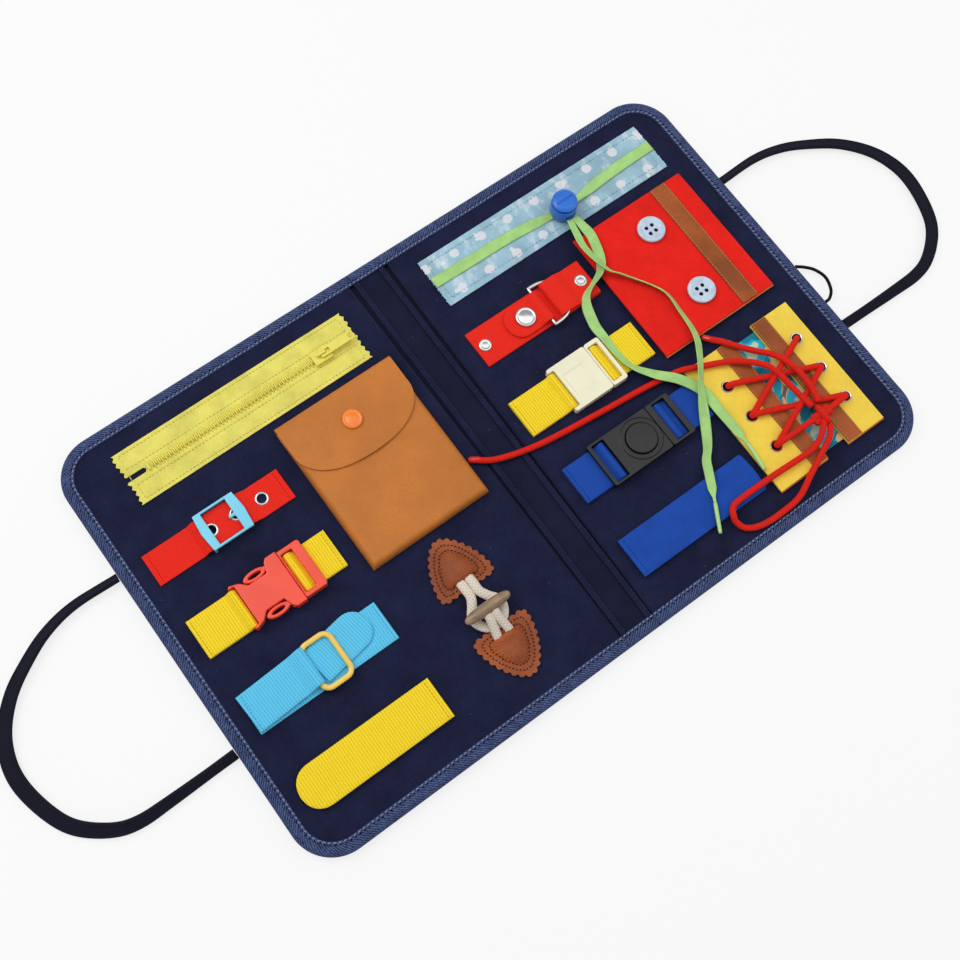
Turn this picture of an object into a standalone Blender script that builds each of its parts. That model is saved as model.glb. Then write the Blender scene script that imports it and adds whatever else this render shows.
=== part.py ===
"""Quiet book: an open felt busy board of two hinged pages with straps, buckles, a zip, a pouch and laces.

The board lies open on its back. X runs along the open book, from the left page to the right page.
Y runs up the pages, towards the zip. Z is up, and zero is the face that the board rests on.
All lengths are in metres.
"""

import math

import bmesh
import bpy
from mathutils import Vector

# Board: two pages of front and back felt, a spine strip, and a twill binding round the edge
board_length = 0.440
board_depth = 0.280
spine_width = 0.022
corner_radius = 0.026
felt_thickness = 0.0022
binding_thickness = 0.0008
binding_width = 0.008
contact_gap = 0.0003
crease_gap = 0.0003
cut_overrun = 0.001

half_length = board_length / 2
half_depth = board_depth / 2
half_spine = spine_width / 2
back_low = binding_thickness + contact_gap
back_high = back_low + felt_thickness
front_low = back_high + contact_gap
page_top = front_low + felt_thickness
board_height = page_top + contact_gap + binding_thickness
seat = page_top + contact_gap
crease_edge = half_spine + crease_gap / 2

# Handles: flat straps that lie on the table and swing on the pages' outer edges
handle_reach = 0.1065
handle_spread = 0.120
handle_strap_width = 0.0105
handle_strap_thickness = 0.003
handle_route_shares = [
    (0, 1),
    (0.275, 1.01),
    (0.475, 0.94),
    (0.647, 0.8),
    (0.8, 0.627),
    (0.925, 0.385),
    (0.992, 0.118),
    (1, -0.16),
    (0.95, -0.5),
    (0.873, -0.73),
    (0.735, -0.92),
    (0.6, -1),
    (0.4, -1.01),
    (0, -1),
]

# Elastic loop at the right page's edge
elastic_diameter = 0.002

# Webbing and the bars that it is folded round
webbing_thickness = 0.0012
webbing_width = 0.025
narrow_webbing_width = 0.0204
bar_radius = 0.0011
strap_side_clearance = 0.0004
strap_end_clearance = 0.0005
fold_arc_degrees = 220

low_layer = seat + webbing_thickness / 2
fold_radius = bar_radius + contact_gap + webbing_thickness / 2
bar_height = low_layer + fold_radius
high_layer = low_layer + webbing_thickness + contact_gap
strap_top = high_layer + webbing_thickness / 2
fold_reach = fold_radius + webbing_thickness / 2

# Columns and rows of the activities, from the edges that they keep to
left_column_margin = 0.0165
right_column_margin = 0.0215
inner_margin_left = 0.0105
inner_margin_right = 0.0095
top_row_margin = 0.01875
top_row_width = 0.0345
hook_row_margin = 0.0395
top_row = half_depth - top_row_margin - top_row_width / 2
hook_row = -half_depth + hook_row_margin
row_span = top_row - hook_row

# Zip
zip_inner_margin = 0.017
zip_length = half_length - half_spine - left_column_margin * 2 - zip_inner_margin
zip_tape_thickness = 0.0008
zip_gap = 0.0028
zip_end_wave = 0.0022
zip_wave_count = 4
tooth_pitch = 0.0025
tooth_width = 0.0009
tooth_reach = 0.0024
tooth_height = 0.0024
tooth_root = 0.0014
teeth_start_margin = 0.0147
teeth_end_margin = 0.021
slider_length = 0.012
slider_wall = 0.0014
slider_roof = 0.0012
slider_end_margin = 0.019
bridge_length = 0.006
bridge_width = 0.0018
bridge_height = 0.0026
bridge_hole = 0.0016
pull_length = 0.0235
pull_width = 0.0056
pull_thickness = 0.001
pull_window_length = 0.0055
pull_hole = 0.0026

# Belt: webbing with three eyelets under a frame with a peg
belt_length = 0.090
belt_row_share = 0.2592
belt_rise = 0.0024
belt_slope_run = 0.0028
belt_buckle_length = 0.0262
belt_buckle_width = 0.0238
belt_buckle_inset = 0.0352
belt_buckle_thickness = 0.0022
belt_left_bar = 0.0045
belt_right_bar = 0.0055
belt_side_bar = 0.0013
belt_bow = 0.0012
belt_under_bar = 0.0016
belt_peg_length = 0.0036
belt_peg_width = 0.0018
eyelet_outer_radius = 0.004
eyelet_hole_radius = 0.0025
eyelet_rim = 0.0004
belt_pin_radius = 0.0013
belt_eyelet_spacing = 0.0167
belt_eyelet_inset = 0.0402

# Side-release clip
clip_row_share = 0.4949
clip_left_strap = 0.0282
clip_right_strap = 0.015
clip_socket_length = 0.0336
clip_plug_length = 0.0142
clip_half_width = 0.0166
clip_waist_half_width = 0.0088
clip_thickness = 0.0066
clip_wall = 0.001
clip_floor = 0.0012
clip_mouth_length = 0.0085
clip_shoulder_length = 0.0075
clip_guide_half_width = 0.0042
clip_guide_length = 0.020
clip_arm_width = 0.003
clip_arm_loop_length = 0.015
clip_arm_loop_half_width = 0.0031
clip_arm_offset = 0.0121
clip_arm_window_length = 0.009
clip_arm_window_width = 0.0024
clip_fit = 0.0004

# Ring strap with a hook-and-loop tab
ring_row_share = 0.7423
ring_strap_length = 0.091
ring_length = 0.0218
ring_depth = 0.031
ring_wire = 0.0022
ring_corner = 0.0032
ring_inset = 0.040
ring_tab_length = 0.0265
ring_tab_corner_share = 0.6
ring_tab_bevel_share = 0.2
ring_stub_clearance = 0.0006

# Hook-and-loop straps
hook_strap_length = 0.092
hook_strap_width = 0.0258
hook_base_inset = 0.002
hook_free_overhang = 0.0015

# Pouch with a snap flap
pouch_side_gap = 0.0102
clip_row_length = clip_left_strap + clip_socket_length + contact_gap + clip_plug_length + clip_right_strap
pouch_room = half_length - half_spine - left_column_margin - inner_margin_left
pouch_width = pouch_room - clip_row_length - pouch_side_gap
pouch_top_margin = 0.00675
pouch_depth = 0.0066
pouch_wall = 0.0012
pouch_corner = 0.003
pouch_mouth_drop = 0.012
flap_drop = 0.0448
flap_shoulder_drop = 0.021
flap_thickness = 0.0013
flap_hinge_height = 0.001
snap_radius = 0.006
snap_height = 0.0022
snap_top_share = 0.8
pouch_snap_drop = 0.0215

# Toggle closure
toggle_offset = 0.00225
toggle_patch_width = 0.037
toggle_patch_height = 0.0344
toggle_patch_thickness = 0.0022
toggle_apex_share = 0.9
toggle_upper_margin = 0.0055
toggle_lower_margin = 0.019
toggle_patch_gap = 0.026
toggle_column = toggle_upper_margin + toggle_patch_height * 2 + toggle_patch_gap + toggle_lower_margin
pouch_height = board_depth - top_row_margin - top_row_width - pouch_top_margin - toggle_column
toggle_cord_diameter = 0.0042
toggle_cord_spread = 0.0062
toggle_loop_width = 0.0148
toggle_bar_length = 0.0305
toggle_bar_radius = 0.0034
toggle_bar_end_radius = 0.0024
toggle_bar_inset = 0.0102
toggle_bore_radius = 0.0015
toggle_tie_radius = 0.0012
toggle_tie_width = 0.0034
toggle_tie_height = 0.0012
toggle_knot_radius = 0.0022
toggle_knot_height = 0.0014

# Drawstring channel and cord lock
channel_outer_margin = 0.0228
channel_margin = 0.0179
channel_length = half_length - half_spine - channel_margin - channel_outer_margin
channel_thickness = 0.0012
drawstring_width = 0.0075
drawstring_thickness = 0.0008
lock_inset = 0.094
lock_drop = 0.0053
lock_radius = 0.0082
lock_height = 0.009
lock_floor = 0.0015
lock_bore_height = 0.0032
lock_bore_width = 0.0068
lock_bore_drop = 0.0026
plunger_radius = 0.0058
plunger_cap_radius = 0.0078
plunger_cap_height = 0.0025
plunger_slit_width = 0.0012
plunger_slit_depth = 0.0008
plunger_travel = 0.002
plunger_fit = 0.0004
ribbon_diameter = 0.0028
ribbon_crossing_height = 0.0154

# Snap strap with a D ring
snap_row_share = 0.2445
snap_strap_length = 0.084
snap_strap_inset = 0.0135
snap_rivet_radius = 0.0035
snap_rivet_height = 0.001
snap_rivet_inset = 0.0062
d_ring_inset = 0.0483
d_ring_wire = 0.002
d_ring_width = 0.030
d_ring_depth = 0.0167
d_ring_fullness_share = 0.58
snap_stub_inset = 0.0545
snap_stub_level_run = 0.013
snap_tab_length = 0.0255
snap_cap_inset = 0.012
snap_cap_height = 0.002
snap_stud_height = 0.0004
snap_stud_radius = 0.003

# Centre-release buckle
cream_row_share = 0.4919
cream_strap_inset = 0.0085
cream_left_strap = 0.0292
cream_right_strap = 0.0236
cream_socket_length = 0.0278
cream_plug_length = 0.0105
cream_half_width = 0.0155
cream_thickness = 0.0056
cream_wall = 0.0012
cream_tongue_half_width = 0.009
cream_tongue_length = 0.013
cream_panel_width = 0.0146
cream_panel_depth = 0.0004
cream_panel_inset = 0.0065

# Push-button buckle
black_row_share = 0.7403
black_strap_inset = 0.0095
black_left_strap = 0.0187
black_right_strap = 0.0162
black_socket_length = 0.0428
black_plug_length = 0.0165
black_half_width = 0.0145
black_thickness = 0.0062
black_wall = 0.0012
black_block = 0.0042
black_outer_bar = 0.0024
black_slot_slack = 0.0015
black_ring_radius = 0.0128
black_ring_height = 0.0008
black_button_inset = 0.0298
black_button_radius = 0.0095
black_button_flange = 0.0008
black_button_flange_height = 0.0006
black_button_rise = 0.0012
black_button_dome = 0.0004
black_button_travel = 0.0015
black_tongue_half_width = 0.0055
black_tongue_thickness = 0.0012
black_tongue_length = 0.024
black_fit = 0.0003

# Button panel
panel_top_margin = 0.062
panel_bottom_margin = 0.020
panel_gap = 0.0135
panel_column = board_depth - panel_top_margin - panel_bottom_margin - panel_gap
panel_height_share = 0.5041
panel_height = panel_column * panel_height_share
panel_side_gap = 0.0039
cream_straps = cream_strap_inset + cream_left_strap + cream_right_strap
cream_row_length = cream_straps + cream_socket_length + contact_gap + cream_plug_length
panel_width = half_length - half_spine - right_column_margin - cream_row_length - panel_side_gap
panel_felt = 0.0018
panel_base_inset = 0.004
panel_edge_share = 0.3943
panel_strip_share = 0.1374
panel_strip_inset_share = 0.1458
panel_strip_thickness = 0.001
button_radius = 0.0088
button_thickness = 0.0024
button_shank_radius = 0.0016
button_slot_length = 0.0125
button_slot_width = 0.0042
button_inset_share = 0.4719
button_end_margin = 0.0217
button_spacing = panel_height - button_end_margin * 2
button_hole_radius = 0.0009
button_hole_offset = 0.0021
button_dish_radius = 0.006
button_dish_depth = 0.0006

# Lace panel
lace_panel_outer_margin = 0.023
lace_panel_side_gap = 0.002
lace_panel_height = panel_column - panel_height
black_straps = black_strap_inset + black_left_strap + black_right_strap
black_row_length = black_straps + black_socket_length + contact_gap + black_plug_length
lace_room = half_length - half_spine - lace_panel_outer_margin
lace_panel_width = lace_room - black_row_length - lace_panel_side_gap
lace_insert_share = 0.35
lace_insert_thickness = 0.0012
lace_flap_thickness = 0.0018
lace_flap_left_share = 0.45
lace_flap_right_share = 0.35
lace_trim_share = 0.1375
lace_trim_thickness = 0.001
lace_eyelet_left_share = 0.1938
lace_eyelet_right_share = 0.125
lace_eyelet_top_margin = 0.0225
lace_eyelet_bottom_margin = 0.0234
lace_eyelet_count = 3
lace_eyelet_room = lace_panel_height - lace_eyelet_top_margin - lace_eyelet_bottom_margin
lace_eyelet_spacing = lace_eyelet_room / (lace_eyelet_count - 1)
lace_diameter = 0.0038
lace_drop_radius = 0.002
knot_drop = 0.0012
knot_inset_share = 0.6
knot_half_length = 0.0075
knot_half_width = 0.0062
knot_half_height = 0.0044
knot_rise = 0.0014

# Routes of the cords, in metres on the open book
elastic_route = [
    (0.2208, -0.0126, 0.0035),
    (0.2255, -0.0165, 0.0035),
    (0.2295, -0.0215, 0.0035),
    (0.2316, -0.0291, 0.0035),
    (0.2290, -0.0372, 0.0035),
    (0.2245, -0.0412, 0.0035),
    (0.2208, -0.0418, 0.0035),
]
ribbon_a_route = [
    (0.1246, 0.0898, 0.0125),
    (0.1254, 0.0820, 0.0122),
    (0.1250, 0.0710, 0.0120),
    (0.1170, 0.0530, 0.0122),
    (0.0979, 0.0430, 0.0122),
    (0.0918, 0.0280, 0.0105),
    (0.0912, 0.0160, 0.0105),
    (0.0922, -0.0050, 0.0108),
    (0.1000, -0.0190, 0.0118),
    (0.1110, -0.0315, 0.0122),
    (0.1180, -0.0450, 0.0113),
    (0.1184, -0.0600, 0.0112),
    (0.1188, -0.0858, 0.0112),
    (0.1167, -0.1040, 0.0112),
]
ribbon_b_route = [
    (0.1210, 0.0898, 0.0125),
    (0.1190, 0.0810, 0.0130),
    (0.1160, 0.0680, 0.0152),
    (0.1184, 0.0500, 0.0155),
    (0.1245, 0.0420, 0.0135),
    (0.1388, 0.0200, 0.0120),
    (0.1390, 0.0030, 0.0120),
    (0.1365, -0.0143, 0.0130),
    (0.1290, -0.0270, 0.0155),
    (0.1160, -0.0450, 0.0148),
    (0.1010, -0.0710, 0.0080),
    (0.0935, -0.0790, 0.0090),
    (0.0890, -0.0860, 0.0108),
    (0.0812, -0.1010, 0.0107),
    (0.0762, -0.1098, 0.0107),
    (0.0712, -0.1187, 0.0107),
]
lace_long_route = [
    (-0.0196, 0.0010, 0.0082),
    (-0.0060, -0.0080, 0.0082),
    (0.0200, -0.0150, 0.0082),
    (0.0580, -0.0195, 0.0082),
    (0.0895, -0.0225, 0.0082),
    (0.1060, -0.0246, 0.0083),
    (0.1125, -0.0262, 0.0100),
    (0.1175, -0.0284, 0.0123),
    (0.1280, -0.0330, 0.0123),
    (0.1440, -0.0410, 0.0132),
    (0.1560, -0.0530, 0.0160),
    (0.1595, -0.0625, 0.0170),
    (0.1607, -0.0755, 0.0168),
    (0.1618, -0.0857, 0.0170),
    (0.1627, -0.0908, 0.0170),
]
lace_short_route = [
    (0.1410, -0.0177, 0.0084),
    (0.1435, -0.0225, 0.0110),
    (0.1465, -0.0268, 0.0127),
    (0.1510, -0.0330, 0.0129),
    (0.1590, -0.0430, 0.0130),
    (0.1660, -0.0530, 0.0160),
    (0.1695, -0.0640, 0.0172),
    (0.1705, -0.0760, 0.0170),
    (0.1690, -0.0860, 0.0172),
    (0.1676, -0.0908, 0.0170),
]
lace_loop_route = [
    (0.1602, -0.1050, 0.0150),
    (0.1530, -0.1092, 0.0140),
    (0.1440, -0.1110, 0.0130),
    (0.1183, -0.1099, 0.0120),
    (0.0925, -0.1096, 0.0113),
    (0.0865, -0.1112, 0.0114),
    (0.0840, -0.1148, 0.0112),
    (0.0836, -0.1185, 0.0090),
    (0.0863, -0.1246, 0.0082),
    (0.0956, -0.1288, 0.0082),
    (0.1120, -0.1296, 0.0082),
    (0.1249, -0.1280, 0.0084),
    (0.1380, -0.1215, 0.0118),
    (0.1500, -0.1160, 0.0132),
    (0.1600, -0.1110, 0.0140),
    (0.1652, -0.1056, 0.0145),
]


def collection_named(name, hidden=False):
    made = bpy.data.collections.new(name)
    bpy.context.scene.collection.children.link(made)
    made.hide_render = hidden
    return made


for old in list(bpy.data.objects):
    bpy.data.objects.remove(old, do_unlink=True)
parts = collection_named("quiet_book")
helpers = collection_named("cutters", hidden=True)


def surface(name, colour, roughness, metallic=0.0):
    """A Principled material in the colour of one real finish."""
    made = bpy.data.materials.new(name)
    made.use_nodes = True
    shader = made.node_tree.nodes["Principled BSDF"]
    shader.inputs["Base Color"].default_value = (*colour, 1)
    shader.inputs["Roughness"].default_value = roughness
    shader.inputs["Metallic"].default_value = metallic
    return made


navy_felt = surface("navy_felt", (0.013, 0.015, 0.06), 0.95)
dark_felt = surface("dark_felt", (0.010, 0.012, 0.035), 0.95)
navy_twill = surface("navy_twill", (0.03, 0.06, 0.2), 0.8)
handle_fabric = surface("handle_fabric", (0.012, 0.012, 0.035), 0.7)
black_elastic = surface("black_elastic", (0.01, 0.01, 0.01), 0.7)
pale_yellow = surface("pale_yellow", (0.87, 0.80, 0.15), 0.7)
yellow_plastic = surface("yellow_plastic", (0.86, 0.78, 0.12), 0.35)
red_webbing = surface("red_webbing", (0.75, 0.03, 0.01), 0.8)
blue_plastic = surface("light_blue_plastic", (0.15, 0.66, 0.85), 0.3)
yellow_webbing = surface("yellow_webbing", (0.93, 0.70, 0.02), 0.8)
coral_plastic = surface("coral_plastic", (0.90, 0.08, 0.04), 0.3)
sky_webbing = surface("sky_webbing", (0.10, 0.55, 0.80), 0.8)
ring_plastic = surface("ring_plastic", (0.90, 0.60, 0.10), 0.35)
tan_leather = surface("tan_leather", (0.56, 0.20, 0.04), 0.45)
orange_plastic = surface("orange_plastic", (0.95, 0.22, 0.01), 0.35)
brown_leather = surface("brown_leather", (0.30, 0.08, 0.02), 0.4)
horn = surface("horn", (0.18, 0.13, 0.08), 0.3)
aqua_fabric = surface("aqua_fabric", (0.35, 0.60, 0.70), 0.85)
green_ribbon = surface("green_ribbon", (0.45, 0.75, 0.27), 0.6)
lock_plastic = surface("lock_plastic", (0.01, 0.13, 0.58), 0.35)
steel = surface("steel", (0.70, 0.70, 0.70), 0.25, 1.0)
cream_plastic = surface("cream_plastic", (0.83, 0.79, 0.58), 0.35)
black_plastic = surface("black_plastic", (0.012, 0.012, 0.012), 0.35)
royal_webbing = surface("royal_webbing", (0.01, 0.09, 0.50), 0.8)
red_felt = surface("red_felt", (0.78, 0.03, 0.015), 0.9)
yellow_felt = surface("yellow_felt", (0.93, 0.60, 0.07), 0.9)
insert_fabric = surface("insert_fabric", (0.05, 0.35, 0.50), 0.85)
lace_red = surface("lace_red", (0.80, 0.02, 0.01), 0.7)


def keep(obj, finish=None, smooth=True):
    """Files an object among the parts, or among the helpers when it has no finish."""
    for home in list(obj.users_collection):
        home.objects.unlink(obj)
    if finish is None:
        helpers.objects.link(obj)
        obj.hide_render = True
        obj.display_type = "WIRE"
        return obj
    parts.objects.link(obj)
    obj.data.materials.clear()
    obj.data.materials.append(finish)
    if smooth:
        obj.data.shade_smooth()
        obj.data.set_sharp_from_angle(angle=math.radians(35))
    return obj


def meshed(curve_object, finish):
    """A curve's evaluated shape as a closed mesh in the same place."""
    graph = bpy.context.evaluated_depsgraph_get()
    name = curve_object.name
    data = bpy.data.meshes.new_from_object(curve_object.evaluated_get(graph))
    shape = bmesh.new()
    shape.from_mesh(data)
    bmesh.ops.remove_doubles(shape, verts=shape.verts, dist=contact_gap / 100)
    bmesh.ops.recalc_face_normals(shape, faces=shape.faces)
    shape.to_mesh(data)
    shape.free()
    made = bpy.data.objects.new(name + "_mesh", data)
    bpy.context.scene.collection.objects.link(made)
    made.matrix_world = curve_object.matrix_world.copy()
    bpy.data.objects.remove(curve_object, do_unlink=True)
    made.name = name
    return keep(made, finish)


def flat_curve(name, outlines, half_thickness):
    data = bpy.data.curves.new(name, "CURVE")
    data.dimensions = "2D"
    data.fill_mode = "BOTH"
    data.extrude = half_thickness
    for points in outlines:
        line = data.splines.new("POLY")
        line.points.add(len(points) - 1)
        for place, (x, y) in zip(line.points, points):
            place.co = (x, y, 0, 1)
        line.use_cyclic_u = True
    made = bpy.data.objects.new(name, data)
    bpy.context.scene.collection.objects.link(made)
    return made


def plate(name, outlines, low, high, finish=None):
    """Outlines in X and Y, the first with the others as holes, thick from low to high in Z."""
    made = flat_curve(name, outlines, (high - low) / 2)
    made.location = (0, 0, (low + high) / 2)
    bpy.context.view_layer.update()
    return meshed(made, finish)


def side_profile(name, outlines, centre_y, width, finish=None):
    """Outlines in X and Z, carried along Y over the width."""
    made = flat_curve(name, outlines, width / 2)
    made.location = (0, centre_y, 0)
    made.rotation_euler = (math.pi / 2, 0, 0)
    bpy.context.view_layer.update()
    return meshed(made, finish)


def block(name, low, high, finish=None):
    """A box between two corners."""
    bpy.ops.mesh.primitive_cube_add(size=1)
    made = bpy.context.object
    made.name = name
    size = Vector(high) - Vector(low)
    made.data.transform(made.matrix_world.Diagonal((*size, 1)))
    made.location = (Vector(low) + Vector(high)) / 2
    return keep(made, finish, smooth=False)


def drum(name, radius, low, high, centre, sides=24, finish=None, top_radius=None):
    """A cylinder or a cone frustum along Z."""
    bpy.ops.mesh.primitive_cone_add(
        vertices=sides,
        radius1=radius,
        radius2=radius if top_radius is None else top_radius,
        depth=high - low,
        location=(centre[0], centre[1], (low + high) / 2),
    )
    made = bpy.context.object
    made.name = name
    return keep(made, finish)


def rod(name, radius, x, z, low_y, high_y, sides=12, finish=None):
    """A cylinder along Y."""
    bpy.ops.mesh.primitive_cylinder_add(
        vertices=sides,
        radius=radius,
        depth=high_y - low_y,
        location=(x, (low_y + high_y) / 2, z),
        rotation=(math.pi / 2, 0, 0),
    )
    made = bpy.context.object
    made.name = name
    return keep(made, finish)


def smooth_route(points, spacing):
    """Points at even steps along a Catmull-Rom curve through the route's points."""
    route = [Vector(point) for point in points]
    ends = [2 * route[0] - route[1]] + route + [2 * route[-1] - route[-2]]
    dense = []
    for a, b, c, d in zip(ends, ends[1:], ends[2:], ends[3:]):
        for step in range(16):
            t = step / 16
            dense.append(
                0.5 * (2 * b + (c - a) * t + (2 * a - 5 * b + 4 * c - d) * t**2 + (3 * b - a - 3 * c + d) * t**3)
            )
    dense.append(route[-1])
    length = sum((b - a).length for a, b in zip(dense, dense[1:]))
    count = max(2, round(length / spacing))
    out, walked, index = [dense[0]], 0, 0
    for step in range(1, count):
        target = length * step / count
        while walked + (dense[index + 1] - dense[index]).length < target:
            walked += (dense[index + 1] - dense[index]).length
            index += 1
        leg = dense[index + 1] - dense[index]
        out.append(dense[index] + leg * ((target - walked) / leg.length))
    out.append(dense[-1])
    return out


def tube(name, points, diameter, finish=None, spacing=2):
    """A round cord along a smooth route, with a ring of points every few diameters."""
    data = bpy.data.curves.new(name, "CURVE")
    data.dimensions = "3D"
    data.bevel_depth = diameter / 2
    data.bevel_resolution = 2
    data.use_fill_caps = True
    route = smooth_route(points, spacing * diameter)
    line = data.splines.new("POLY")
    line.points.add(len(route) - 1)
    for place, point in zip(line.points, route):
        place.co = (*point, 1)
    made = bpy.data.objects.new(name, data)
    bpy.context.scene.collection.objects.link(made)
    bpy.context.view_layer.update()
    return meshed(made, finish)


def wire_loop(name, points, height, diameter, finish):
    """A round wire bent into a closed flat outline."""
    data = bpy.data.curves.new(name, "CURVE")
    data.dimensions = "3D"
    data.bevel_depth = diameter / 2
    data.bevel_resolution = 2
    line = data.splines.new("POLY")
    line.points.add(len(points) - 1)
    for place, (x, y) in zip(line.points, points):
        place.co = (x, y, height, 1)
    line.use_cyclic_u = True
    made = bpy.data.objects.new(name, data)
    bpy.context.scene.collection.objects.link(made)
    bpy.context.view_layer.update()
    return meshed(made, finish)


def turned(name, profile, centre, finish=None, sides=24):
    """Radii and heights, listed from top to bottom, turned about Z with a Screw modifier."""
    data = bpy.data.meshes.new(name)
    points = [(radius, 0, height) for radius, height in profile]
    data.from_pydata(points, [(index, index + 1) for index in range(len(points) - 1)], [])
    made = bpy.data.objects.new(name, data)
    bpy.context.scene.collection.objects.link(made)
    made.location = (centre[0], centre[1], 0)
    turn = made.modifiers.new("turn", "SCREW")
    turn.steps = sides
    turn.render_steps = sides
    turn.use_merge_vertices = True
    turn.merge_threshold = contact_gap / 100
    turn.use_smooth_shade = True
    return keep(made, finish, smooth=False)


def boolean(obj, others, operation):
    for other in others:
        change = obj.modifiers.new(operation.lower() + "_" + other.name, "BOOLEAN")
        change.operation = operation
        change.solver = "EXACT"
        change.object = other
    return obj


def cut(obj, *cutters):
    return boolean(obj, cutters, "DIFFERENCE")


def join(obj, *shapes):
    return boolean(obj, shapes, "UNION")


def arc(centre_x, centre_y, radius, start, end, steps):
    """Points on an arc, from one angle to another in degrees."""
    angles = [math.radians(start + (end - start) * step / steps) for step in range(steps + 1)]
    return [(centre_x + radius * math.cos(a), centre_y + radius * math.sin(a)) for a in angles]


def oval(centre_x, centre_y, half_x, half_y, steps):
    turns = [2 * math.pi * step / steps for step in range(steps)]
    return [(centre_x + half_x * math.cos(a), centre_y + half_y * math.sin(a)) for a in turns]


def rectangle(low_x, high_x, low_y, high_y):
    return [(low_x, low_y), (high_x, low_y), (high_x, high_y), (low_x, high_y)]


def round_rectangle(low_x, high_x, low_y, high_y, radius, steps=4):
    return (
        arc(high_x - radius, high_y - radius, radius, 0, 90, steps)
        + arc(low_x + radius, high_y - radius, radius, 90, 180, steps)
        + arc(low_x + radius, low_y + radius, radius, 180, 270, steps)
        + arc(high_x - radius, low_y + radius, radius, 270, 360, steps)
    )


def ribbon_outline(points, thickness):
    """The closed outline of a line of points that is given a thickness, mitred at each bend."""
    line = [Vector(point) for point in points]
    near, far = [], []
    for index, point in enumerate(line):
        before = (point - line[index - 1]).normalized() if index else None
        after = (line[index + 1] - point).normalized() if index < len(line) - 1 else None
        before = before or after
        after = after or before
        middle = (before + after).normalized()
        normal = Vector((-middle.y, middle.x))
        reach = thickness / 2 / max(0.3, normal.dot(Vector((-before.y, before.x))))
        near.append(tuple(point + normal * reach))
        far.append(tuple(point - normal * reach))
    return near + far[::-1]


def webbing(name, points, centre_y, width, finish):
    """A strap whose middle line runs through points in X and Z."""
    return side_profile(name, [ribbon_outline(points, webbing_thickness)], centre_y, width, finish)


def folded_strap(name, sewn_x, bar_x, centre_y, width, finish):
    """A strap sewn down at one end, folded round a bar and brought back over itself."""
    side = 1 if bar_x > sewn_x else -1
    fold = arc(0, bar_height, fold_radius, -90, fold_arc_degrees - 90, 10)
    last_x, last_z = fold[-1]
    slope = math.radians(fold_arc_degrees - 180)
    run = (last_z - high_layer) / math.tan(slope)
    points = [(sewn_x, low_layer)]
    points += [(bar_x + side * x, z) for x, z in fold]
    points += [(bar_x + side * (last_x - run), high_layer), (sewn_x, high_layer)]
    if side < 0:
        points.reverse()
    return webbing(name, points, centre_y, width, finish)


fold_run = fold_radius * math.sin(math.radians(fold_arc_degrees - 180)) + (
    bar_height + fold_radius * math.cos(math.radians(fold_arc_degrees - 180)) - high_layer
) / math.tan(math.radians(fold_arc_degrees - 180))


def strap_bar(body, bar_x, block_x, end_x, centre_y, width, covered, slack=0):
    """Opens a buckle body for a folded strap and puts the strap's bar across it.

    A covered bar has a second bar outside it that the strap runs under."""
    side = 1 if end_x > bar_x else -1
    reach = width / 2 + strap_side_clearance
    low_y, high_y = centre_y - reach, centre_y + reach
    slot_end = bar_x + side * (fold_run + strap_end_clearance + slack)
    far = slot_end if covered else end_x + side * cut_overrun
    slot = block(
        body.name + "_slot",
        (min(block_x, far), low_y, 0),
        (max(block_x, far), high_y, board_height * 4),
    )
    cutters = [slot]
    if covered:
        near = slot_end - side * cut_overrun
        outer = end_x + side * cut_overrun
        cutters.append(
            block(
                body.name + "_tunnel",
                (min(near, outer), low_y, 0),
                (max(near, outer), high_y, strap_top + contact_gap),
            )
        )
    cut(body, *cutters)
    seat_overlap = strap_side_clearance
    bar = rod(
        body.name + "_bar",
        bar_radius,
        bar_x,
        bar_height,
        low_y - seat_overlap,
        high_y + seat_overlap,
    )
    return join(body, bar)


pivots = {}


def pivot(name, place, parent=None):
    """An empty on a joint's axis, which carries the pieces that move on it."""
    made = bpy.data.objects.new(name, None)
    made.empty_display_size = contact_gap * 20
    made.location = place
    parts.objects.link(made)
    bpy.context.view_layer.update()
    pivots[name] = made
    if parent:
        hang(made, parent)
    return made


def hang(obj, name):
    """Parents an object to a pivot and leaves it where it is."""
    bpy.context.view_layer.update()
    obj.parent = pivots[name]
    obj.matrix_parent_inverse = pivots[name].matrix_world.inverted()
    return obj


def page_outline(side, inset, inner_edge):
    """One page from the crease to its rounded outer corners, pulled in by an inset."""
    outer = half_length - inset
    top = half_depth - inset
    radius = corner_radius - inset
    points = [(inner_edge, -top)]
    points += arc(outer - radius, -top + radius, radius, -90, 0, 6)
    points += arc(outer - radius, top - radius, radius, 0, 90, 6)
    points += [(inner_edge, top)]
    return [(side * x, y) for x, y in points]


def half_page(side, name):
    """The felt sheets and the binding of one page. Side is -1 for the left page."""
    inset = binding_thickness + contact_gap
    for label, low, high in (("back", back_low, back_high), ("felt", front_low, page_top)):
        outline = page_outline(side, inset, crease_edge)
        sheet = plate(f"{name}_page_{label}", [outline], low, high, navy_felt)
        hang(sheet, f"{name}_page_axis")
    ring = page_outline(side, 0, crease_edge)
    inner = page_outline(side, binding_width, crease_edge)
    # The inner edge of the binding is walked back to leave one three-sided band
    band = ring + inner[::-1]
    binding = plate(f"{name}_binding", [band], 0, board_height, navy_twill)
    groove = page_outline(side, binding_thickness, crease_edge - cut_overrun)
    slot = plate(f"{name}_binding_groove", [groove], binding_thickness, seat)
    hang(cut(binding, slot), f"{name}_page_axis")


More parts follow.
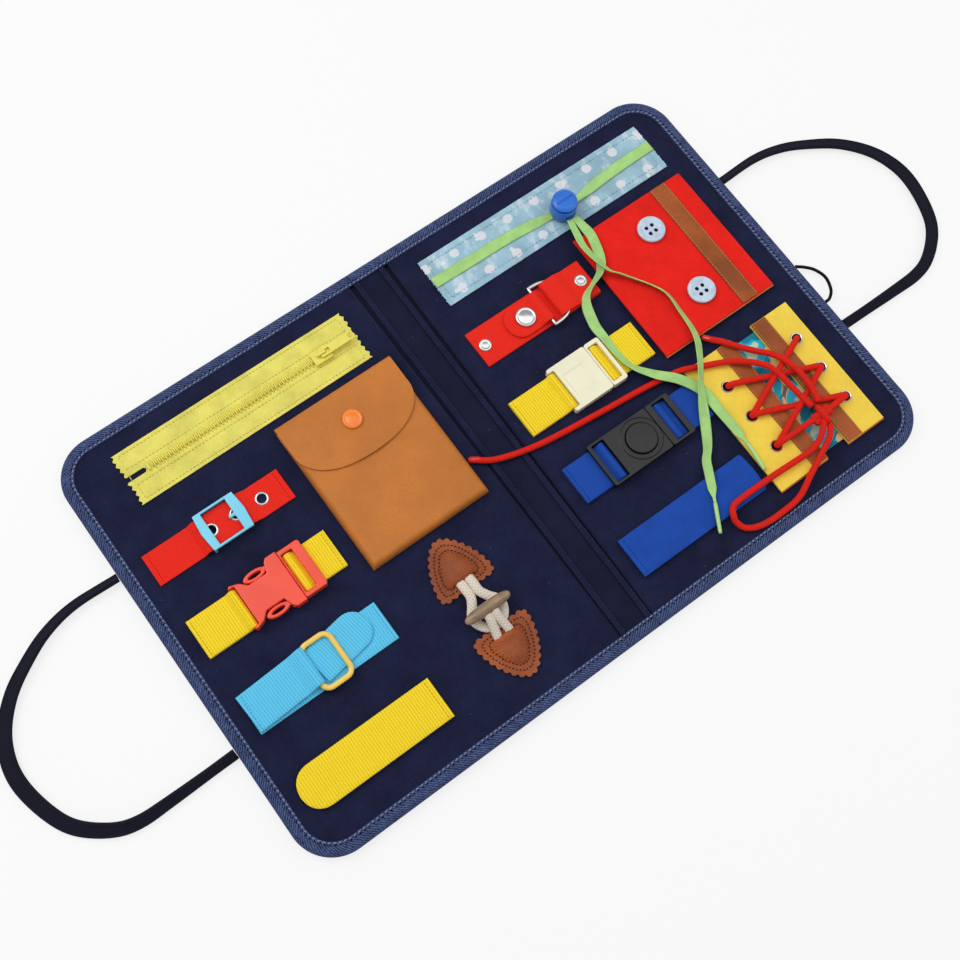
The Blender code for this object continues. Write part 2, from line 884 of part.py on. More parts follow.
def spine():
    """The spine strip and the ends of the binding that fold over it."""
    edge = half_spine - crease_gap / 2
    top = half_depth - binding_thickness
    strip = block("spine", (-edge, -top, back_low), (edge, top, page_top), dark_felt)
    ends = []
    for label, sign in (("head", 1), ("foot", -1)):
        inner, outer = sign * (half_depth - binding_width), sign * half_depth
        low_y, high_y = min(inner, outer), max(inner, outer)
        ends.append(block(f"spine_{label}", (-edge, low_y, 0), (edge, high_y, board_height)))
    return join(strip, *ends)


def handle(side, name):
    """A flat strap bent into a wide arch, which lies on the table."""
    hinge_x = half_length + contact_gap
    pivot(f"{name}_handle_axis", (side * hinge_x, 0, handle_strap_thickness), f"{name}_page_axis")
    half = handle_spread / 2
    reach = handle_reach - handle_strap_width / 2
    corners = [(across * reach, along * half, 0) for across, along in handle_route_shares]
    middle = [point.to_2d() for point in smooth_route(corners, handle_strap_width)]
    outline = ribbon_outline(middle, handle_strap_width)
    points = [(side * (hinge_x + x), y) for x, y in outline]
    strap = plate(f"{name}_handle", [points], 0, handle_strap_thickness, handle_fabric)
    hang(strap, f"{name}_handle_axis")


def zipper():
    centre_y = top_row
    low_x = -half_length + left_column_margin * 2
    high_x = low_x + zip_length
    for label, side in (("upper", 1), ("lower", -1)):
        wave_step = (top_row_width / 2 - zip_gap / 2) / zip_wave_count
        inner = zip_gap / 2
        ends = []
        for index in range(zip_wave_count * 2 + 1):
            along = inner + wave_step * index / 2
            ends.append((along, zip_end_wave if index % 2 else 0))
        points = [(low_x + wave, centre_y + side * along) for along, wave in ends]
        points += [(high_x - wave, centre_y + side * along) for along, wave in reversed(ends)]
        tape = plate(f"zip_tape_{label}", [points], seat, seat + zip_tape_thickness, pale_yellow)
        # A bar along the tape's edge, cut into teeth that reach past the middle
        start = low_x + teeth_start_margin + (0 if side > 0 else tooth_pitch / 2)
        stop = high_x - teeth_end_margin
        lip = centre_y + side * (inner - contact_gap / 2)
        tip = centre_y + side * (inner - tooth_reach)
        root = centre_y + side * (inner + tooth_root)
        teeth = block(
            f"zip_teeth_{label}",
            (start, min(tip, root), seat + zip_tape_thickness / 2),
            (stop, max(tip, root), seat + tooth_height),
        )
        past_tip = tip - side * cut_overrun
        gaps = block(
            f"zip_gaps_{label}",
            (start + tooth_width, min(past_tip, lip), seat - cut_overrun),
            (start + tooth_pitch, max(past_tip, lip), seat + tooth_height + cut_overrun),
        )
        row = gaps.modifiers.new("row", "ARRAY")
        row.count = round((stop - start) / tooth_pitch)
        row.use_relative_offset = False
        row.use_constant_offset = True
        row.constant_offset_displace = (tooth_pitch, 0, 0)
        cut(teeth, gaps)
        hang(join(tape, teeth), "left_page_axis")

    slider_x = high_x - slider_end_margin - slider_length / 2
    half_chain = zip_gap / 2 + tooth_root + contact_gap
    half_width = half_chain + slider_wall
    wall_low = seat + zip_tape_thickness + contact_gap
    roof_low = seat + tooth_height + contact_gap
    roof_high = roof_low + slider_roof
    half_slider = slider_length / 2
    pivot("zip_slider_axis", (slider_x, centre_y, roof_low), "left_page_axis")
    slider = block(
        "zip_slider",
        (slider_x - half_slider, centre_y - half_width, wall_low),
        (slider_x + half_slider, centre_y + half_width, roof_high),
        yellow_plastic,
    )
    channel = block(
        "zip_slider_channel",
        (slider_x - slider_length, centre_y - half_chain, 0),
        (slider_x + slider_length, centre_y + half_chain, roof_low),
    )
    bridge = block(
        "zip_slider_bridge",
        (slider_x - bridge_length / 2, centre_y - bridge_width / 2, roof_high - slider_roof / 2),
        (slider_x + bridge_length / 2, centre_y + bridge_width / 2, roof_high + bridge_height),
    )
    eye_z = roof_high + bridge_height / 2
    eye = block(
        "zip_slider_eye",
        (slider_x - bridge_hole / 2, centre_y - bridge_width, eye_z - bridge_hole / 2),
        (slider_x + bridge_hole / 2, centre_y + bridge_width, eye_z + bridge_hole / 2),
    )
    cut(slider, channel)
    join(slider, bridge)
    hang(cut(slider, eye), "zip_slider_axis")

    pivot("zip_pull_axis", (slider_x, centre_y, eye_z), "zip_slider_axis")
    start_x = slider_x - pull_thickness / 2
    end_x = start_x + pull_length
    window = rectangle(
        start_x + pull_thickness,
        start_x + pull_thickness + pull_window_length,
        centre_y - bridge_width / 2 - contact_gap,
        centre_y + bridge_width / 2 + contact_gap,
    )
    hole_x = end_x - pull_hole - pull_thickness
    hole = rectangle(hole_x, hole_x + pull_hole, centre_y - pull_hole / 2, centre_y + pull_hole / 2)
    outline = rectangle(start_x, end_x, centre_y - pull_width / 2, centre_y + pull_width / 2)
    pull = plate(
        "zip_pull",
        [outline, window, hole],
        eye_z - pull_thickness / 2,
        eye_z + pull_thickness / 2,
        yellow_plastic,
    )
    hang(pull, "zip_pull_axis")


def belt():
    """Webbing that is raised into a frame, which tips on the bar under its left side."""
    centre_y = top_row - row_span * belt_row_share
    start_x = -half_length + left_column_margin
    end_x = start_x + belt_length
    frame_low_x = start_x + belt_buckle_inset
    frame_high_x = frame_low_x + belt_buckle_length
    high = low_layer + belt_rise
    points = [
        (start_x, low_layer),
        (frame_low_x - belt_slope_run * 2, low_layer),
        (frame_low_x - belt_slope_run, high),
        (frame_high_x + belt_slope_run, high),
        (frame_high_x + belt_slope_run * 2, low_layer),
        (end_x, low_layer),
    ]
    strap = webbing("belt_strap", points, centre_y, narrow_webbing_width, red_webbing)
    centres = [(start_x + belt_eyelet_inset + index * belt_eyelet_spacing, centre_y) for index in range(3)]
    for index, centre in enumerate(centres):
        low = high - webbing_thickness / 2 if centre[0] < frame_high_x else seat
        rim_low = low - eyelet_rim if centre[0] < frame_high_x else seat
        rim = drum(f"belt_rim_{index}", eyelet_outer_radius, rim_low, low + webbing_thickness + eyelet_rim, centre)
        hole = drum(f"belt_hole_{index}", eyelet_hole_radius, 0, board_height * 3, centre)
        join(strap, rim)
        cut(strap, hole)
    hang(strap, "left_page_axis")

    frame_low = high + webbing_thickness / 2 + eyelet_rim + contact_gap
    frame_high = frame_low + belt_buckle_thickness
    half = belt_buckle_width / 2
    under_half = belt_under_bar / 2
    tilt_x = frame_low_x + under_half
    pivot("belt_buckle_axis", (tilt_x, centre_y, high), "left_page_axis")
    outline = [
        (frame_low_x, centre_y + half),
        (frame_low_x - belt_bow, centre_y),
        (frame_low_x, centre_y - half),
        (frame_high_x, centre_y - half),
        (frame_high_x + belt_bow, centre_y),
        (frame_high_x, centre_y + half),
    ]
    peg_root = frame_high_x - belt_right_bar
    window = rectangle(
        frame_low_x + belt_left_bar,
        peg_root,
        centre_y - half + belt_side_bar,
        centre_y + half - belt_side_bar,
    )
    frame = plate("belt_buckle", [outline, window], frame_low, frame_high, blue_plastic)
    # The strap is trapped between the left bar and a thin bar under it
    under_high = high - webbing_thickness / 2 - eyelet_rim - contact_gap
    under_low = under_high - belt_under_bar
    under = block(
        "belt_under_bar",
        (tilt_x - under_half, centre_y - half + belt_side_bar / 2, under_low),
        (tilt_x + under_half, centre_y + half - belt_side_bar / 2, under_high),
    )
    cheeks = []
    for label, sign in (("a", 1), ("b", -1)):
        near = centre_y + sign * (half - belt_side_bar)
        far = centre_y + sign * half
        low_corner = (tilt_x - under_half, min(near, far), under_low)
        high_corner = (tilt_x + under_half, max(near, far), frame_low + contact_gap)
        cheeks.append(block(f"belt_cheek_{label}", low_corner, high_corner))
    peg = block(
        "belt_peg",
        (peg_root - belt_peg_length, centre_y - belt_peg_width / 2, frame_low),
        (peg_root + contact_gap, centre_y + belt_peg_width / 2, frame_high - contact_gap),
    )
    pin = drum("belt_pin", belt_pin_radius, high - webbing_thickness / 2, frame_low + contact_gap, centres[1])
    hang(join(frame, under, *cheeks, peg, pin), "belt_buckle_axis")


def clip():
    centre_y = top_row - row_span * clip_row_share
    start_x = -half_length + left_column_margin
    low_x = start_x + clip_left_strap
    mouth_x = low_x + clip_socket_length
    plug_x = mouth_x + contact_gap
    plug_end = plug_x + clip_plug_length
    sewn_right = plug_end + clip_right_strap
    low = seat + contact_gap
    high = low + clip_thickness
    shoulder_x = low_x + clip_shoulder_length
    waist_x = mouth_x - clip_mouth_length
    ease = (clip_half_width - clip_waist_half_width) / 2
    half_outline = [
        (mouth_x, clip_half_width),
        (waist_x + ease / 2, clip_half_width),
        (waist_x, clip_half_width - ease / 2),
        (waist_x - ease / 2, clip_waist_half_width),
        (shoulder_x + ease, clip_waist_half_width),
        (shoulder_x, clip_half_width - ease),
        (low_x + ease / 2, clip_half_width - ease / 2),
        (low_x, clip_half_width - ease),
    ]
    outline = [(x, centre_y + y) for x, y in half_outline]
    outline += [(x, centre_y - y) for x, y in reversed(half_outline)]
    socket = plate("clip_socket", [outline], low, high, coral_plastic)
    hollow_low, hollow_high = low + clip_floor, high - clip_floor
    inner = clip_half_width - clip_wall
    mouth = block(
        "clip_mouth",
        (waist_x - clip_half_width, centre_y - inner, hollow_low),
        (mouth_x + cut_overrun, centre_y + inner, hollow_high),
    )
    # The hollow is as wide as the mouth only in front of the waist's solid core
    core_half = clip_guide_half_width + clip_fit
    for label, sign in (("a", 1), ("b", -1)):
        near, far = sign * core_half, sign * (clip_waist_half_width + clip_fit)
        core = block(
            f"clip_core_{label}",
            (waist_x - clip_half_width - cut_overrun, centre_y + min(near, far), hollow_low - cut_overrun),
            (waist_x - ease / 2, centre_y + max(near, far), hollow_high + cut_overrun),
        )
        cut(mouth, core)
    guide_room = block(
        "clip_guide_room",
        (mouth_x - clip_guide_length - clip_fit * 2, centre_y - core_half, hollow_low),
        (mouth_x + cut_overrun, centre_y + core_half, hollow_high),
    )
    cut(socket, mouth, guide_room)
    bar_x = low_x + bar_radius + contact_gap
    strap_bar(socket, bar_x, bar_x + fold_reach + contact_gap, low_x, centre_y, webbing_width, False)
    hang(socket, "left_page_axis")
    left = folded_strap("clip_strap_left", start_x, bar_x, centre_y, webbing_width, yellow_webbing)
    hang(left, "left_page_axis")

    pivot("clip_plug_axis", (plug_x, centre_y, bar_height), "left_page_axis")
    corner = clip_wall
    plug_outline = [
        (plug_x, centre_y - clip_half_width + corner),
        (plug_end - corner, centre_y - clip_half_width + corner),
        (plug_end, centre_y - clip_half_width + corner * 2),
        (plug_end, centre_y + clip_half_width - corner * 2),
        (plug_end - corner, centre_y + clip_half_width - corner),
        (plug_x, centre_y + clip_half_width - corner),
    ]
    plug = plate("clip_plug", [plug_outline], low, high - contact_gap, coral_plastic)
    plug_bar_x = plug_x + clip_floor + contact_gap + fold_reach
    block_x = plug_x + clip_floor
    strap_bar(plug, plug_bar_x, block_x, plug_end, centre_y, webbing_width, True)
    tongue_low, tongue_high = hollow_low + contact_gap, hollow_high - contact_gap
    guide = block(
        "clip_guide",
        (mouth_x - clip_guide_length, centre_y - clip_guide_half_width, tongue_low),
        (plug_x + clip_floor / 2, centre_y + clip_guide_half_width, tongue_high),
    )
    loops = []
    for label, sign in (("a", 1), ("b", -1)):
        arm_y = centre_y + sign * clip_arm_offset
        loop_x = waist_x - clip_arm_loop_length / 2 - clip_fit
        arm = block(
            f"clip_arm_{label}",
            (loop_x, arm_y - clip_arm_width / 2, tongue_low),
            (plug_x + clip_floor / 2, arm_y + clip_arm_width / 2, tongue_high),
        )
        loop = plate(
            f"clip_loop_{label}",
            [oval(loop_x, arm_y, clip_arm_loop_length / 2, clip_arm_loop_half_width, 16)],
            tongue_low,
            tongue_high,
        )
        loops.append((arm, loop, loop_x, arm_y, label))
    join(plug, guide, *[arm for arm, *_ in loops], *[loop for _, loop, *_ in loops])
    windows = [
        plate(
            f"clip_window_{label}",
            [oval(loop_x, arm_y, clip_arm_window_length / 2, clip_arm_window_width / 2, 12)],
            tongue_low - cut_overrun,
            tongue_high + cut_overrun,
        )
        for _, _, loop_x, arm_y, label in loops
    ]
    hang(cut(plug, *windows), "clip_plug_axis")
    right = folded_strap("clip_strap_right", sewn_right, plug_bar_x, centre_y, webbing_width, yellow_webbing)
    hang(right, "left_page_axis")


def ring_strap():
    """A wire ring held by the folded end of one strap, and a tab looped on the ring's other bar."""
    centre_y = top_row - row_span * ring_row_share
    start_x = -half_length + left_column_margin
    end_x = start_x + ring_strap_length
    ring_low_x = start_x + ring_inset
    ring_high_x = ring_low_x + ring_length
    wire = ring_wire / 2
    left_bar_x = ring_low_x + wire
    right_bar_x = ring_high_x - wire
    layer_step = webbing_thickness + contact_gap
    fold = wire + contact_gap + webbing_thickness / 2
    second = low_layer + layer_step
    third = second + layer_step
    ring_z = second + fold
    half_strap = webbing_width / 2 - ring_stub_clearance
    base = side_profile(
        "ring_strap",
        [rectangle(start_x, end_x, seat, seat + webbing_thickness)],
        centre_y,
        webbing_width,
        sky_webbing,
    )
    turn = arc(0, ring_z, fold, 90, -90, 8)
    stub_points = [(start_x, third), (left_bar_x - fold * 4, third), (left_bar_x - fold, ring_z + fold)]
    stub_points += [(left_bar_x + x, z) for x, z in turn]
    stub_points += [(start_x, second)]
    stub = side_profile("ring_stub", [ribbon_outline(stub_points, webbing_thickness)], centre_y, half_strap * 2)
    stitching = block(
        "ring_stitching",
        (start_x + contact_gap, centre_y - half_strap + contact_gap, low_layer),
        (start_x + webbing_thickness, centre_y + half_strap - contact_gap, third),
    )
    hang(join(base, stub, stitching), "left_page_axis")

    half = (ring_depth - ring_wire) / 2
    pivot("ring_axis", (left_bar_x, centre_y, ring_z), "left_page_axis")
    outline = round_rectangle(left_bar_x, right_bar_x, centre_y - half, centre_y + half, ring_corner - wire, 3)
    hang(wire_loop("slide_ring", outline, ring_z, ring_wire, ring_plastic), "ring_axis")

    pivot("ring_tab_axis", (right_bar_x, centre_y, ring_z), "ring_axis")
    turn = arc(0, ring_z, fold, 270, 90, 8)
    tip_x = right_bar_x + ring_tab_length
    tab_points = [(right_bar_x + fold * 1.5, second)]
    tab_points += [(right_bar_x + x, z) for x, z in turn]
    tab_points += [(right_bar_x + fold, ring_z + fold), (right_bar_x + fold * 4, second), (tip_x, second)]
    tab_half = half_strap - ring_wire / 2
    tab = webbing("ring_tab", tab_points, centre_y, tab_half * 2, sky_webbing)
    for label, sign in (("a", 1), ("b", -1)):
        corner_y = centre_y + sign * tab_half
        outline = [
            (tip_x - tab_half, corner_y + sign * cut_overrun),
            (tip_x - tab_half, corner_y),
            (
                tip_x - tab_half * ring_tab_bevel_share,
                corner_y - sign * tab_half * ring_tab_bevel_share,
            ),
            (tip_x, corner_y - sign * tab_half * ring_tab_corner_share),
            (tip_x + cut_overrun, corner_y - sign * tab_half * ring_tab_corner_share),
            (tip_x + cut_overrun, corner_y + sign * cut_overrun),
        ]
        cut(tab, plate(f"ring_tab_corner_{label}", [outline], 0, board_height * 3))
    hang(tab, "ring_tab_axis")


def hook_strap(name, sewn_x, free_x, centre_y, finish, page, rounded):
    """A hook pad sewn to the page, and the strap that peels off it."""
    side = 1 if free_x > sewn_x else -1
    low_x, high_x = sorted((sewn_x + side * hook_base_inset, free_x - side * hook_base_inset))
    half = hook_strap_width / 2
    inset = hook_base_inset
    pad = block(
        f"{name}_hook_pad",
        (low_x, centre_y - half + inset, seat),
        (high_x, centre_y + half - inset, seat + webbing_thickness),
        finish,
    )
    hang(pad, f"{page}_page_axis")
    low = seat + webbing_thickness + contact_gap
    pivot(f"{name}_hook_axis", (sewn_x, centre_y, low), f"{page}_page_axis")
    tip = arc(0, 0, half, -90, 90, 8) if rounded else [(0, -half), (0, half)]
    tip_x = free_x - side * half if rounded else free_x
    outline = [(sewn_x, centre_y + half), (sewn_x, centre_y - half)]
    outline += [(tip_x + side * x, centre_y + y) for x, y in tip]
    strap = plate(f"{name}_hook_strap", [outline], low, low + webbing_thickness, finish)
    hang(strap, f"{name}_hook_axis")


def pouch():
    """A leather box pouch that is open at the top, and the flap that snaps over its mouth."""
    high_x = -half_spine - inner_margin_left
    low_x = high_x - pouch_width
    top_y = half_depth - top_row_margin - top_row_width - pouch_top_margin
    low_y = top_y - pouch_height
    back_y = top_y - pouch_wall - contact_gap
    mouth_y = top_y - pouch_mouth_drop
    centre_x = (low_x + high_x) / 2
    high = seat + pouch_depth
    outline = round_rectangle(low_x, high_x, low_y, back_y, pouch_corner)
    body = plate("pouch_body", [outline], seat, high, tan_leather)
    inside = block(
        "pouch_inside",
        (low_x + pouch_wall, low_y + pouch_wall, seat + pouch_wall),
        (high_x - pouch_wall, mouth_y + cut_overrun, high - pouch_wall),
    )
    mouth = block(
        "pouch_mouth",
        (low_x - cut_overrun, mouth_y, seat + pouch_wall),
        (high_x + cut_overrun, top_y, high + cut_overrun),
    )
    hang(cut(body, inside, mouth), "left_page_axis")

    # The flap hangs on the pouch's top edge and folds over the mouth
    pivot("pouch_flap_axis", (centre_x, top_y, high + flap_hinge_height), "left_page_axis")
    flap_low = high + contact_gap
    flap_high = flap_low + flap_thickness
    shoulder_y = top_y - flap_shoulder_drop
    tip_y = top_y - flap_drop
    steps = 12
    outline = [(low_x, top_y), (high_x, top_y)]
    for step in range(steps + 1):
        angle = math.pi * step / steps
        across = pouch_width / 2 * math.cos(angle)
        outline.append((centre_x + across, shoulder_y - (shoulder_y - tip_y) * math.sin(angle)))
    flap = plate("pouch_flap", [outline], flap_low, flap_high, tan_leather)
    roll = block(
        "pouch_flap_roll",
        (low_x + contact_gap, top_y - pouch_wall, seat + pouch_wall + contact_gap),
        (high_x - contact_gap, top_y - contact_gap, flap_low + flap_thickness / 2),
    )
    snap = turned(
        "pouch_snap",
        [
            (0, flap_high + snap_height),
            (snap_radius * snap_top_share, flap_high + snap_height),
            (snap_radius, flap_high + snap_height / 2),
            (snap_radius, flap_low + flap_thickness / 2),
            (0, flap_low + flap_thickness / 2),
        ],
        (centre_x, top_y - pouch_snap_drop),
    )
    hang(join(flap, roll, snap), "pouch_flap_axis")


def toggle():
    """Two leather patches, the cord loop on the upper one and the horn bar tied to the lower one."""
    centre_x = -half_spine - inner_margin_left - pouch_width / 2 - toggle_offset
    pouch_bottom = half_depth - top_row_margin - top_row_width - pouch_top_margin - pouch_height
    upper_flat = pouch_bottom - toggle_upper_margin - toggle_patch_height
    lower_flat = -half_depth + toggle_lower_margin + toggle_patch_height
    half = toggle_patch_width / 2
    rise = half * toggle_apex_share
    top = seat + toggle_patch_thickness
    patches = []
    for label, flat_y, sign in (("upper", upper_flat, 1), ("lower", lower_flat, -1)):
        shoulder = flat_y + sign * (toggle_patch_height - rise)
        outline = [(centre_x - half, flat_y), (centre_x + half, flat_y)]
        for x, y in arc(0, 0, 1, 0, 180, 10):
            outline.append((centre_x + half * x, shoulder + sign * rise * y))
        patches.append(plate(f"toggle_patch_{label}", [outline], seat, top, brown_leather))
    upper, lower = patches

    cord = toggle_cord_diameter / 2
    spread = toggle_cord_spread / 2
    wide = toggle_loop_width / 2
    bar_y = lower_flat + toggle_bar_inset
    end_y = bar_y - toggle_bar_radius - toggle_cord_diameter
    start_y = upper_flat + toggle_patch_height / 3
    over_z = top + cord - contact_gap
    low_z = seat + cord + contact_gap
    end_z = seat + toggle_tie_height + contact_gap * 2 + cord
    half_loop = [
        (spread, start_y, over_z),
        (spread, upper_flat - cord, over_z),
        (spread + cord / 2, (upper_flat + bar_y) / 2, low_z),
        (wide, bar_y + cord, low_z),
        (wide - cord / 2, end_y + toggle_cord_diameter, low_z),
    ]
    route = [(centre_x - x, y, z) for x, y, z in half_loop]
    route += [(centre_x, end_y, end_z)]
    route += [(centre_x + x, y, z) for x, y, z in reversed(half_loop)]
    loop = tube("toggle_loop", route, toggle_cord_diameter, spacing=1)
    hang(join(upper, loop), "left_page_axis")

    bar_z = end_z + cord + contact_gap + toggle_bar_radius
    knot_low = bar_z + toggle_bar_radius + contact_gap
    half_tie = toggle_tie_width / 2
    tail = block(
        "toggle_tie_tail",
        (centre_x - half_tie, lower_flat - toggle_patch_height / 3, top - contact_gap),
        (centre_x + half_tie, lower_flat, top + toggle_tie_height / 2),
    )
    foot = block(
        "toggle_tie_foot",
        (centre_x - half_tie + contact_gap, lower_flat - toggle_tie_height, seat + contact_gap),
        (centre_x + half_tie - contact_gap, bar_y + toggle_tie_radius, seat + toggle_tie_height),
    )
    post = drum(
        "toggle_tie_post",
        toggle_tie_radius,
        seat + toggle_tie_height / 2,
        knot_low + toggle_knot_height / 2,
        (centre_x, bar_y),
        sides=12,
    )
    knot = drum(
        "toggle_tie_knot",
        toggle_knot_radius,
        knot_low,
        knot_low + toggle_knot_height,
        (centre_x, bar_y),
        sides=12,
    )
    hang(join(lower, tail, foot, post, knot), "left_page_axis")

    pivot("toggle_axis", (centre_x, bar_y, bar_z), "left_page_axis")
    half_bar = toggle_bar_length / 2
    bar = turned(
        "toggle_bar",
        [
            (0, half_bar),
            (toggle_bar_end_radius / 2, half_bar - contact_gap),
            (toggle_bar_end_radius, half_bar - toggle_bar_end_radius / 2),
            (toggle_bar_radius, half_bar / 2),
            (toggle_bar_radius, -half_bar / 2),
            (toggle_bar_end_radius, -half_bar + toggle_bar_end_radius / 2),
            (toggle_bar_end_radius / 2, -half_bar + contact_gap),
            (0, -half_bar),
        ],
        (0, 0),
        horn,
        sides=16,
    )
    bar.rotation_euler = (0, math.pi / 2, 0)
    bar.location = (centre_x, bar_y, bar_z)
    bore = drum(
        "toggle_bore",
        toggle_bore_radius,
        bar_z - toggle_bar_radius * 2,
        bar_z + toggle_bar_radius * 2,
        (centre_x, bar_y),
        sides=16,
    )
    hang(cut(bar, bore), "toggle_axis")


def drawstring():
    """A channel of fabric with a ribbon on it, whose ends hang from a cord lock."""
    low_x = half_spine + channel_margin
    high_x = low_x + channel_length
    high_y = half_depth - top_row_margin
    low_y = high_y - top_row_width
    top = seat + channel_thickness
    fabric = block("channel_fabric", (low_x, low_y, seat), (high_x, high_y, top), aqua_fabric)
    hang(fabric, "right_page_axis")
    middle = (low_y + high_y) / 2
    half = drawstring_width / 2
    ribbon_low = top + contact_gap
    ribbon_high = ribbon_low + drawstring_thickness
    ribbon = block(
        "channel_ribbon",
        (low_x, middle - half, ribbon_low),
        (high_x, middle + half, ribbon_high),
        green_ribbon,
    )
    hang(ribbon, "right_page_axis")

    centre = (low_x + lock_inset, middle - lock_drop)
    low = ribbon_high + contact_gap
    high = low + lock_height
    pivot("cord_lock_axis", (*centre, low), "right_page_axis")
    body = turned(
        "cord_lock_body",
        [
            (plunger_radius + plunger_fit, high),
            (lock_radius - contact_gap, high),
            (lock_radius, high - contact_gap),
            (lock_radius, low + contact_gap),
            (lock_radius - contact_gap, low),
            (0, low),
            (0, low + lock_floor),
            (plunger_radius + plunger_fit, low + lock_floor),
            (plunger_radius + plunger_fit, high),
        ],
        centre,
        lock_plastic,
    )
    bore_low = low + lock_bore_drop
    bore_high = bore_low + lock_bore_height
    bore = block(
        "cord_lock_bore",
        (centre[0] - lock_bore_width / 2, centre[1] - lock_radius * 2, bore_low),
        (centre[0] + lock_bore_width / 2, centre[1] + lock_radius * 2, bore_high),
    )
    hang(cut(body, bore), "cord_lock_axis")

    pivot("plunger_axis", (*centre, high), "cord_lock_axis")
    foot = low + lock_floor + contact_gap + plunger_travel
    cap_low = high + contact_gap + plunger_travel
    cap_high = cap_low + plunger_cap_height
    plunger = turned(
        "cord_lock_plunger",
        [
            (0, cap_high),
            (plunger_radius, cap_high),
            (plunger_cap_radius, cap_high - plunger_cap_height / 2),
            (plunger_cap_radius, cap_low),
            (plunger_radius, cap_low),
            (plunger_radius, foot),
            (0, foot),
        ],
        centre,
        lock_plastic,
    )
    plunger_bore = block(
        "plunger_bore",
        (centre[0] - lock_bore_width / 2, centre[1] - lock_radius * 2, bore_low + plunger_travel),
        (centre[0] + lock_bore_width / 2, centre[1] + lock_radius * 2, bore_high + plunger_travel),
    )
    slit = block(
        "plunger_slit",
        (centre[0] - plunger_radius, centre[1] - plunger_slit_width / 2, cap_high - plunger_slit_depth),
        (centre[0] + plunger_radius, centre[1] + plunger_slit_width / 2, cap_high + cut_overrun),
    )
    hang(cut(plunger, plunger_bore, slit), "plunger_axis")
    hang(tube("ribbon_tail_a", ribbon_a_route, ribbon_diameter, green_ribbon), "right_page_axis")
    hang(tube("ribbon_tail_b", ribbon_b_route, ribbon_diameter, green_ribbon), "right_page_axis")


def snap_strap():
    """A strap with a stub that holds a D ring, and a tab on the ring that snaps to the strap."""
    centre_y = top_row - row_span * snap_row_share
    start_x = half_spine + snap_strap_inset
    end_x = start_x + snap_strap_length
    wire = d_ring_wire / 2
    fold = wire + contact_gap + webbing_thickness / 2
    second = low_layer + webbing_thickness + contact_gap
    third = second + webbing_thickness + contact_gap
    ring_z = second + fold
    bar_x = start_x + d_ring_inset
    base = side_profile(
        "snap_strap",
        [rectangle(start_x, end_x, seat, seat + webbing_thickness)],
        centre_y,
        webbing_width,
        red_webbing,
    )
    stub_x = start_x + snap_stub_inset + fold + webbing_thickness / 2
    level_x = end_x - snap_stub_level_run
    turn = arc(0, ring_z, fold, 270, 90, 8)
    points = [(end_x, second)]
    points += [(stub_x + x, z) for x, z in turn]
    points += [(level_x - fold * 3, ring_z + fold), (level_x, third), (end_x, third)]
    stub = side_profile(
        "snap_stub",
        [ribbon_outline(points, webbing_thickness)],
        centre_y,
        webbing_width - contact_gap,
    )
    left_rivet = drum(
        "snap_rivet_left",
        snap_rivet_radius,
        seat,
        seat + webbing_thickness + snap_rivet_height,
        (start_x + snap_rivet_inset, centre_y),
    )
    right_rivet = drum(
        "snap_rivet_right",
        snap_rivet_radius,
        seat,
        third + webbing_thickness / 2 + snap_rivet_height,
        (end_x - snap_rivet_inset, centre_y),
    )
    cap_x = bar_x - snap_cap_inset
    stud = drum(
        "snap_stud",
        snap_stud_radius,
        seat,
        seat + webbing_thickness + snap_stud_height,
        (cap_x, centre_y),
    )
    hang(join(base, stub, left_rivet, right_rivet, stud), "right_page_axis")

    half = (d_ring_width - d_ring_wire) / 2
    outline = [(bar_x, centre_y - half)]
    for x, y in arc(0, 0, 1, -90, 90, 14)[1:]:
        across = max(x, 0) ** d_ring_fullness_share
        along = math.copysign(abs(y) ** d_ring_fullness_share, y)
        outline.append((bar_x + (d_ring_depth - wire) * across, centre_y + half * along))
    hang(wire_loop("d_ring", outline, ring_z, d_ring_wire, steel), "right_page_axis")

    pivot("snap_tab_axis", (bar_x, centre_y, ring_z), "right_page_axis")
    level = seat + webbing_thickness + snap_stud_height + contact_gap + webbing_thickness / 2
    turn = arc(0, ring_z, fold, -90, 90, 8)
    tip_x = bar_x - snap_tab_length
    tab_points = [(bar_x - fold * 1.5, second)]
    tab_points += [(bar_x + x, z) for x, z in turn]
    tab_points += [(bar_x - fold, ring_z + fold), (bar_x - fold * 4, level), (tip_x, level)]
    tab_half = webbing_width / 2 - d_ring_wire
    tab = webbing("snap_tab", tab_points, centre_y, tab_half * 2, red_webbing)
    nose = [
        (tip_x - cut_overrun, centre_y + tab_half + cut_overrun),
        (tip_x - cut_overrun, centre_y - tab_half - cut_overrun),
        (tip_x + tab_half, centre_y - tab_half - cut_overrun),
    ]
    nose += [(tip_x + tab_half - tab_half * x, centre_y - tab_half * y) for x, y in arc(0, 0, 1, 90, -90, 10)]
    nose += [(tip_x + tab_half, centre_y + tab_half + cut_overrun)]
    cap = turned(
        "snap_tab_cap",
        [
            (0, level + webbing_thickness / 2 + snap_cap_height),
            (snap_radius * snap_top_share, level + webbing_thickness / 2 + snap_cap_height),
            (snap_radius, level + webbing_thickness),
            (snap_radius, level),
            (0, level),
        ],
        (cap_x, centre_y),
    )
    cut(tab, plate("snap_tab_nose", [nose], 0, board_height * 3))
    hang(join(tab, cap), "snap_tab_axis")


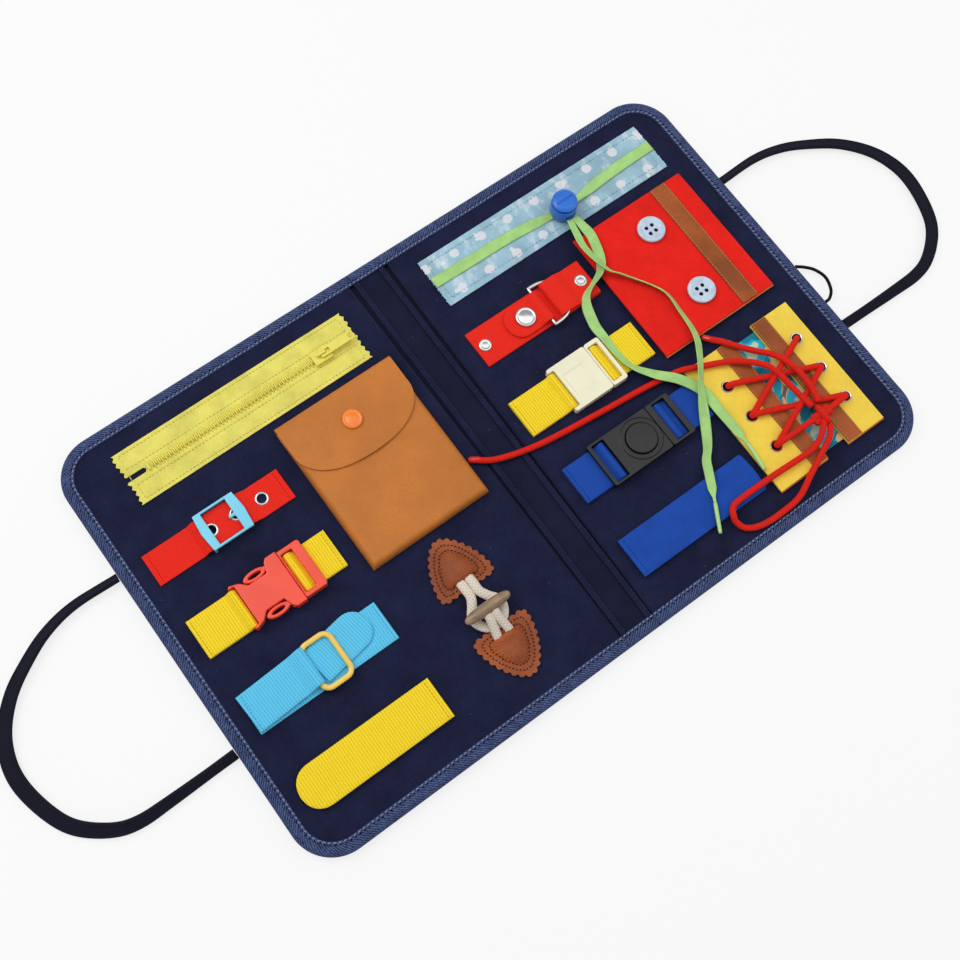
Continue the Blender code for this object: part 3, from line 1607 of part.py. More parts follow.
def cream_buckle():
    """A buckle whose plug pulls straight out to the right."""
    centre_y = top_row - row_span * cream_row_share
    start_x = half_spine + cream_strap_inset
    low_x = start_x + cream_left_strap
    mouth_x = low_x + cream_socket_length
    plug_x = mouth_x + contact_gap
    plug_end = plug_x + cream_plug_length
    sewn_right = plug_end + cream_right_strap
    low = seat + contact_gap
    high = low + cream_thickness
    half = cream_half_width
    outline = round_rectangle(low_x, mouth_x, centre_y - half, centre_y + half, cream_wall)
    socket = plate("cream_socket", [outline], low, high, cream_plastic)
    room_low, room_high = low + cream_wall, high - cream_wall
    room_half = cream_tongue_half_width + contact_gap
    room = block(
        "cream_room",
        (mouth_x - cream_tongue_length - contact_gap * 2, centre_y - room_half, room_low),
        (mouth_x + cut_overrun, centre_y + room_half, room_high),
    )
    panel_x = low_x + cream_panel_inset
    panel_half = cream_panel_width / 2
    panel = block(
        "cream_panel",
        (panel_x, centre_y - panel_half, high - cream_panel_depth),
        (panel_x + cream_panel_width, centre_y + panel_half, high + cut_overrun),
    )
    cut(socket, room, panel)
    bar_x = low_x + bar_radius + contact_gap
    strap_bar(socket, bar_x, bar_x + fold_reach + contact_gap, low_x, centre_y, webbing_width, False)
    hang(socket, "right_page_axis")
    left = folded_strap("cream_strap_left", start_x, bar_x, centre_y, webbing_width, yellow_webbing)
    hang(left, "right_page_axis")

    pivot("cream_plug_axis", (plug_x, centre_y, bar_height), "right_page_axis")
    outline = round_rectangle(plug_x, plug_end, centre_y - half, centre_y + half, cream_wall)
    plug = plate("cream_plug", [outline], low, high, cream_plastic)
    plug_bar_x = plug_x + cream_wall + contact_gap + fold_reach
    strap_bar(plug, plug_bar_x, plug_x + cream_wall, plug_end, centre_y, webbing_width, True)
    tongue = block(
        "cream_tongue",
        (mouth_x - cream_tongue_length, centre_y - cream_tongue_half_width, room_low + contact_gap),
        (plug_x + cream_wall / 2, centre_y + cream_tongue_half_width, room_high - contact_gap),
    )
    hang(join(plug, tongue), "cream_plug_axis")
    right = folded_strap("cream_strap_right", sewn_right, plug_bar_x, centre_y, webbing_width, yellow_webbing)
    hang(right, "right_page_axis")


def push_buckle():
    """A buckle with a round button in the socket, whose plug pulls out to the right."""
    centre_y = top_row - row_span * black_row_share
    start_x = half_spine + black_strap_inset
    low_x = start_x + black_left_strap
    mouth_x = low_x + black_socket_length
    plug_x = mouth_x + contact_gap
    plug_end = plug_x + black_plug_length
    sewn_right = plug_end + black_right_strap
    low = seat + contact_gap
    high = low + black_thickness
    half = black_half_width
    slot_end = low_x + black_outer_bar
    bar_x = slot_end + black_slot_slack + strap_end_clearance + fold_run
    plate_x = bar_x + fold_reach + contact_gap
    centre = (low_x + black_button_inset, centre_y)
    outline = round_rectangle(low_x, mouth_x, centre_y - half, centre_y + half, black_wall)
    socket = plate("push_socket", [outline], low, high, black_plastic)
    ring = drum("push_ring", black_ring_radius, high - black_wall / 2, high + black_ring_height, centre)
    join(socket, ring)
    room_low = low + black_wall
    tongue_low = room_low + contact_gap
    tongue_high = tongue_low + black_tongue_thickness
    room_half = black_tongue_half_width + black_fit
    room = block(
        "push_room",
        (mouth_x - black_tongue_length - contact_gap * 2, centre_y - room_half, room_low),
        (mouth_x + cut_overrun, centre_y + room_half, tongue_high + contact_gap),
    )
    button_low = tongue_high + contact_gap + black_button_travel
    flange_high = button_low + black_button_flange_height
    well = turned(
        "push_well",
        [
            (0, high + black_ring_height * 2),
            (black_button_radius + black_fit, high + black_ring_height * 2),
            (black_button_radius + black_fit, flange_high + black_fit),
            (black_button_radius + black_button_flange + black_fit, flange_high + black_fit),
            (black_button_radius + black_button_flange + black_fit, tongue_high),
            (0, tongue_high),
        ],
        centre,
    )
    cut(socket, room, well)
    strap_bar(socket, bar_x, plate_x, low_x, centre_y, webbing_width, True, black_slot_slack)
    hang(socket, "right_page_axis")
    left = folded_strap("push_strap_left", start_x, bar_x, centre_y, webbing_width, royal_webbing)
    hang(left, "right_page_axis")

    pivot("push_button_axis", (*centre, high), "right_page_axis")
    button_high = high + black_ring_height + black_button_rise
    button = turned(
        "push_button",
        [
            (0, button_high + black_button_dome),
            (black_button_radius / 2, button_high + black_button_dome / 2),
            (black_button_radius - black_fit, button_high),
            (black_button_radius, button_high - black_fit),
            (black_button_radius, flange_high),
            (black_button_radius + black_button_flange, flange_high),
            (black_button_radius + black_button_flange, button_low),
            (0, button_low),
        ],
        centre,
        black_plastic,
    )
    hang(button, "push_button_axis")

    pivot("push_plug_axis", (plug_x, centre_y, bar_height), "right_page_axis")
    outline = round_rectangle(plug_x, plug_end, centre_y - half, centre_y + half, black_wall)
    plug = plate("push_plug", [outline], low, high, black_plastic)
    plug_bar_x = plug_x + black_block + contact_gap + fold_reach
    strap_bar(
        plug, plug_bar_x, plug_x + black_block, plug_end, centre_y, webbing_width, True, black_slot_slack
    )
    tongue = block(
        "push_tongue",
        (mouth_x - black_tongue_length, centre_y - black_tongue_half_width, tongue_low),
        (plug_x + black_block / 2, centre_y + black_tongue_half_width, tongue_high),
    )
    hang(join(plug, tongue), "push_plug_axis")
    right = folded_strap("push_strap_right", sewn_right, plug_bar_x, centre_y, webbing_width, royal_webbing)
    hang(right, "right_page_axis")


def button_panel():
    """A felt base with two shank buttons, and a flap buttoned over it whose free edge lifts."""
    high_x = half_length - right_column_margin
    low_x = high_x - panel_width
    high_y = half_depth - panel_top_margin
    low_y = high_y - panel_height
    edge_x = low_x + panel_width * panel_edge_share
    base_high = seat + panel_felt
    flap_low = base_high + contact_gap
    flap_high = flap_low + panel_felt
    inset = panel_base_inset
    base = block(
        "button_base",
        (low_x + inset, low_y + inset, seat),
        (high_x - inset, high_y - inset, base_high),
        red_felt,
    )
    flap = block(
        "button_flap",
        (edge_x + contact_gap, low_y, flap_low),
        (high_x, high_y, flap_high),
        red_felt,
    )
    strip_high_x = high_x - panel_width * panel_strip_inset_share
    strip = block(
        "button_strip",
        (strip_high_x - panel_width * panel_strip_share, low_y + contact_gap, flap_high - contact_gap),
        (strip_high_x, high_y - contact_gap, flap_high + panel_strip_thickness),
    )
    join(flap, strip)
    button_x = high_x - panel_width * button_inset_share
    button_low = flap_high + contact_gap
    button_high = button_low + button_thickness
    slot_half = button_slot_width / 2
    for index in range(2):
        centre = (button_x, high_y - button_end_margin - index * button_spacing)
        shank = drum(
            f"button_shank_{index}",
            button_shank_radius,
            seat + panel_felt / 2,
            button_low + contact_gap * 2,
            centre,
            14,
        )
        button = turned(
            f"button_{index}",
            [
                (0, button_high - button_dish_depth),
                (button_dish_radius, button_high - button_dish_depth),
                (button_dish_radius + button_dish_depth, button_high),
                (button_radius - button_dish_depth, button_high),
                (button_radius, button_high - button_dish_depth),
                (button_radius, button_low + button_dish_depth),
                (button_radius - button_dish_depth, button_low),
                (0, button_low),
            ],
            centre,
        )
        join(base, shank, button)
        for corner, (across, along) in enumerate(((1, 1), (-1, 1), (-1, -1), (1, -1))):
            place = (centre[0] + across * button_hole_offset, centre[1] + along * button_hole_offset)
            hole = drum(
                f"button_hole_{index}_{corner}",
                button_hole_radius,
                button_high - button_thickness / 2,
                button_high + cut_overrun,
                place,
                10,
            )
            cut(base, hole)
        slot = block(
            f"button_slot_{index}",
            (centre[0] - button_slot_length / 2, centre[1] - slot_half, seat),
            (centre[0] + button_slot_length / 2, centre[1] + slot_half, button_low),
        )
        cut(flap, slot)
    hang(base, "right_page_axis")
    hang(flap, "right_page_axis")
    pivot("button_flap_edge_axis", (edge_x, (low_y + high_y) / 2, flap_high), "right_page_axis")
    edge = block("button_flap_edge", (low_x, low_y, flap_low), (edge_x, high_y, flap_high), red_felt)
    hang(edge, "button_flap_edge_axis")


def ellipsoid(name, centre, half_sizes, finish):
    bpy.ops.mesh.primitive_uv_sphere_add(segments=20, ring_count=10, radius=1)
    made = bpy.context.object
    made.name = name
    made.data.transform(made.matrix_world.Diagonal((*half_sizes, 1)))
    made.location = centre
    return keep(made, finish)


def lace_panel():
    """Two felt flaps over an insert, drawn together by a round lace that ends in a bow."""
    high_x = half_length - lace_panel_outer_margin
    low_x = high_x - lace_panel_width
    low_y = -half_depth + panel_bottom_margin
    high_y = low_y + lace_panel_height
    insert_high = seat + lace_insert_thickness
    flap_low = insert_high + contact_gap
    flap_high = flap_low + lace_flap_thickness
    trim_high = flap_high + lace_trim_thickness
    left_edge = low_x + lace_panel_width * lace_flap_left_share
    right_edge = high_x - lace_panel_width * lace_flap_right_share
    trim_width = lace_panel_width * lace_trim_share
    insert_half = lace_panel_width * lace_insert_share / 2
    insert_x = (left_edge + right_edge) / 2
    insert = block(
        "lace_insert",
        (insert_x - insert_half, low_y + panel_base_inset, seat),
        (insert_x + insert_half, high_y - panel_base_inset, insert_high),
        insert_fabric,
    )
    hang(insert, "right_page_axis")
    top_eyelet = high_y - lace_eyelet_top_margin
    rows = [top_eyelet - index * lace_eyelet_spacing for index in range(lace_eyelet_count)]
    left_column = low_x + lace_panel_width * lace_eyelet_left_share
    right_column = high_x - lace_panel_width * lace_eyelet_right_share
    columns = (left_column, right_column)
    sides = (
        ("left", low_x, left_edge, left_edge - trim_width, left_edge, low_x),
        ("right", right_edge, high_x, right_edge, right_edge + trim_width, high_x),
    )
    for (label, from_x, to_x, trim_from, trim_to, hinge_x), eyelet_x in zip(sides, columns):
        flap = block(f"lace_flap_{label}", (from_x, low_y, flap_low), (to_x, high_y, flap_high), yellow_felt)
        trim = block(
            f"lace_trim_{label}",
            (trim_from + contact_gap, low_y + contact_gap, flap_high - contact_gap),
            (trim_to - contact_gap, high_y - contact_gap, trim_high),
        )
        join(flap, trim)
        for index, row in enumerate(rows):
            rim = drum(
                f"lace_rim_{label}_{index}",
                eyelet_outer_radius,
                flap_low - eyelet_rim,
                flap_high + eyelet_rim,
                (eyelet_x, row),
            )
            hole = drum(
                f"lace_hole_{label}_{index}",
                eyelet_hole_radius,
                0,
                board_height * 3,
                (eyelet_x, row),
            )
            join(flap, rim)
            cut(flap, hole)
        pivot(f"lace_flap_{label}_axis", (hinge_x, (low_y + high_y) / 2, flap_low), "right_page_axis")
        hang(flap, f"lace_flap_{label}_axis")

    lace = lace_diameter / 2
    level = trim_high + contact_gap + lace
    drop_low = flap_low + contact_gap
    knot = (low_x + lace_panel_width * knot_inset_share, rows[-1] - knot_drop, level + knot_rise)
    lacing = ellipsoid("lacing", knot, (knot_half_length, knot_half_width, knot_half_height), lace_red)
    strands = []
    for index in range(lace_eyelet_count - 1):
        for start, end in ((0, 1), (1, 0)):
            height = level + contact_gap * start
            near = (columns[start], rows[index], height)
            far = (columns[end], rows[index + 1], height)
            strands.append(tube(f"lace_cross_{index}_{start}", [near, far], lace_diameter, spacing=100))
    for start in range(2):
        near = (columns[start], rows[-1], level + contact_gap * 2)
        strands.append(tube(f"lace_draw_{start}", [near, knot], lace_diameter, spacing=100))
    drops = []
    for start in range(2):
        for index, row in enumerate(rows):
            drop = drum(
                f"lace_drop_{start}_{index}",
                lace_drop_radius,
                drop_low,
                level + lace / 2,
                (columns[start], row),
                18,
            )
            drops.append(drop)
    hang(join(lacing, *strands, *drops), "right_page_axis")
    hang(tube("lace_loop", lace_loop_route, lace_diameter, lace_red), "right_page_axis")
    hang(tube("lace_tail_long", lace_long_route, lace_diameter, lace_red), "right_page_axis")
    hang(tube("lace_tail_short", lace_short_route, lace_diameter, lace_red), "right_page_axis")


def build():
    pivot("left_page_axis", (-half_spine, 0, board_height))
    pivot("right_page_axis", (half_spine, 0, board_height))
    spine()
    half_page(-1, "left")
    half_page(1, "right")
    handle(-1, "left")
    handle(1, "right")
    hang(tube("elastic_loop", elastic_route, elastic_diameter, black_elastic), "right_page_axis")
    zipper()
    belt()
    clip()
    ring_strap()
    pouch()
    toggle()
    drawstring()
    snap_strap()
    cream_buckle()
    push_buckle()
    button_panel()
    lace_panel()
    free_x = -half_length + left_column_margin - hook_free_overhang
    hook_strap("yellow", free_x + hook_strap_length, free_x, hook_row, yellow_webbing, "left", True)
    sewn_x = half_spine + inner_margin_right
    hook_strap("blue", sewn_x, sewn_x + hook_strap_length, hook_row, royal_webbing, "right", False)


build()
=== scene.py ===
"""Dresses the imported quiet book: felt pages with a zip, straps, buckles, pouch, toggle, buttons and laces."""

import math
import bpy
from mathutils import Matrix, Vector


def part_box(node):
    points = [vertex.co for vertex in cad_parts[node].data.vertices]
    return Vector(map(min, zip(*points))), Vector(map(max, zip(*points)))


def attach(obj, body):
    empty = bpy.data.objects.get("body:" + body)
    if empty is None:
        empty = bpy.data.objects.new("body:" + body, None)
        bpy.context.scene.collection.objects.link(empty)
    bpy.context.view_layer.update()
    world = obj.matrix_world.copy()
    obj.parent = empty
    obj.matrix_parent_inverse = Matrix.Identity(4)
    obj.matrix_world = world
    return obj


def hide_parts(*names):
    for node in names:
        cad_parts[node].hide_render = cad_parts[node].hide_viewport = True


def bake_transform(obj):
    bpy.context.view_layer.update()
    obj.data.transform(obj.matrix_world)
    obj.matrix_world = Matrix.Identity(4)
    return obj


bl_info = {
    "name": "Felt Quiet Book",
    "version": (1, 0, 0),
    "blender": (4, 5, 0),
    "location": "View3D > Sidebar > Quiet Book",
    "description": "Dresses the packed quiet book with felt, webbing, leather, moulded plastic and laces",
    "category": "Object",
}

import bmesh
import bpy
import numpy as np
from bpy.props import FloatProperty, FloatVectorProperty, PointerProperty
from mathutils import Vector

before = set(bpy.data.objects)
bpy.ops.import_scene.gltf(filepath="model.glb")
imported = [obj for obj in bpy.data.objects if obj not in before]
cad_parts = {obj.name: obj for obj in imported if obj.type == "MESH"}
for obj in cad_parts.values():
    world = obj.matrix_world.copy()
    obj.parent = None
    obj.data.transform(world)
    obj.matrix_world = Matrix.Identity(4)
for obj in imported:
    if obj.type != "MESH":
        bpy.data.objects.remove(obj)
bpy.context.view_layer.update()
MM = 0.001


def srgb(red, green, blue):
    """Linear colour of a screen colour given as 0 to 255."""
    parts = np.array([red, green, blue], float) / 255
    return tuple(np.where(parts <= 0.04045, parts / 12.92, ((parts + 0.055) / 1.055) ** 2.4))


def shade(colour, factor):
    """A lighter or darker version of a colour."""
    return tuple(min(1.0, part * factor) for part in colour)


def box(node):
    """Lowest and highest corner of a CAD node as arrays."""
    low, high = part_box(node)
    return np.array(low), np.array(high)


# Materials


class Value:
    """A node's output. Arithmetic on it adds Math nodes, so 1 - mask works."""

    def __init__(self, finish, socket):
        self.finish = finish
        self.socket = socket

    def math(self, operation, *others, clamp=False):
        settings = {"operation": operation, "use_clamp": clamp}
        return self.finish.node("ShaderNodeMath", settings, dict(enumerate((self, *others))))

    def __add__(self, other):
        return self.math("ADD", other)

    def __radd__(self, other):
        return self.math("ADD", other)

    def __sub__(self, other):
        return self.math("SUBTRACT", other)

    def __rsub__(self, other):
        return self.finish.node("ShaderNodeMath", {"operation": "SUBTRACT"}, {0: other, 1: self})

    def __mul__(self, other):
        return self.math("MULTIPLY", other)

    def __rmul__(self, other):
        return self.math("MULTIPLY", other)

    def __truediv__(self, other):
        return self.math("DIVIDE", other)

    def __pow__(self, power):
        return self.math("POWER", power)

    def sine(self):
        return self.math("SINE")

    def size(self):
        return self.math("ABSOLUTE")

    def whole(self):
        return self.math("FLOOR")

    def ramp(self, low, high):
        """0 below low, 1 above high, smooth between."""
        settings = {"interpolation_type": "SMOOTHSTEP"}
        return self.finish.node("ShaderNodeMapRange", settings, {0: self, 1: low, 2: high, 3: 0.0, 4: 1.0})


class Finish:
    """A procedural material. Plain numbers go on the shader's own sockets."""

    def __init__(self, name, roughness=0.6, metallic=0.0, coat=0.0, sheen=0.0, specular=0.5):
        self.material = bpy.data.materials.new(name)
        self.material.use_nodes = True
        self.tree = self.material.node_tree
        self.shader = self.tree.nodes["Principled BSDF"]
        numbers = {
            "Roughness": roughness,
            "Metallic": metallic,
            "Coat Weight": coat,
            "Coat Roughness": 0.2,
            "Sheen Weight": sheen,
            "Sheen Roughness": 0.5,
            "Specular IOR Level": specular,
        }
        for key, number in numbers.items():
            self.shader.inputs[key].default_value = number

    def node(self, kind, settings=None, inputs=None, output=0):
        made = self.tree.nodes.new(kind)
        for key, value in (settings or {}).items():
            setattr(made, key, value)
        for key, value in (inputs or {}).items():
            if isinstance(value, Value):
                self.tree.links.new(value.socket, made.inputs[key])
            else:
                made.inputs[key].default_value = value
        return Value(self, made.outputs[output])

    def place(self):
        """Object coordinates, in metres."""
        return self.node("ShaderNodeTexCoord", output="Object")

    def axes(self, vector):
        """The three parts of a vector."""
        split = self.node("ShaderNodeSeparateXYZ", {}, {0: vector})
        outputs = split.socket.node.outputs
        return [Value(self, outputs[index]) for index in range(3)]

    def surface(self):
        """Along and across a piece, in metres, from its own UV map."""
        return self.axes(self.node("ShaderNodeTexCoord", output="UV"))[:2]

    def noise(self, scale, detail=2.0, roughness=0.5, stretch=None):
        vector = self.place()
        if stretch:
            vector = self.node("ShaderNodeMapping", {}, {"Vector": vector, "Scale": stretch})
        inputs = {"Vector": vector, "Scale": scale, "Detail": detail, "Roughness": roughness}
        return self.node("ShaderNodeTexNoise", {}, inputs)

    def cells(self, scale, feature="F1"):
        inputs = {"Vector": self.place(), "Scale": scale}
        return self.node("ShaderNodeTexVoronoi", {"feature": feature}, inputs, "Distance")

    def mix(self, first, second, factor):
        colours = {}
        for key, colour in ((6, first), (7, second)):
            colours[key] = colour if isinstance(colour, Value) else (*colour, 1.0)
        return self.node("ShaderNodeMix", {"data_type": "RGBA"}, {0: factor, **colours}, 2)

    def bump(self, height, distance, strength):
        return self.node("ShaderNodeBump", {}, {"Strength": strength, "Distance": distance, "Height": height})

    def done(self, colour, roughness=None, normal=None):
        fed = {"Base Color": colour, "Roughness": roughness, "Normal": normal}
        for key, value in fed.items():
            if isinstance(value, Value):
                self.tree.links.new(value.socket, self.shader.inputs[key])
            elif value is not None:
                self.shader.inputs[key].default_value = (*value, 1.0) if key == "Base Color" else value
        return self.material


made_finishes = {}


def once(maker):
    """Keeps one material for each name."""

    def kept(name, *rest, **more):
        if name not in made_finishes:
            made_finishes[name] = maker(name, *rest, **more)
        return made_finishes[name]

    return kept


@once
def felt(name, colour, lint=(0.22, 0.24, 0.34), lint_share=0.0, contrast=0.25):
    """Pressed felt: fine fibres, a soft mottle and a few pale specks of lint."""
    f = Finish(name, roughness=0.95, sheen=0.03, specular=0.08)
    mottle = f.noise(60, 4, 0.6)
    fibre = f.noise(1600, 3, 0.7)
    long_fibre = f.noise(900, 2, 0.6, stretch=(1.0, 0.35, 1.0))
    dark, light = shade(colour, 1 - contrast), shade(colour, 1 + contrast)
    base = f.mix(dark, light, (mottle * 0.45 + fibre * 0.35 + long_fibre * 0.2).ramp(0.3, 0.7))
    if lint_share:
        speck = 1 - f.cells(260).ramp(0.03, 0.12)
        rare = f.noise(140, 1).ramp(0.62, 0.7)
        base = f.mix(base, lint, speck * rare * lint_share)
    height = fibre * 0.6 + long_fibre * 0.4
    return f.done(base, normal=f.bump(height, 0.00035, 0.7))


@once
def webbing(name, colour, rib=0.00155, cell=0.0015, depth=0.5, dots=0.85):
    """Woven tape: rounded ribs across it, and small pits between them that step sideways on each row. The valleys and
    pits are painted darker, as painted shade, over random wear and patches of tone.
    """
    f = Finish(name, roughness=0.7, sheen=0.03, specular=0.15)
    along, across = f.surface()
    row = along / rib
    knuckle = (across / cell + row.whole() * 0.5) * math.pi
    valley = (1 - (row * math.pi).sine().size()) ** 1.5
    pit = 1 - knuckle.sine().size()
    dark = valley * (pit * dots + (1 - dots))
    wear = f.noise(260, 3, 0.6)
    patch = f.noise(40, 2, 0.5)
    # painted shade: the valleys and pits darken the colour, mixed with random wear and patches of tone
    share = (dark * 1.3 + (wear - 0.5) * 0.3 + (patch - 0.5) * 0.2).ramp(0.0, 1.1)
    base = f.mix(shade(colour, 1.05), shade(colour, depth), share)
    return f.done(base, normal=f.bump(1 - dark, 0.00035, 0.7))


@once
def fine_tape(name, colour, pitch=0.0007):
    """Smooth woven tape with barely seen ribs, whose grooves are painted darker, as painted shade, over a random
    mottle.
    """
    f = Finish(name, roughness=0.75, sheen=0.03, specular=0.15)
    along, across = f.surface()
    ridge = (along * (math.pi / pitch)).sine().size() * 0.6 + (across * (math.pi / pitch)).sine().size() * 0.4
    mottle = f.noise(90, 3, 0.6)
    # painted shade between the ribs, mixed with a random mottle
    base = f.mix(shade(colour, 0.72), shade(colour, 1.15), (ridge * 0.4 + mottle * 0.6).ramp(0.25, 0.75))
    return f.done(base, normal=f.bump(ridge, 0.00015, 0.6))


@once
def twill(name, colour, pale, pitch=0.0019):
    """Binding tape: fine slanting ridges whose crowns are painted paler, as painted highlight, nearly lost in the
    uneven fading of its dye.
    """
    f = Finish(name, roughness=0.8, sheen=0.03, specular=0.12)
    along, across = f.surface()
    waver = f.noise(700, 2, 0.6)
    ridge = ((along + across * 1.1) * (2 * math.pi / pitch) + waver * 9).sine() * 0.5 + 0.5
    fleck = f.noise(1100, 3, 0.7)
    patch = f.noise(150, 4, 0.65)
    # painted highlight on the ridges' crowns, mixed with flecks and patches of faded dye
    crown = (ridge * 0.42 + fleck * 0.36 + patch * 0.5).ramp(0.42, 0.95)
    return f.done(f.mix(colour, pale, crown), normal=f.bump(ridge * 0.6 + fleck * 0.6, 0.0003, 0.7))


@once
def plastic(name, colour, roughness=0.32, coat=0.15, texture=0.15):
    """Moulded plastic: an even colour with faint flow marks and a spark-eroded grain."""
    f = Finish(name, roughness=roughness, coat=coat)
    flow = f.noise(40, 2, 0.5)
    grain = f.noise(2600, 2, 0.5)
    base = f.mix(shade(colour, 0.93), shade(colour, 1.05), flow.ramp(0.3, 0.7))
    gloss = (grain * 0.1 + flow * 0.08) + (roughness - 0.09)
    return f.done(base, gloss, f.bump(grain, 0.00006, texture))


@once
def metal(name, colour=(0.72, 0.71, 0.69), roughness=0.2):
    """Plated metal with small handling marks."""
    f = Finish(name, roughness=roughness, metallic=1.0)
    marks = f.noise(700, 3, 0.6, stretch=(1.0, 5.0, 1.0))
    base = f.mix(shade(colour, 0.8), shade(colour, 1.1), marks)
    return f.done(base, marks * 0.16 + (roughness - 0.08), f.bump(marks, 0.00003, 0.3))


@once
def leather(name, colour, grain=0.0009, depth=0.5, mottle=0.18, roughness=0.42):
    """Imitation leather: small pebbled grain, painted darker in its creases as painted shade, with a soft change of
    tone.
    """
    f = Finish(name, roughness=roughness, specular=0.3)
    pebble = f.cells(1 / grain, "F1")
    crease = f.cells(1 / grain, "DISTANCE_TO_EDGE")
    tone = f.noise(35, 3, 0.55)
    dark = shade(colour, 1 - mottle)
    base = f.mix(dark, shade(colour, 1 + mottle * 0.6), tone.ramp(0.3, 0.7))
    # painted shade in the creases of the grain
    base = f.mix(shade(colour, 0.62), base, crease.ramp(0.0, 0.16) * 0.5 + 0.5)
    height = crease.ramp(0.0, 0.35) - pebble * 0.3
    return f.done(base, (1 - crease.ramp(0.0, 0.2)) * 0.2 + roughness, f.bump(height, 0.00012, depth))


@once
def braid(name, colour, turn=0.0042, diameter=0.004, dark=0.4):
    """Braided cord: two sets of plaits that cross over each other round the cord, painted darker between the plaits
    as painted shade.
    """
    f = Finish(name, roughness=0.7, sheen=0.03, specular=0.15)
    along, across = f.surface()
    lap = across * (2 * math.pi * 6 / (math.pi * diameter))
    first = (along * (2 * math.pi / turn) * 3 + lap).sine() * 0.5 + 0.5
    second = (along * (2 * math.pi / turn) * 3 - lap).sine() * 0.5 + 0.5
    plait = first.math("MAXIMUM", second)
    fuzz = f.noise(1200, 2, 0.6)
    # painted shade between the plaits, with random fuzz
    base = f.mix(shade(colour, dark), shade(colour, 1.05), (plait + (fuzz - 0.5) * 0.5).ramp(0.25, 0.9))
    return f.done(base, normal=f.bump(plait + fuzz * 0.3, 0.00025, 0.7))


@once
def satin_ribbon(name, colour, pitch=0.0006):
    """Flat ribbon: fine cords along it and soft patches of tone."""
    f = Finish(name, roughness=0.55, sheen=0.05, specular=0.25)
    along, across = f.surface()
    cord = (across * (2 * math.pi / pitch)).sine() * 0.5 + 0.5
    weft = (along * (2 * math.pi / (pitch * 0.8))).sine() * 0.5 + 0.5
    tone = f.noise(120, 2, 0.5)
    # painted shade in the grooves between the cords and weft, mixed with random patches of tone
    base = f.mix(shade(colour, 0.7), shade(colour, 1.12), (cord * 0.25 + weft * 0.2 + tone * 0.55).ramp(0.2, 0.8))
    return f.done(base, normal=f.bump(cord + weft * 0.6, 0.0001, 0.5))


@once
def thread(name, colour):
    """Twisted sewing thread."""
    f = Finish(name, roughness=0.7, specular=0.15)
    twist = f.noise(2500, 2, 0.6, stretch=(1.0, 1.6, 1.0))
    base = f.mix(shade(colour, 0.65), shade(colour, 1.15), twist)
    return f.done(base, normal=f.bump(twist, 0.00008, 0.5))


# Shapes


def grid_faces(rows, columns, wrap_rows=False, wrap_columns=False):
    """The four-sided faces of a grid of points, and the grid corners that their UVs are read from."""
    i, j = np.meshgrid(
        np.arange(rows if wrap_rows else rows - 1),
        np.arange(columns if wrap_columns else columns - 1),
        indexing="ij",
    )
    i, j = i.ravel(), j.ravel()
    corner_i = np.stack([i, i + 1, i + 1, i], 1)
    corner_j = np.stack([j, j, j + 1, j + 1], 1)
    return corner_i % rows * columns + corner_j % columns, corner_i, corner_j


def end_caps(rows, columns):
    """The two ends of a tube of points, wound with the faces of its grid."""
    first = np.arange(columns)
    return np.array([first, first[::-1] + (rows - 1) * columns])


def pole_fan(rows, columns):
    """The triangles between a grid's last row and the one point after it, wound with the faces of the grid."""
    first = np.arange(columns)
    last = (rows - 1) * columns
    return np.stack([last + first, np.full(columns, rows * columns), last + (first + 1) % columns], 1)


def volume_of(points, faces):
    """Signed volume inside the faces, from the triangles that fan out from each face's first corner."""
    total = 0.0
    for block in faces:
        for step in range(1, block.shape[1] - 1):
            a, b, c = points[block[:, 0]], points[block[:, step]], points[block[:, step + 1]]
            total += float((a * np.cross(b, c)).sum()) / 6
    return total


def upward_of(points, faces):
    """How much of the surface faces up, less what faces down."""
    total = 0.0
    for block in faces:
        a, b, c = points[block[:, 0]], points[block[:, 1]], points[block[:, 2]]
        total += float(np.cross(b - a, c - a)[:, 2].sum())
    return total


def mesh_of(name, points, faces, uvs=None, closed=True, smooth=True):
    """A mesh from whole arrays of points, faces and face-corner UVs, turned to face outwards."""
    points = np.asarray(points, float).reshape(-1, 3)
    middle = points.mean(0)
    sense = volume_of(points - middle, faces) if closed else upward_of(points, faces)
    if sense < 0:
        faces = [block[:, ::-1] for block in faces]
        uvs = [block[:, ::-1] for block in uvs] if uvs else None
    mesh = bpy.data.meshes.new(name)
    corners = np.concatenate([block.ravel() for block in faces])
    sizes = np.concatenate([np.full(len(block), block.shape[1]) for block in faces])
    mesh.vertices.add(len(points))
    mesh.vertices.foreach_set("co", points.astype(np.float32).ravel())
    mesh.loops.add(len(corners))
    mesh.loops.foreach_set("vertex_index", corners.astype(np.int32))
    mesh.polygons.add(len(sizes))
    mesh.polygons.foreach_set("loop_start", np.concatenate([[0], np.cumsum(sizes)[:-1]]).astype(np.int32))
    mesh.polygons.foreach_set("use_smooth", np.full(len(sizes), smooth))
    if uvs:
        layer = mesh.uv_layers.new(name="UVMap")
        values = np.concatenate([np.asarray(block, np.float32).reshape(-1, 2) for block in uvs])
        layer.uv.foreach_set("vector", values.ravel())
    mesh.update(calc_edges=True)
    mesh.validate()
    return mesh


def piece(mesh, body, finish, nodes=(), slot=None, crease=None):
    """Puts a mesh in the scene as a piece on a body, with its finish.

    It may take the place of one CAD node, given by its name, or of several."""
    made = bpy.data.objects.new(mesh.name, mesh)
    bpy.context.scene.collection.objects.link(made)
    mesh.materials.clear()
    mesh.materials.append(finish)
    if crease is not None:
        mesh.set_sharp_from_angle(angle=math.radians(crease))
    if nodes:
        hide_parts(*([nodes] if isinstance(nodes, str) else nodes))
    if body:
        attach(made, body)
    return made


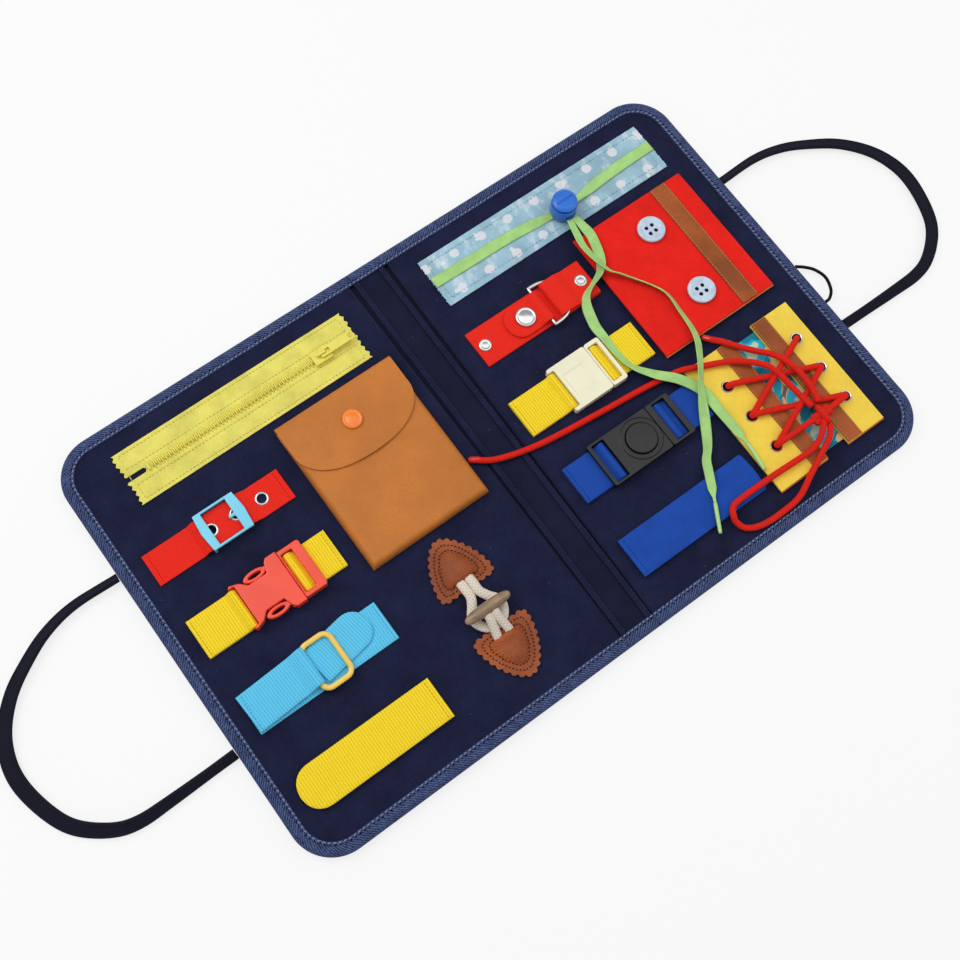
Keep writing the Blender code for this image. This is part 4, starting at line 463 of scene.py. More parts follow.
def walked_length(line):
    """The length walked along a line up to each of its points."""
    return np.concatenate([[0], np.cumsum(np.linalg.norm(np.diff(line, axis=0), axis=1))])


def closed_length(line):
    """The same on the way round a closed line, back to its first point."""
    return walked_length(np.vstack([line, line[:1]]))


def bell(away, width):
    """1 at nought, falling off to both sides as the exponential of minus the square of away / width."""
    return np.exp(-((away / width) ** 2))


def lifted(flat, height):
    """Points in X and Y, set at one height."""
    return np.column_stack([flat, np.full(len(flat), height)])


def narrowed(share):
    """The scale of a section of which only the width changes."""
    return np.stack([share, np.ones(len(share))], 1)


def smooth_line(points, spacing):
    """Points at even steps along the Catmull-Rom curve through the given points."""
    route = np.asarray(points, float)
    ends = np.vstack([2 * route[0] - route[1], route, 2 * route[-1] - route[-2]])
    a, b, c, d = (ends[k : len(ends) - 3 + k][:, None] for k in range(4))
    t = (np.arange(24) / 24)[None, :, None]
    dense = 0.5 * (2 * b + (c - a) * t + (2 * a - 5 * b + 4 * c - d) * t**2 + (3 * b - a - 3 * c + d) * t**3)
    return even_line(np.vstack([dense.reshape(-1, route.shape[1]), route[-1]]), spacing)


def even_line(points, spacing):
    """The same line, cut into even steps by its walked length."""
    points = np.asarray(points, float)
    walked = walked_length(points)
    count = max(2, int(round(walked[-1] / spacing)) + 1)
    at = np.linspace(0, walked[-1], count)
    return np.stack([np.interp(at, walked, points[:, k]) for k in range(points.shape[1])], 1)


def length_of(line):
    """The whole length of a line."""
    return float(np.linalg.norm(np.diff(line, axis=0), axis=1).sum())


def frames_along(line, side=None, closed=False):
    """Tangent, side and up vectors along a line.

    With a side given, up is the tangent crossed with it. Without one, the side is straight up crossed with the
    tangent, so it is level."""
    if closed:
        tangent = np.roll(line, -1, 0) - np.roll(line, 1, 0)
    else:
        tangent = np.gradient(line, axis=0)
    tangent /= np.linalg.norm(tangent, axis=1)[:, None]
    if side is not None:
        sides = np.broadcast_to(np.asarray(side, float), line.shape)
        up = np.cross(tangent, sides)
        up /= np.linalg.norm(up, axis=1)[:, None]
        return tangent, np.cross(up, tangent), up
    sides = np.cross([0.0, 0.0, 1.0], tangent)
    sides /= np.maximum(np.linalg.norm(sides, axis=1)[:, None], 1e-9)
    return tangent, sides, np.cross(tangent, sides)


def rolled(sides, up, twist):
    """Side and up vectors, turned about the tangent by the angles of twist."""
    turn = np.asarray(twist, float)[:, None]
    return sides * np.cos(turn) + up * np.sin(turn), up * np.cos(turn) - sides * np.sin(turn)


def swept(name, line, section, side=None, scale=None, closed=False, twist=None):
    """A closed section carried along a line.

    Point (i, j) is line i plus section j's first number along the side and its second along up, each times the
    scale there."""
    line = np.asarray(line, float)
    section = np.asarray(section, float)
    _, sides, up = frames_along(line, side, closed)
    if twist is not None:
        sides, up = rolled(sides, up, twist)
    across = np.ones((len(line), 2)) if scale is None else np.asarray(scale, float)
    if across.ndim == 1:
        across = np.stack([across, across], 1)
    points = (
        line[:, None]
        + sides[:, None] * (section[None, :, :1] * across[:, None, :1])
        + up[:, None] * (section[None, :, 1:] * across[:, None, 1:])
    )
    rows, columns = points.shape[:2]
    quads, i, j = grid_faces(rows, columns, closed, True)
    faces, uvs = [quads], [np.stack([closed_length(line)[i], closed_length(section)[j]], -1)]
    if not closed:
        faces.append(end_caps(rows, columns))
        uvs.append(np.broadcast_to(section[None] + 0.5, (2, columns, 2)).copy())
    return mesh_of(name, points, faces, uvs)


def flat_section(width, thickness, crown=0.0, edge=0.4, across=10, rounded=3):
    """A strap's section: a flat oval whose faces rise by the crown in the middle."""
    half = width / 2
    radius = thickness * edge
    x = np.linspace(-half + radius, half - radius, across)
    rise = thickness / 2 + crown * (1 - (x / half) ** 2)
    turn = np.linspace(0, np.pi, rounded + 2)[1:-1]
    right = np.stack([half - radius + radius * np.sin(turn), thickness / 2 * np.cos(turn)], 1)
    top = np.stack([x, rise], 1)
    return np.vstack([top, right, -top, -right])


def round_section(radius, count=12, tall=1.0):
    """Points round a circle or an ellipse."""
    turn = np.linspace(0, 2 * np.pi, count, endpoint=False)
    return np.stack([radius * np.cos(turn), radius * tall * np.sin(turn)], 1)


def turned(name, profile, centre, sides=48, axis="Z"):
    """A profile of radius and height pairs, turned round an upright axis or one along X."""
    profile = np.asarray(profile, float)
    angle = np.linspace(0, 2 * np.pi, sides, endpoint=False)
    radius, height = np.maximum(profile[:, 0], 1e-7)[:, None], profile[:, 1][:, None]
    flat = [radius * np.cos(angle), radius * np.sin(angle), height + 0 * angle]
    if axis == "X":
        flat = [flat[2], flat[0], flat[1]]
    points = np.stack(flat, -1) + np.asarray(centre, float)
    quads, i, j = grid_faces(len(profile), sides, False, True)
    uv = np.stack([walked_length(profile)[i], j / sides * 2 * np.pi * float(profile[:, 0].max())], -1)
    return mesh_of(name, points, [quads, end_caps(len(profile), sides)], [uv, np.zeros((2, sides, 2))])


def outline_line(corners, radii, spacing=0.004, round_points=8):
    """A closed outline through corners that are rounded by their radii, with points at even steps."""
    corners = np.asarray(corners, float)
    out = []
    for index, corner in enumerate(corners):
        before = corners[index - 1] - corner
        after = corners[(index + 1) % len(corners)] - corner
        before, after = before / np.linalg.norm(before), after / np.linalg.norm(after)
        radius = radii[index] if hasattr(radii, "__len__") else radii
        half = math.acos(max(-1, min(1, float(before @ after)))) / 2
        reach = radius / math.tan(half)
        start, stop = corner + before * reach, corner + after * reach
        centre = corner + (before + after) / np.linalg.norm(before + after) * radius / math.sin(half)
        share = np.linspace(0, 1, round_points if radius > 0 else 1)[:, None]
        arc = start * (1 - share) + stop * share - centre
        size = np.linalg.norm(arc, axis=1)[:, None]
        out.append(centre + arc / np.maximum(size, 1e-12) * radius if radius > 0 else corner[None])
    points = np.vstack(out)
    closed = np.vstack([points, points[:1]])
    dense = [closed[:1]]
    for a, b in zip(closed[:-1], closed[1:]):
        count = max(1, int(np.ceil(np.linalg.norm(b - a) / spacing)))
        dense.append(a + (b - a) * (np.arange(1, count + 1) / count)[:, None])
    return np.vstack(dense)[:-1]


def ring_sheet(name, outline, height, rings, centre, relief=None):
    """A sheet as rings that shrink from its outline to its centre.

    Point (i, j) is the centre plus share i of the way to outline point j."""
    centre = np.asarray(centre, float)
    share = 1 - np.arange(rings) / rings
    flat = centre + (outline[None] - centre) * share[:, None, None]
    flat = np.vstack([flat.reshape(-1, 2), centre[None]])
    points = lifted(flat, height)
    if relief is not None:
        points[:, 2] += relief(flat[:, 0], flat[:, 1])
    count = len(outline)
    quads, _, _ = grid_faces(rings, count, False, True)
    fan = pole_fan(rings, count)
    return mesh_of(name, points, [quads, fan], [flat[quads], flat[fan]], closed=False)


def repeated(name, points, rows, columns):
    """A mesh of equal tubes, from an array with one row of points for each tube."""
    quads, _, _ = grid_faces(rows, columns, False, True)
    shift = (np.arange(len(points)) * rows * columns)[:, None, None]
    blocks = [(quads + shift).reshape(-1, 4), (end_caps(rows, columns) + shift).reshape(-1, columns)]
    return mesh_of(name, points, blocks)


def thicken(made, thickness, bevel=0.0):
    """Gives a sheet its wall below its upper face, with eased edges."""
    solid = made.modifiers.new("wall", "SOLIDIFY")
    solid.thickness = thickness
    solid.offset = -1
    if bevel:
        ease = made.modifiers.new("eased", "BEVEL")
        ease.width = bevel
        ease.segments = 3
        ease.limit_method = "ANGLE"
        ease.angle_limit = math.radians(35)
    return made


def ripple(amount, scale=40.0, seed=0.0):
    """Gentle unevenness of a soft sheet, from crossed sine waves, never above the plane."""

    def relief(x, y):
        a = np.sin(x * scale + seed) * np.sin(y * scale * 1.3 + 2 * seed)
        b = np.sin(x * scale * 2.3 + y * scale * 1.1 + seed)
        return -amount * (0.5 + 0.35 * a + 0.15 * b)

    return relief


def stitches(name, line, body, finish, pitch=0.003, length=0.0021, radius=0.0003, lean=0.0, bury=0.35):
    """A row of stitches: each is a small rounded bead, stretched along the line and half sunk in the cloth."""
    line = np.asarray(line, float)
    places = even_line(line, pitch)
    middle = (places[1:] + places[:-1]) / 2
    tangent = places[1:] - places[:-1]
    tangent /= np.linalg.norm(tangent, axis=1)[:, None]
    up = np.array([0.0, 0.0, 1.0])
    sides = np.cross(up, tangent)
    sides /= np.linalg.norm(sides, axis=1)[:, None]
    if lean:
        c, s = math.cos(lean), math.sin(lean)
        tangent, sides = tangent * c + sides * s, sides * c - tangent * s
    ups = np.cross(tangent, sides)
    rows, columns = 5, 6
    share = np.linspace(0.06, 0.94, rows)
    angle = np.linspace(0, 2 * np.pi, columns, endpoint=False)
    fat = np.sin(np.pi * share)[:, None] ** 0.5
    bead = np.stack(
        [
            np.broadcast_to((share[:, None] - 0.5) * length, (rows, columns)),
            radius * fat * np.cos(angle),
            radius * fat * np.sin(angle) + radius * (1 - 2 * bury),
        ],
        -1,
    ).reshape(-1, 3)
    points = (
        middle[:, None]
        + bead[None, :, :1] * tangent[:, None]
        + bead[None, :, 1:2] * sides[:, None]
        + bead[None, :, 2:] * ups[:, None]
    )
    return piece(repeated(name, points, rows, columns), body, finish)


def moulded(name, node, body, finish, voxel=0.00028, soften=5):
    """A moulded copy of a CAD solid, whose edges are eased all over by remeshing and smoothing."""
    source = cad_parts[node]
    mesh = source.data.copy()
    mesh.name = name
    made = piece(mesh, None, finish)
    weld = made.modifiers.new("weld", "WELD")
    weld.merge_threshold = 0.00001
    remesh = made.modifiers.new("remesh", "REMESH")
    remesh.mode = "VOXEL"
    remesh.voxel_size = voxel
    remesh.use_smooth_shade = True
    smooth = made.modifiers.new("soften", "SMOOTH")
    smooth.factor = 0.5
    smooth.iterations = soften
    graph = bpy.context.evaluated_depsgraph_get()
    final = bpy.data.meshes.new_from_object(made.evaluated_get(graph))
    made.modifiers.clear()
    made.data = final
    final.name = name
    final.materials.clear()
    final.materials.append(finish)
    bpy.data.meshes.remove(mesh)
    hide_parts(node)
    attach(made, body)
    return made


# Measures, some taken from the imported part and the rest given

SEAT = float(box("channel_fabric")[0][2])
HALF_LENGTH = -float(box("left_binding")[0][0])
HALF_DEPTH = float(box("left_binding")[1][1])
CREASE = -float(box("left_binding")[1][0])
CORNER = 0.026
BINDING_WIDTH = 0.008
SEAM_INSETS = (0.0071, 0.006)
STRAP_WIDTH = 0.025
TOGGLE_BAR_Y = -0.0764
STRIP_THREAD = (0.6, 0.27, 0.1)
WEB = 0.0012
GAP = 0.0003
LOW_LAYER = SEAT + WEB / 2
HIGH_LAYER = LOW_LAYER + WEB + GAP
FOLD_RADIUS = 0.002
FOLD_REACH = 0.0026
BAR_HEIGHT = LOW_LAYER + FOLD_RADIUS


def xz_line(points, centre_y, spacing=0.0007):
    """A line in space from X and Z pairs at one Y, in even steps."""
    flat = np.asarray(points, float)
    line = np.column_stack([flat[:, 0], np.full(len(flat), centre_y), flat[:, 1]])
    return even_line(line, spacing)


def arc_points(centre_x, centre_z, radius, start, end, count=12):
    """Points on an arc in X and Z, between two angles in degrees."""
    turn = np.radians(np.linspace(start, end, count))
    return np.column_stack([centre_x + radius * np.cos(turn), centre_z + radius * np.sin(turn)])


def folded_line(sewn_x, far_x, centre_y):
    """A strap's run out to its bar, 220 degrees round it, and back on top of itself."""
    side = 1 if far_x > sewn_x else -1
    bar_x = far_x - side * FOLD_REACH
    fold = arc_points(0, BAR_HEIGHT, FOLD_RADIUS, -90, 130, 16)
    fold[:, 0] = bar_x + side * fold[:, 0]
    run = (fold[-1, 1] - HIGH_LAYER) / math.tan(math.radians(40))
    back = [(fold[-1, 0] - side * run, HIGH_LAYER), (sewn_x, HIGH_LAYER)]
    return xz_line(np.vstack([[(sewn_x, LOW_LAYER)], fold, back]), centre_y)


def nose_widths(walked, radius, power):
    """Share of the full width along a strap whose last stretch, one radius long, rounds off like a superellipse."""
    reach = np.clip(1 - np.abs(walked - walked[-1]) / radius, 0, 0.999)
    return (1 - reach**power) ** (1 / power)


def strap(name, line, width, finish, body, nodes=(), slot=None, scale=None, crown=0.0001):
    """Webbing along a line in X and Z: its oval section faces along Y."""
    mesh = swept(name, line, flat_section(width, WEB, crown), side=(0.0, 1.0, 0.0), scale=scale)
    return piece(mesh, body, finish, nodes, slot)


def straight(start, end, height):
    """A two-point line at one height."""
    return np.array([(*start, height), (*end, height)], float)


def grid_sheet(name, x, y, z):
    """An open mesh on a grid whose three coordinates are given at each point."""
    quads, _, _ = grid_faces(*x.shape)
    points = np.stack([x, y, np.broadcast_to(z, x.shape)], -1).reshape(-1, 3)
    return mesh_of(name, points, [quads], [points[quads][..., :2]], closed=False)


def warped(name, x, y, z, finish, body, wall, bevel=0.0003, nodes=(), slot=None):
    """A sheet on such a grid, with a wall below it."""
    return thicken(piece(grid_sheet(name, x, y, z), body, finish, nodes, slot), wall, bevel)


def cloth(name, xs, ys, height, finish, body, wall, bevel=0.0003, nodes=(), slot=None):
    """A sheet on a grid of X and Y. Its height is a number, or worked out at each point."""
    x, y = np.meshgrid(xs, ys, indexing="ij")
    z = height(x, y) if callable(height) else float(height)
    return warped(name, x, y, z, finish, body, wall, bevel, nodes, slot)


def holed_sheet(name, low, high, holes, radius, height, finish, body, wall, axis, nodes, slot):
    """A rectangular sheet with round holes in a row.

    Each hole has its own cell: point (i, j) is share i of the way from hole point j to cell edge point j.
    The cells between are plain grids with the same points on the edges that they share."""
    low, high = np.asarray(low, float), np.asarray(high, float)
    steps = 12
    across = np.linspace(low[1 - axis], high[1 - axis], steps * 2 + 1)
    holes = sorted(holes, key=lambda hole: hole[axis])
    points, faces, shift = [], [], 0
    edge = low[axis]
    reach = radius * 1.9
    plain = []
    for hole in holes:
        plain.append((edge, hole[axis] - reach))
        edge = hole[axis] + reach
    plain.append((edge, high[axis]))
    for start, stop in plain:
        count = max(2, int((stop - start) / 0.0025) + 1)
        u, v = np.meshgrid(np.linspace(start, stop, count), across, indexing="ij")
        quads, _, _ = grid_faces(*u.shape)
        points.append(np.stack([u, v], -1).reshape(-1, 2))
        faces.append(quads + shift)
        shift += u.size
    for hole in holes:
        centre = np.array([hole[axis], hole[1 - axis]])
        run = np.linspace(-reach, reach, steps + 1)
        left = np.column_stack([np.full(len(across), -reach), across[::-1] - centre[1]])
        right = np.column_stack([np.full(len(across), reach), across - centre[1]])
        lower = np.column_stack([run, np.full(len(run), across[0] - centre[1])])
        upper = np.column_stack([run[::-1], np.full(len(run), across[-1] - centre[1])])
        border = np.vstack([lower[:-1], right[:-1], upper[:-1], left[:-1]])
        ring = border / np.linalg.norm(border, axis=1)[:, None] * radius
        share = np.linspace(0, 1, 9)[:, None, None] ** 1.5
        cell = centre + ring[None] * (1 - share) + border[None] * share
        quads, _, _ = grid_faces(len(share), len(border), False, True)
        points.append(cell.reshape(-1, 2))
        faces.append(quads + shift)
        shift += cell.shape[0] * cell.shape[1]
    flat = np.vstack(points)
    if axis:
        flat = flat[:, ::-1]
    space = np.column_stack([flat, height(flat[:, 0], flat[:, 1])])
    quads = np.vstack(faces)
    normal = np.cross(space[quads[:, 1]] - space[quads[:, 0]], space[quads[:, 2]] - space[quads[:, 0]])[:, 2]
    quads = np.where((normal < 0)[:, None], quads[:, ::-1], quads)
    mesh = mesh_of(name, space, [quads], [space[quads][..., :2]], closed=False)
    weld(mesh)
    return thicken(piece(mesh, body, finish, nodes, slot), wall, 0.0003)


def weld(mesh):
    """Joins points that lie on each other, so that seams and poles are closed."""
    shape = bmesh.new()
    shape.from_mesh(mesh)
    bmesh.ops.remove_doubles(shape, verts=shape.verts, dist=0.00002)
    shape.to_mesh(mesh)
    shape.free()
    mesh.update()


def ringed(name, profile, centre, sides=40):
    """A closed profile of radius and height pairs turned about an upright axis, with no poles."""
    profile = np.asarray(profile, float)
    angle = np.linspace(0, 2 * np.pi, sides, endpoint=False)
    radius, height = profile[:, 0][:, None], profile[:, 1][:, None]
    points = np.stack([radius * np.cos(angle), radius * np.sin(angle), height + 0 * angle], -1)
    points = points + np.array([centre[0], centre[1], 0.0])
    quads, i, j = grid_faces(len(profile), sides, True, True)
    uv = np.stack([i * 0.0004, j / sides * 2 * np.pi * float(profile[:, 0].max())], -1)
    return mesh_of(name, points, [quads], [uv])


def eyelet(name, centre, top, bottom, body, finish, outer, inner):
    """A set eyelet: a domed flange, and a tube down through the hole."""
    profile = [
        (inner - 0.0002, bottom),
        (inner - 0.0002, top + 0.0001),
        (inner, top + 0.00038),
        (inner + 0.0004, top + 0.00052),
        ((inner + outer) / 2, top + 0.00058),
        (outer - 0.0004, top + 0.0004),
        (outer - 0.0001, top + 0.00018),
        (outer, top - 0.0001),
        (inner + 0.0002, top - 0.0001),
        (inner + 0.0002, bottom),
    ]
    return piece(ringed(name, profile, centre), body, finish, crease=50)


def snap_cap(name, centre, base, body, finish, radius=0.006, height=0.0022):
    """A snap cap: a rolled rim, a shallow groove inside it and a low dome."""
    profile = [
        (0.0, base),
        (radius - 0.0003, base),
        (radius, base + height * 0.3),
        (radius - 0.0001, base + height * 0.62),
        (radius - 0.0006, base + height * 0.82),
        (radius - 0.0012, base + height * 0.8),
        (radius - 0.0017, base + height * 0.68),
        (radius - 0.0022, base + height * 0.74),
        (radius * 0.45, base + height * 0.92),
        (radius * 0.2, base + height * 0.99),
        (0.0, base + height),
    ]
    return piece(turned(name, profile, (*centre, 0.0)), body, finish, crease=60)


def wire_ring(name, outline, height, radius, body, finish, node, slot, tall=1.0):
    """A closed bent wire: a round section carried round a flat outline."""
    mesh = swept(name, lifted(outline, height), round_section(radius, 16, tall), closed=True)
    return piece(mesh, body, finish, node, slot)


# Sizes and colours that a user would change


def colour(name, description, red, green, blue):
    return FloatVectorProperty(
        name=name, description=description, default=srgb(red, green, blue), subtype="COLOR", size=3, min=0, max=1
    )


def length(name, description, value):
    return FloatProperty(name=name, description=description, default=value, min=0, unit="LENGTH", precision=5)


class BookColours(bpy.types.PropertyGroup):
    """Colours of the book's cloths, leathers and plastics."""

    page_felt: colour("Page felt", "Felt of both pages", 30, 33, 60)
    spine_felt: colour("Spine felt", "Felt strip between the pages", 27, 30, 52)
    binding: colour("Binding", "Twill tape round the edge", 32, 40, 74)
    # painted highlight colour for the binding's raised ridges, also used for its faded patches
    binding_crown: colour("Binding crowns", "Raised ridges of the binding", 88, 104, 148)
    binding_thread: colour("Binding thread", "Ladder stitches of the binding", 126, 140, 178)
    handle: colour("Handles", "Strap of the handles", 19, 20, 36)
    elastic: colour("Elastic", "Closing loop", 16, 16, 20)
    zip_tape: colour("Zip tape", "Tape of the zip", 232, 222, 108)
    zip_plastic: colour("Zip plastic", "Slider and pull", 238, 224, 92)
    red_webbing: colour("Red webbing", "Belt and snap strap", 238, 40, 24)
    belt_buckle: colour("Belt buckle", "Frame buckle of the belt", 120, 214, 242)
    yellow_webbing: colour("Yellow webbing", "Straps of the clip and of the plate buckle", 250, 216, 40)
    clip: colour("Clip", "Side-release clip", 248, 72, 42)
    sky_webbing: colour("Sky webbing", "Strap of the ring", 96, 200, 240)
    ring: colour("Ring", "Ring on the sky strap", 246, 206, 92)
    pouch: colour("Pouch", "Leather of the pouch", 204, 122, 46)
    pouch_snap: colour("Pouch snap", "Cap on the pouch's flap", 255, 130, 28)
    patch: colour("Patches", "Leather of the toggle's patches", 166, 82, 38)
    toggle_cord: colour("Toggle cord", "Loop of the toggle", 228, 216, 200)
    horn: colour("Toggle bar", "Horn of the toggle", 140, 116, 88)
    channel: colour("Channel", "Cloth of the drawstring channel", 158, 196, 212)
    ribbon: colour("Ribbon", "Drawstring ribbon", 178, 226, 136)
    cord_lock: colour("Cord lock", "Sprung lock on the ribbon", 34, 112, 214)
    metal: colour("Plated metal", "Eyelets, rivets, snap and ring", 226, 226, 224)
    plate_buckle: colour("Plate buckle", "Buckle with a square frame", 241, 236, 204)
    push_buckle: colour("Push buckle", "Buckle with a round button", 20, 20, 22)
    royal_webbing: colour("Royal webbing", "Straps of the push buckle and the hook strap", 26, 74, 168)
    red_felt: colour("Red felt", "Buttoned flap", 234, 38, 30)
    button: colour("Buttons", "Four-hole buttons", 196, 214, 232)
    trim: colour("Trims", "Leather strips on the flaps", 168, 86, 34)
    yellow_felt: colour("Yellow felt", "Laced flaps", 250, 214, 82)
    insert: colour("Insert", "Ground of the insert behind the lace", 24, 132, 158)
    lace: colour("Lace", "Round braided lace", 232, 34, 20)


class BookSizes(bpy.types.PropertyGroup):
    """Sizes of the sewn details."""

    ladder_pitch: length("Ladder pitch", "Step of the binding's stitches", 0.0029)
    ladder_length: length("Ladder stitch", "Length of each of the binding's stitches", 0.0022)
    seam_pitch: length("Seam pitch", "Step of the plain seams", 0.0026)
    ribbon_width: length("Ribbon width", "Width of the hanging ribbon", 0.0066)
    lace_diameter: length("Lace diameter", "Diameter of the round lace", 0.0038)
    weave_row: length("Weave row", "Step of the webbing's ribs", 0.00165)
    tooth_pitch: length("Tooth pitch", "Step of the zip's teeth", 0.0025)


def colours():
    return bpy.context.scene.book_colours


def sizes():
    return bpy.context.scene.book_sizes


def tone(key):
    """One of the book's colours, as a tuple."""
    return tuple(getattr(colours(), key))


# Finishes of this book's cloths, leathers and plastics


def navy_felt():
    return felt("page_felt", tone("page_felt"), lint_share=0.3, contrast=0.34)


def red_web():
    return webbing("red_web", tone("red_webbing"), sizes().weave_row * 0.85, depth=0.6)


def yellow_web():
    return webbing("yellow_web", tone("yellow_webbing"), sizes().weave_row, depth=0.5)


def sky_web():
    return webbing("sky_web", tone("sky_webbing"), sizes().weave_row, depth=0.55)


def royal_web():
    return webbing("royal_web", tone("royal_webbing"), sizes().weave_row * 0.85, depth=0.5)


def plated():
    return metal("plated_metal", tone("metal"))


def lace_braid():
    return braid("lace_braid", tone("lace"), diameter=sizes().lace_diameter, dark=0.62)


# Camera, lamps and floor


class BOOK_OT_stage(bpy.types.Operator):
    """Adds the camera, the lamps, the pale floor and the background"""

    bl_idname = "book.stage"
    bl_label = "Stage"

    def execute(self, context):
        scene = context.scene
        scene.view_settings.view_transform = "Standard"
        lens = bpy.data.cameras.new("photo_camera")
        lens.lens = 50
        lens.sensor_width = 36
        lens.clip_start = 0.01
        lens.dof.use_dof = False
        camera = bpy.data.objects.new("photo_camera", lens)
        camera.location = (-0.1884, -0.1777, 0.7408)
        camera.rotation_mode = "QUATERNION"
        camera.rotation_quaternion = (0.94019, 0.13717, -0.07082, -0.30367)
        scene.collection.objects.link(camera)
        scene.camera = camera

        lamps = (
            ("key_lamp", (-0.55, 0.75, 1.15), 0.9, 7.8),
            ("fill_lamp", (0.85, -0.35, 0.95), 1.1, 3.0),
            ("top_lamp", (0.05, 0.1, 1.4), 1.2, 4.0),
        )
        for name, place, size, power in lamps:
            data = bpy.data.lights.new(name, "AREA")
            data.shape = "SQUARE"
            data.size = size
            data.energy = power
            lamp = bpy.data.objects.new(name, data)
            lamp.location = place
            lamp.rotation_euler = (-Vector(place)).to_track_quat("-Z", "Y").to_euler()
            scene.collection.objects.link(lamp)

        world = bpy.data.worlds.new("studio")
        scene.world = world
        world.use_nodes = True
        tree = world.node_tree
        tree.nodes.clear()
        rays = tree.nodes.new("ShaderNodeLightPath")
        seen = tree.nodes.new("ShaderNodeMath")
        seen.operation = "MAXIMUM"
        lit = tree.nodes.new("ShaderNodeBackground")
        lit.inputs["Color"].default_value = (0.97, 0.98, 1.0, 1)
        lit.inputs["Strength"].default_value = 0.44
        white = tree.nodes.new("ShaderNodeBackground")
        white.inputs["Color"].default_value = (1, 1, 1, 1)
        blend = tree.nodes.new("ShaderNodeMixShader")
        out = tree.nodes.new("ShaderNodeOutputWorld")
        tree.links.new(rays.outputs["Is Camera Ray"], seen.inputs[0])
        tree.links.new(rays.outputs["Is Transmission Ray"], seen.inputs[1])
        tree.links.new(seen.outputs[0], blend.inputs["Fac"])
        tree.links.new(lit.outputs[0], blend.inputs[1])
        tree.links.new(white.outputs[0], blend.inputs[2])
        tree.links.new(blend.outputs[0], out.inputs[0])

        pale = Finish("pale_floor", roughness=0.9, specular=0.1)
        paper = pale.noise(300, 3, 0.6)
        pale.done(pale.mix((0.86, 0.86, 0.86), (0.9, 0.9, 0.9), paper), normal=pale.bump(paper, 0.0002, 0.2))
        path = pale.node("ShaderNodeLightPath", output="Is Camera Ray")
        glow = pale.node("ShaderNodeEmission", {}, {"Color": (1, 1, 1, 1), "Strength": 1.0})
        veil = pale.node("ShaderNodeMixShader", {}, {"Fac": path * 0.76})
        joined = veil.socket.node
        pale.tree.links.new(pale.shader.outputs[0], joined.inputs[1])
        pale.tree.links.new(glow.socket, joined.inputs[2])
        pale.tree.links.new(veil.socket, pale.tree.nodes["Material Output"].inputs["Surface"])
        reach = 3.0
        x, y = np.meshgrid([-reach, 0, reach], [-reach, 0, reach], indexing="ij")
        piece(grid_sheet("floor", x, y, -0.0004), None, pale.material)
        return {"FINISHED"}


# Cords


ELASTIC_ROUTE = [
    (0.2208, -0.0126, 0.0035), (0.2255, -0.0165, 0.0035), (0.2295, -0.0215, 0.0035),
    (0.2316, -0.0291, 0.0035), (0.229, -0.0372, 0.0035), (0.2245, -0.0412, 0.0035),
    (0.2208, -0.0418, 0.0035),
]
RIBBON_A_ROUTE = [
    (0.1246, 0.0898, 0.0125), (0.1254, 0.082, 0.0122), (0.125, 0.071, 0.012), (0.117, 0.053, 0.0122),
    (0.0979, 0.043, 0.0122), (0.0918, 0.028, 0.0105), (0.0912, 0.016, 0.0105),
    (0.0922, -0.005, 0.0108), (0.1, -0.019, 0.0118), (0.111, -0.0315, 0.0122), (0.118, -0.045, 0.0113),
    (0.1184, -0.06, 0.0112), (0.1188, -0.0858, 0.0112), (0.1167, -0.104, 0.0112),
]
RIBBON_B_ROUTE = [
    (0.121, 0.0898, 0.0125), (0.119, 0.081, 0.013), (0.116, 0.068, 0.0152), (0.1184, 0.05, 0.0155),
    (0.1245, 0.042, 0.0135), (0.1388, 0.02, 0.012), (0.139, 0.003, 0.012), (0.1365, -0.0143, 0.013),
    (0.129, -0.027, 0.0155), (0.116, -0.045, 0.0148), (0.101, -0.071, 0.008), (0.0935, -0.079, 0.009),
    (0.089, -0.086, 0.0108), (0.0812, -0.101, 0.0107), (0.0762, -0.1098, 0.0107),
    (0.0712, -0.1187, 0.0107),
]
RIBBON_A_TURNS = [
    (0, 10, 0.6), (0.05, 20, 0.9), (0.16, 35, 1), (0.24, 62, 0.9), (0.32, 25, 1), (0.42, -22, 1),
    (0.52, -40, 0.9), (0.6, -10, 1), (0.72, 12, 1), (0.86, 30, 0.85), (0.93, 0, 1), (1, 0, 1),
]
RIBBON_B_TURNS = [
    (0, -10, 0.6), (0.05, -25, 0.9), (0.15, -45, 1), (0.22, -68, 0.8), (0.34, -58, 0.8),
    (0.5, -35, 0.9), (0.6, -52, 0.9), (0.68, -10, 1), (0.78, 42, 0.9), (0.9, 10, 0.8), (1, 0, 0.8),
]
LACE_FOOT_X = -0.009
LACE_LONG_ROUTE = [
    (-0.0196, 0.001, 0.0082), (-0.006, -0.008, 0.0082), (0.02, -0.015, 0.0082),
    (0.058, -0.0195, 0.0082), (0.0895, -0.0225, 0.0082), (0.106, -0.0246, 0.0083),
    (0.1125, -0.0262, 0.01), (0.1175, -0.0284, 0.0123), (0.128, -0.033, 0.0123),
    (0.144, -0.041, 0.0132), (0.156, -0.053, 0.016), (0.1595, -0.0625, 0.017),
    (0.1607, -0.0755, 0.0168), (0.1618, -0.0857, 0.017), (0.1627, -0.0908, 0.017),
]
LACE_SHORT_ROUTE = [
    (0.141, -0.0177, 0.0084), (0.1435, -0.0225, 0.011), (0.1465, -0.0268, 0.0127),
    (0.151, -0.033, 0.0129), (0.159, -0.043, 0.013), (0.166, -0.053, 0.016), (0.1695, -0.064, 0.0172),
    (0.1705, -0.076, 0.017), (0.169, -0.086, 0.0172), (0.1676, -0.0908, 0.017),
]
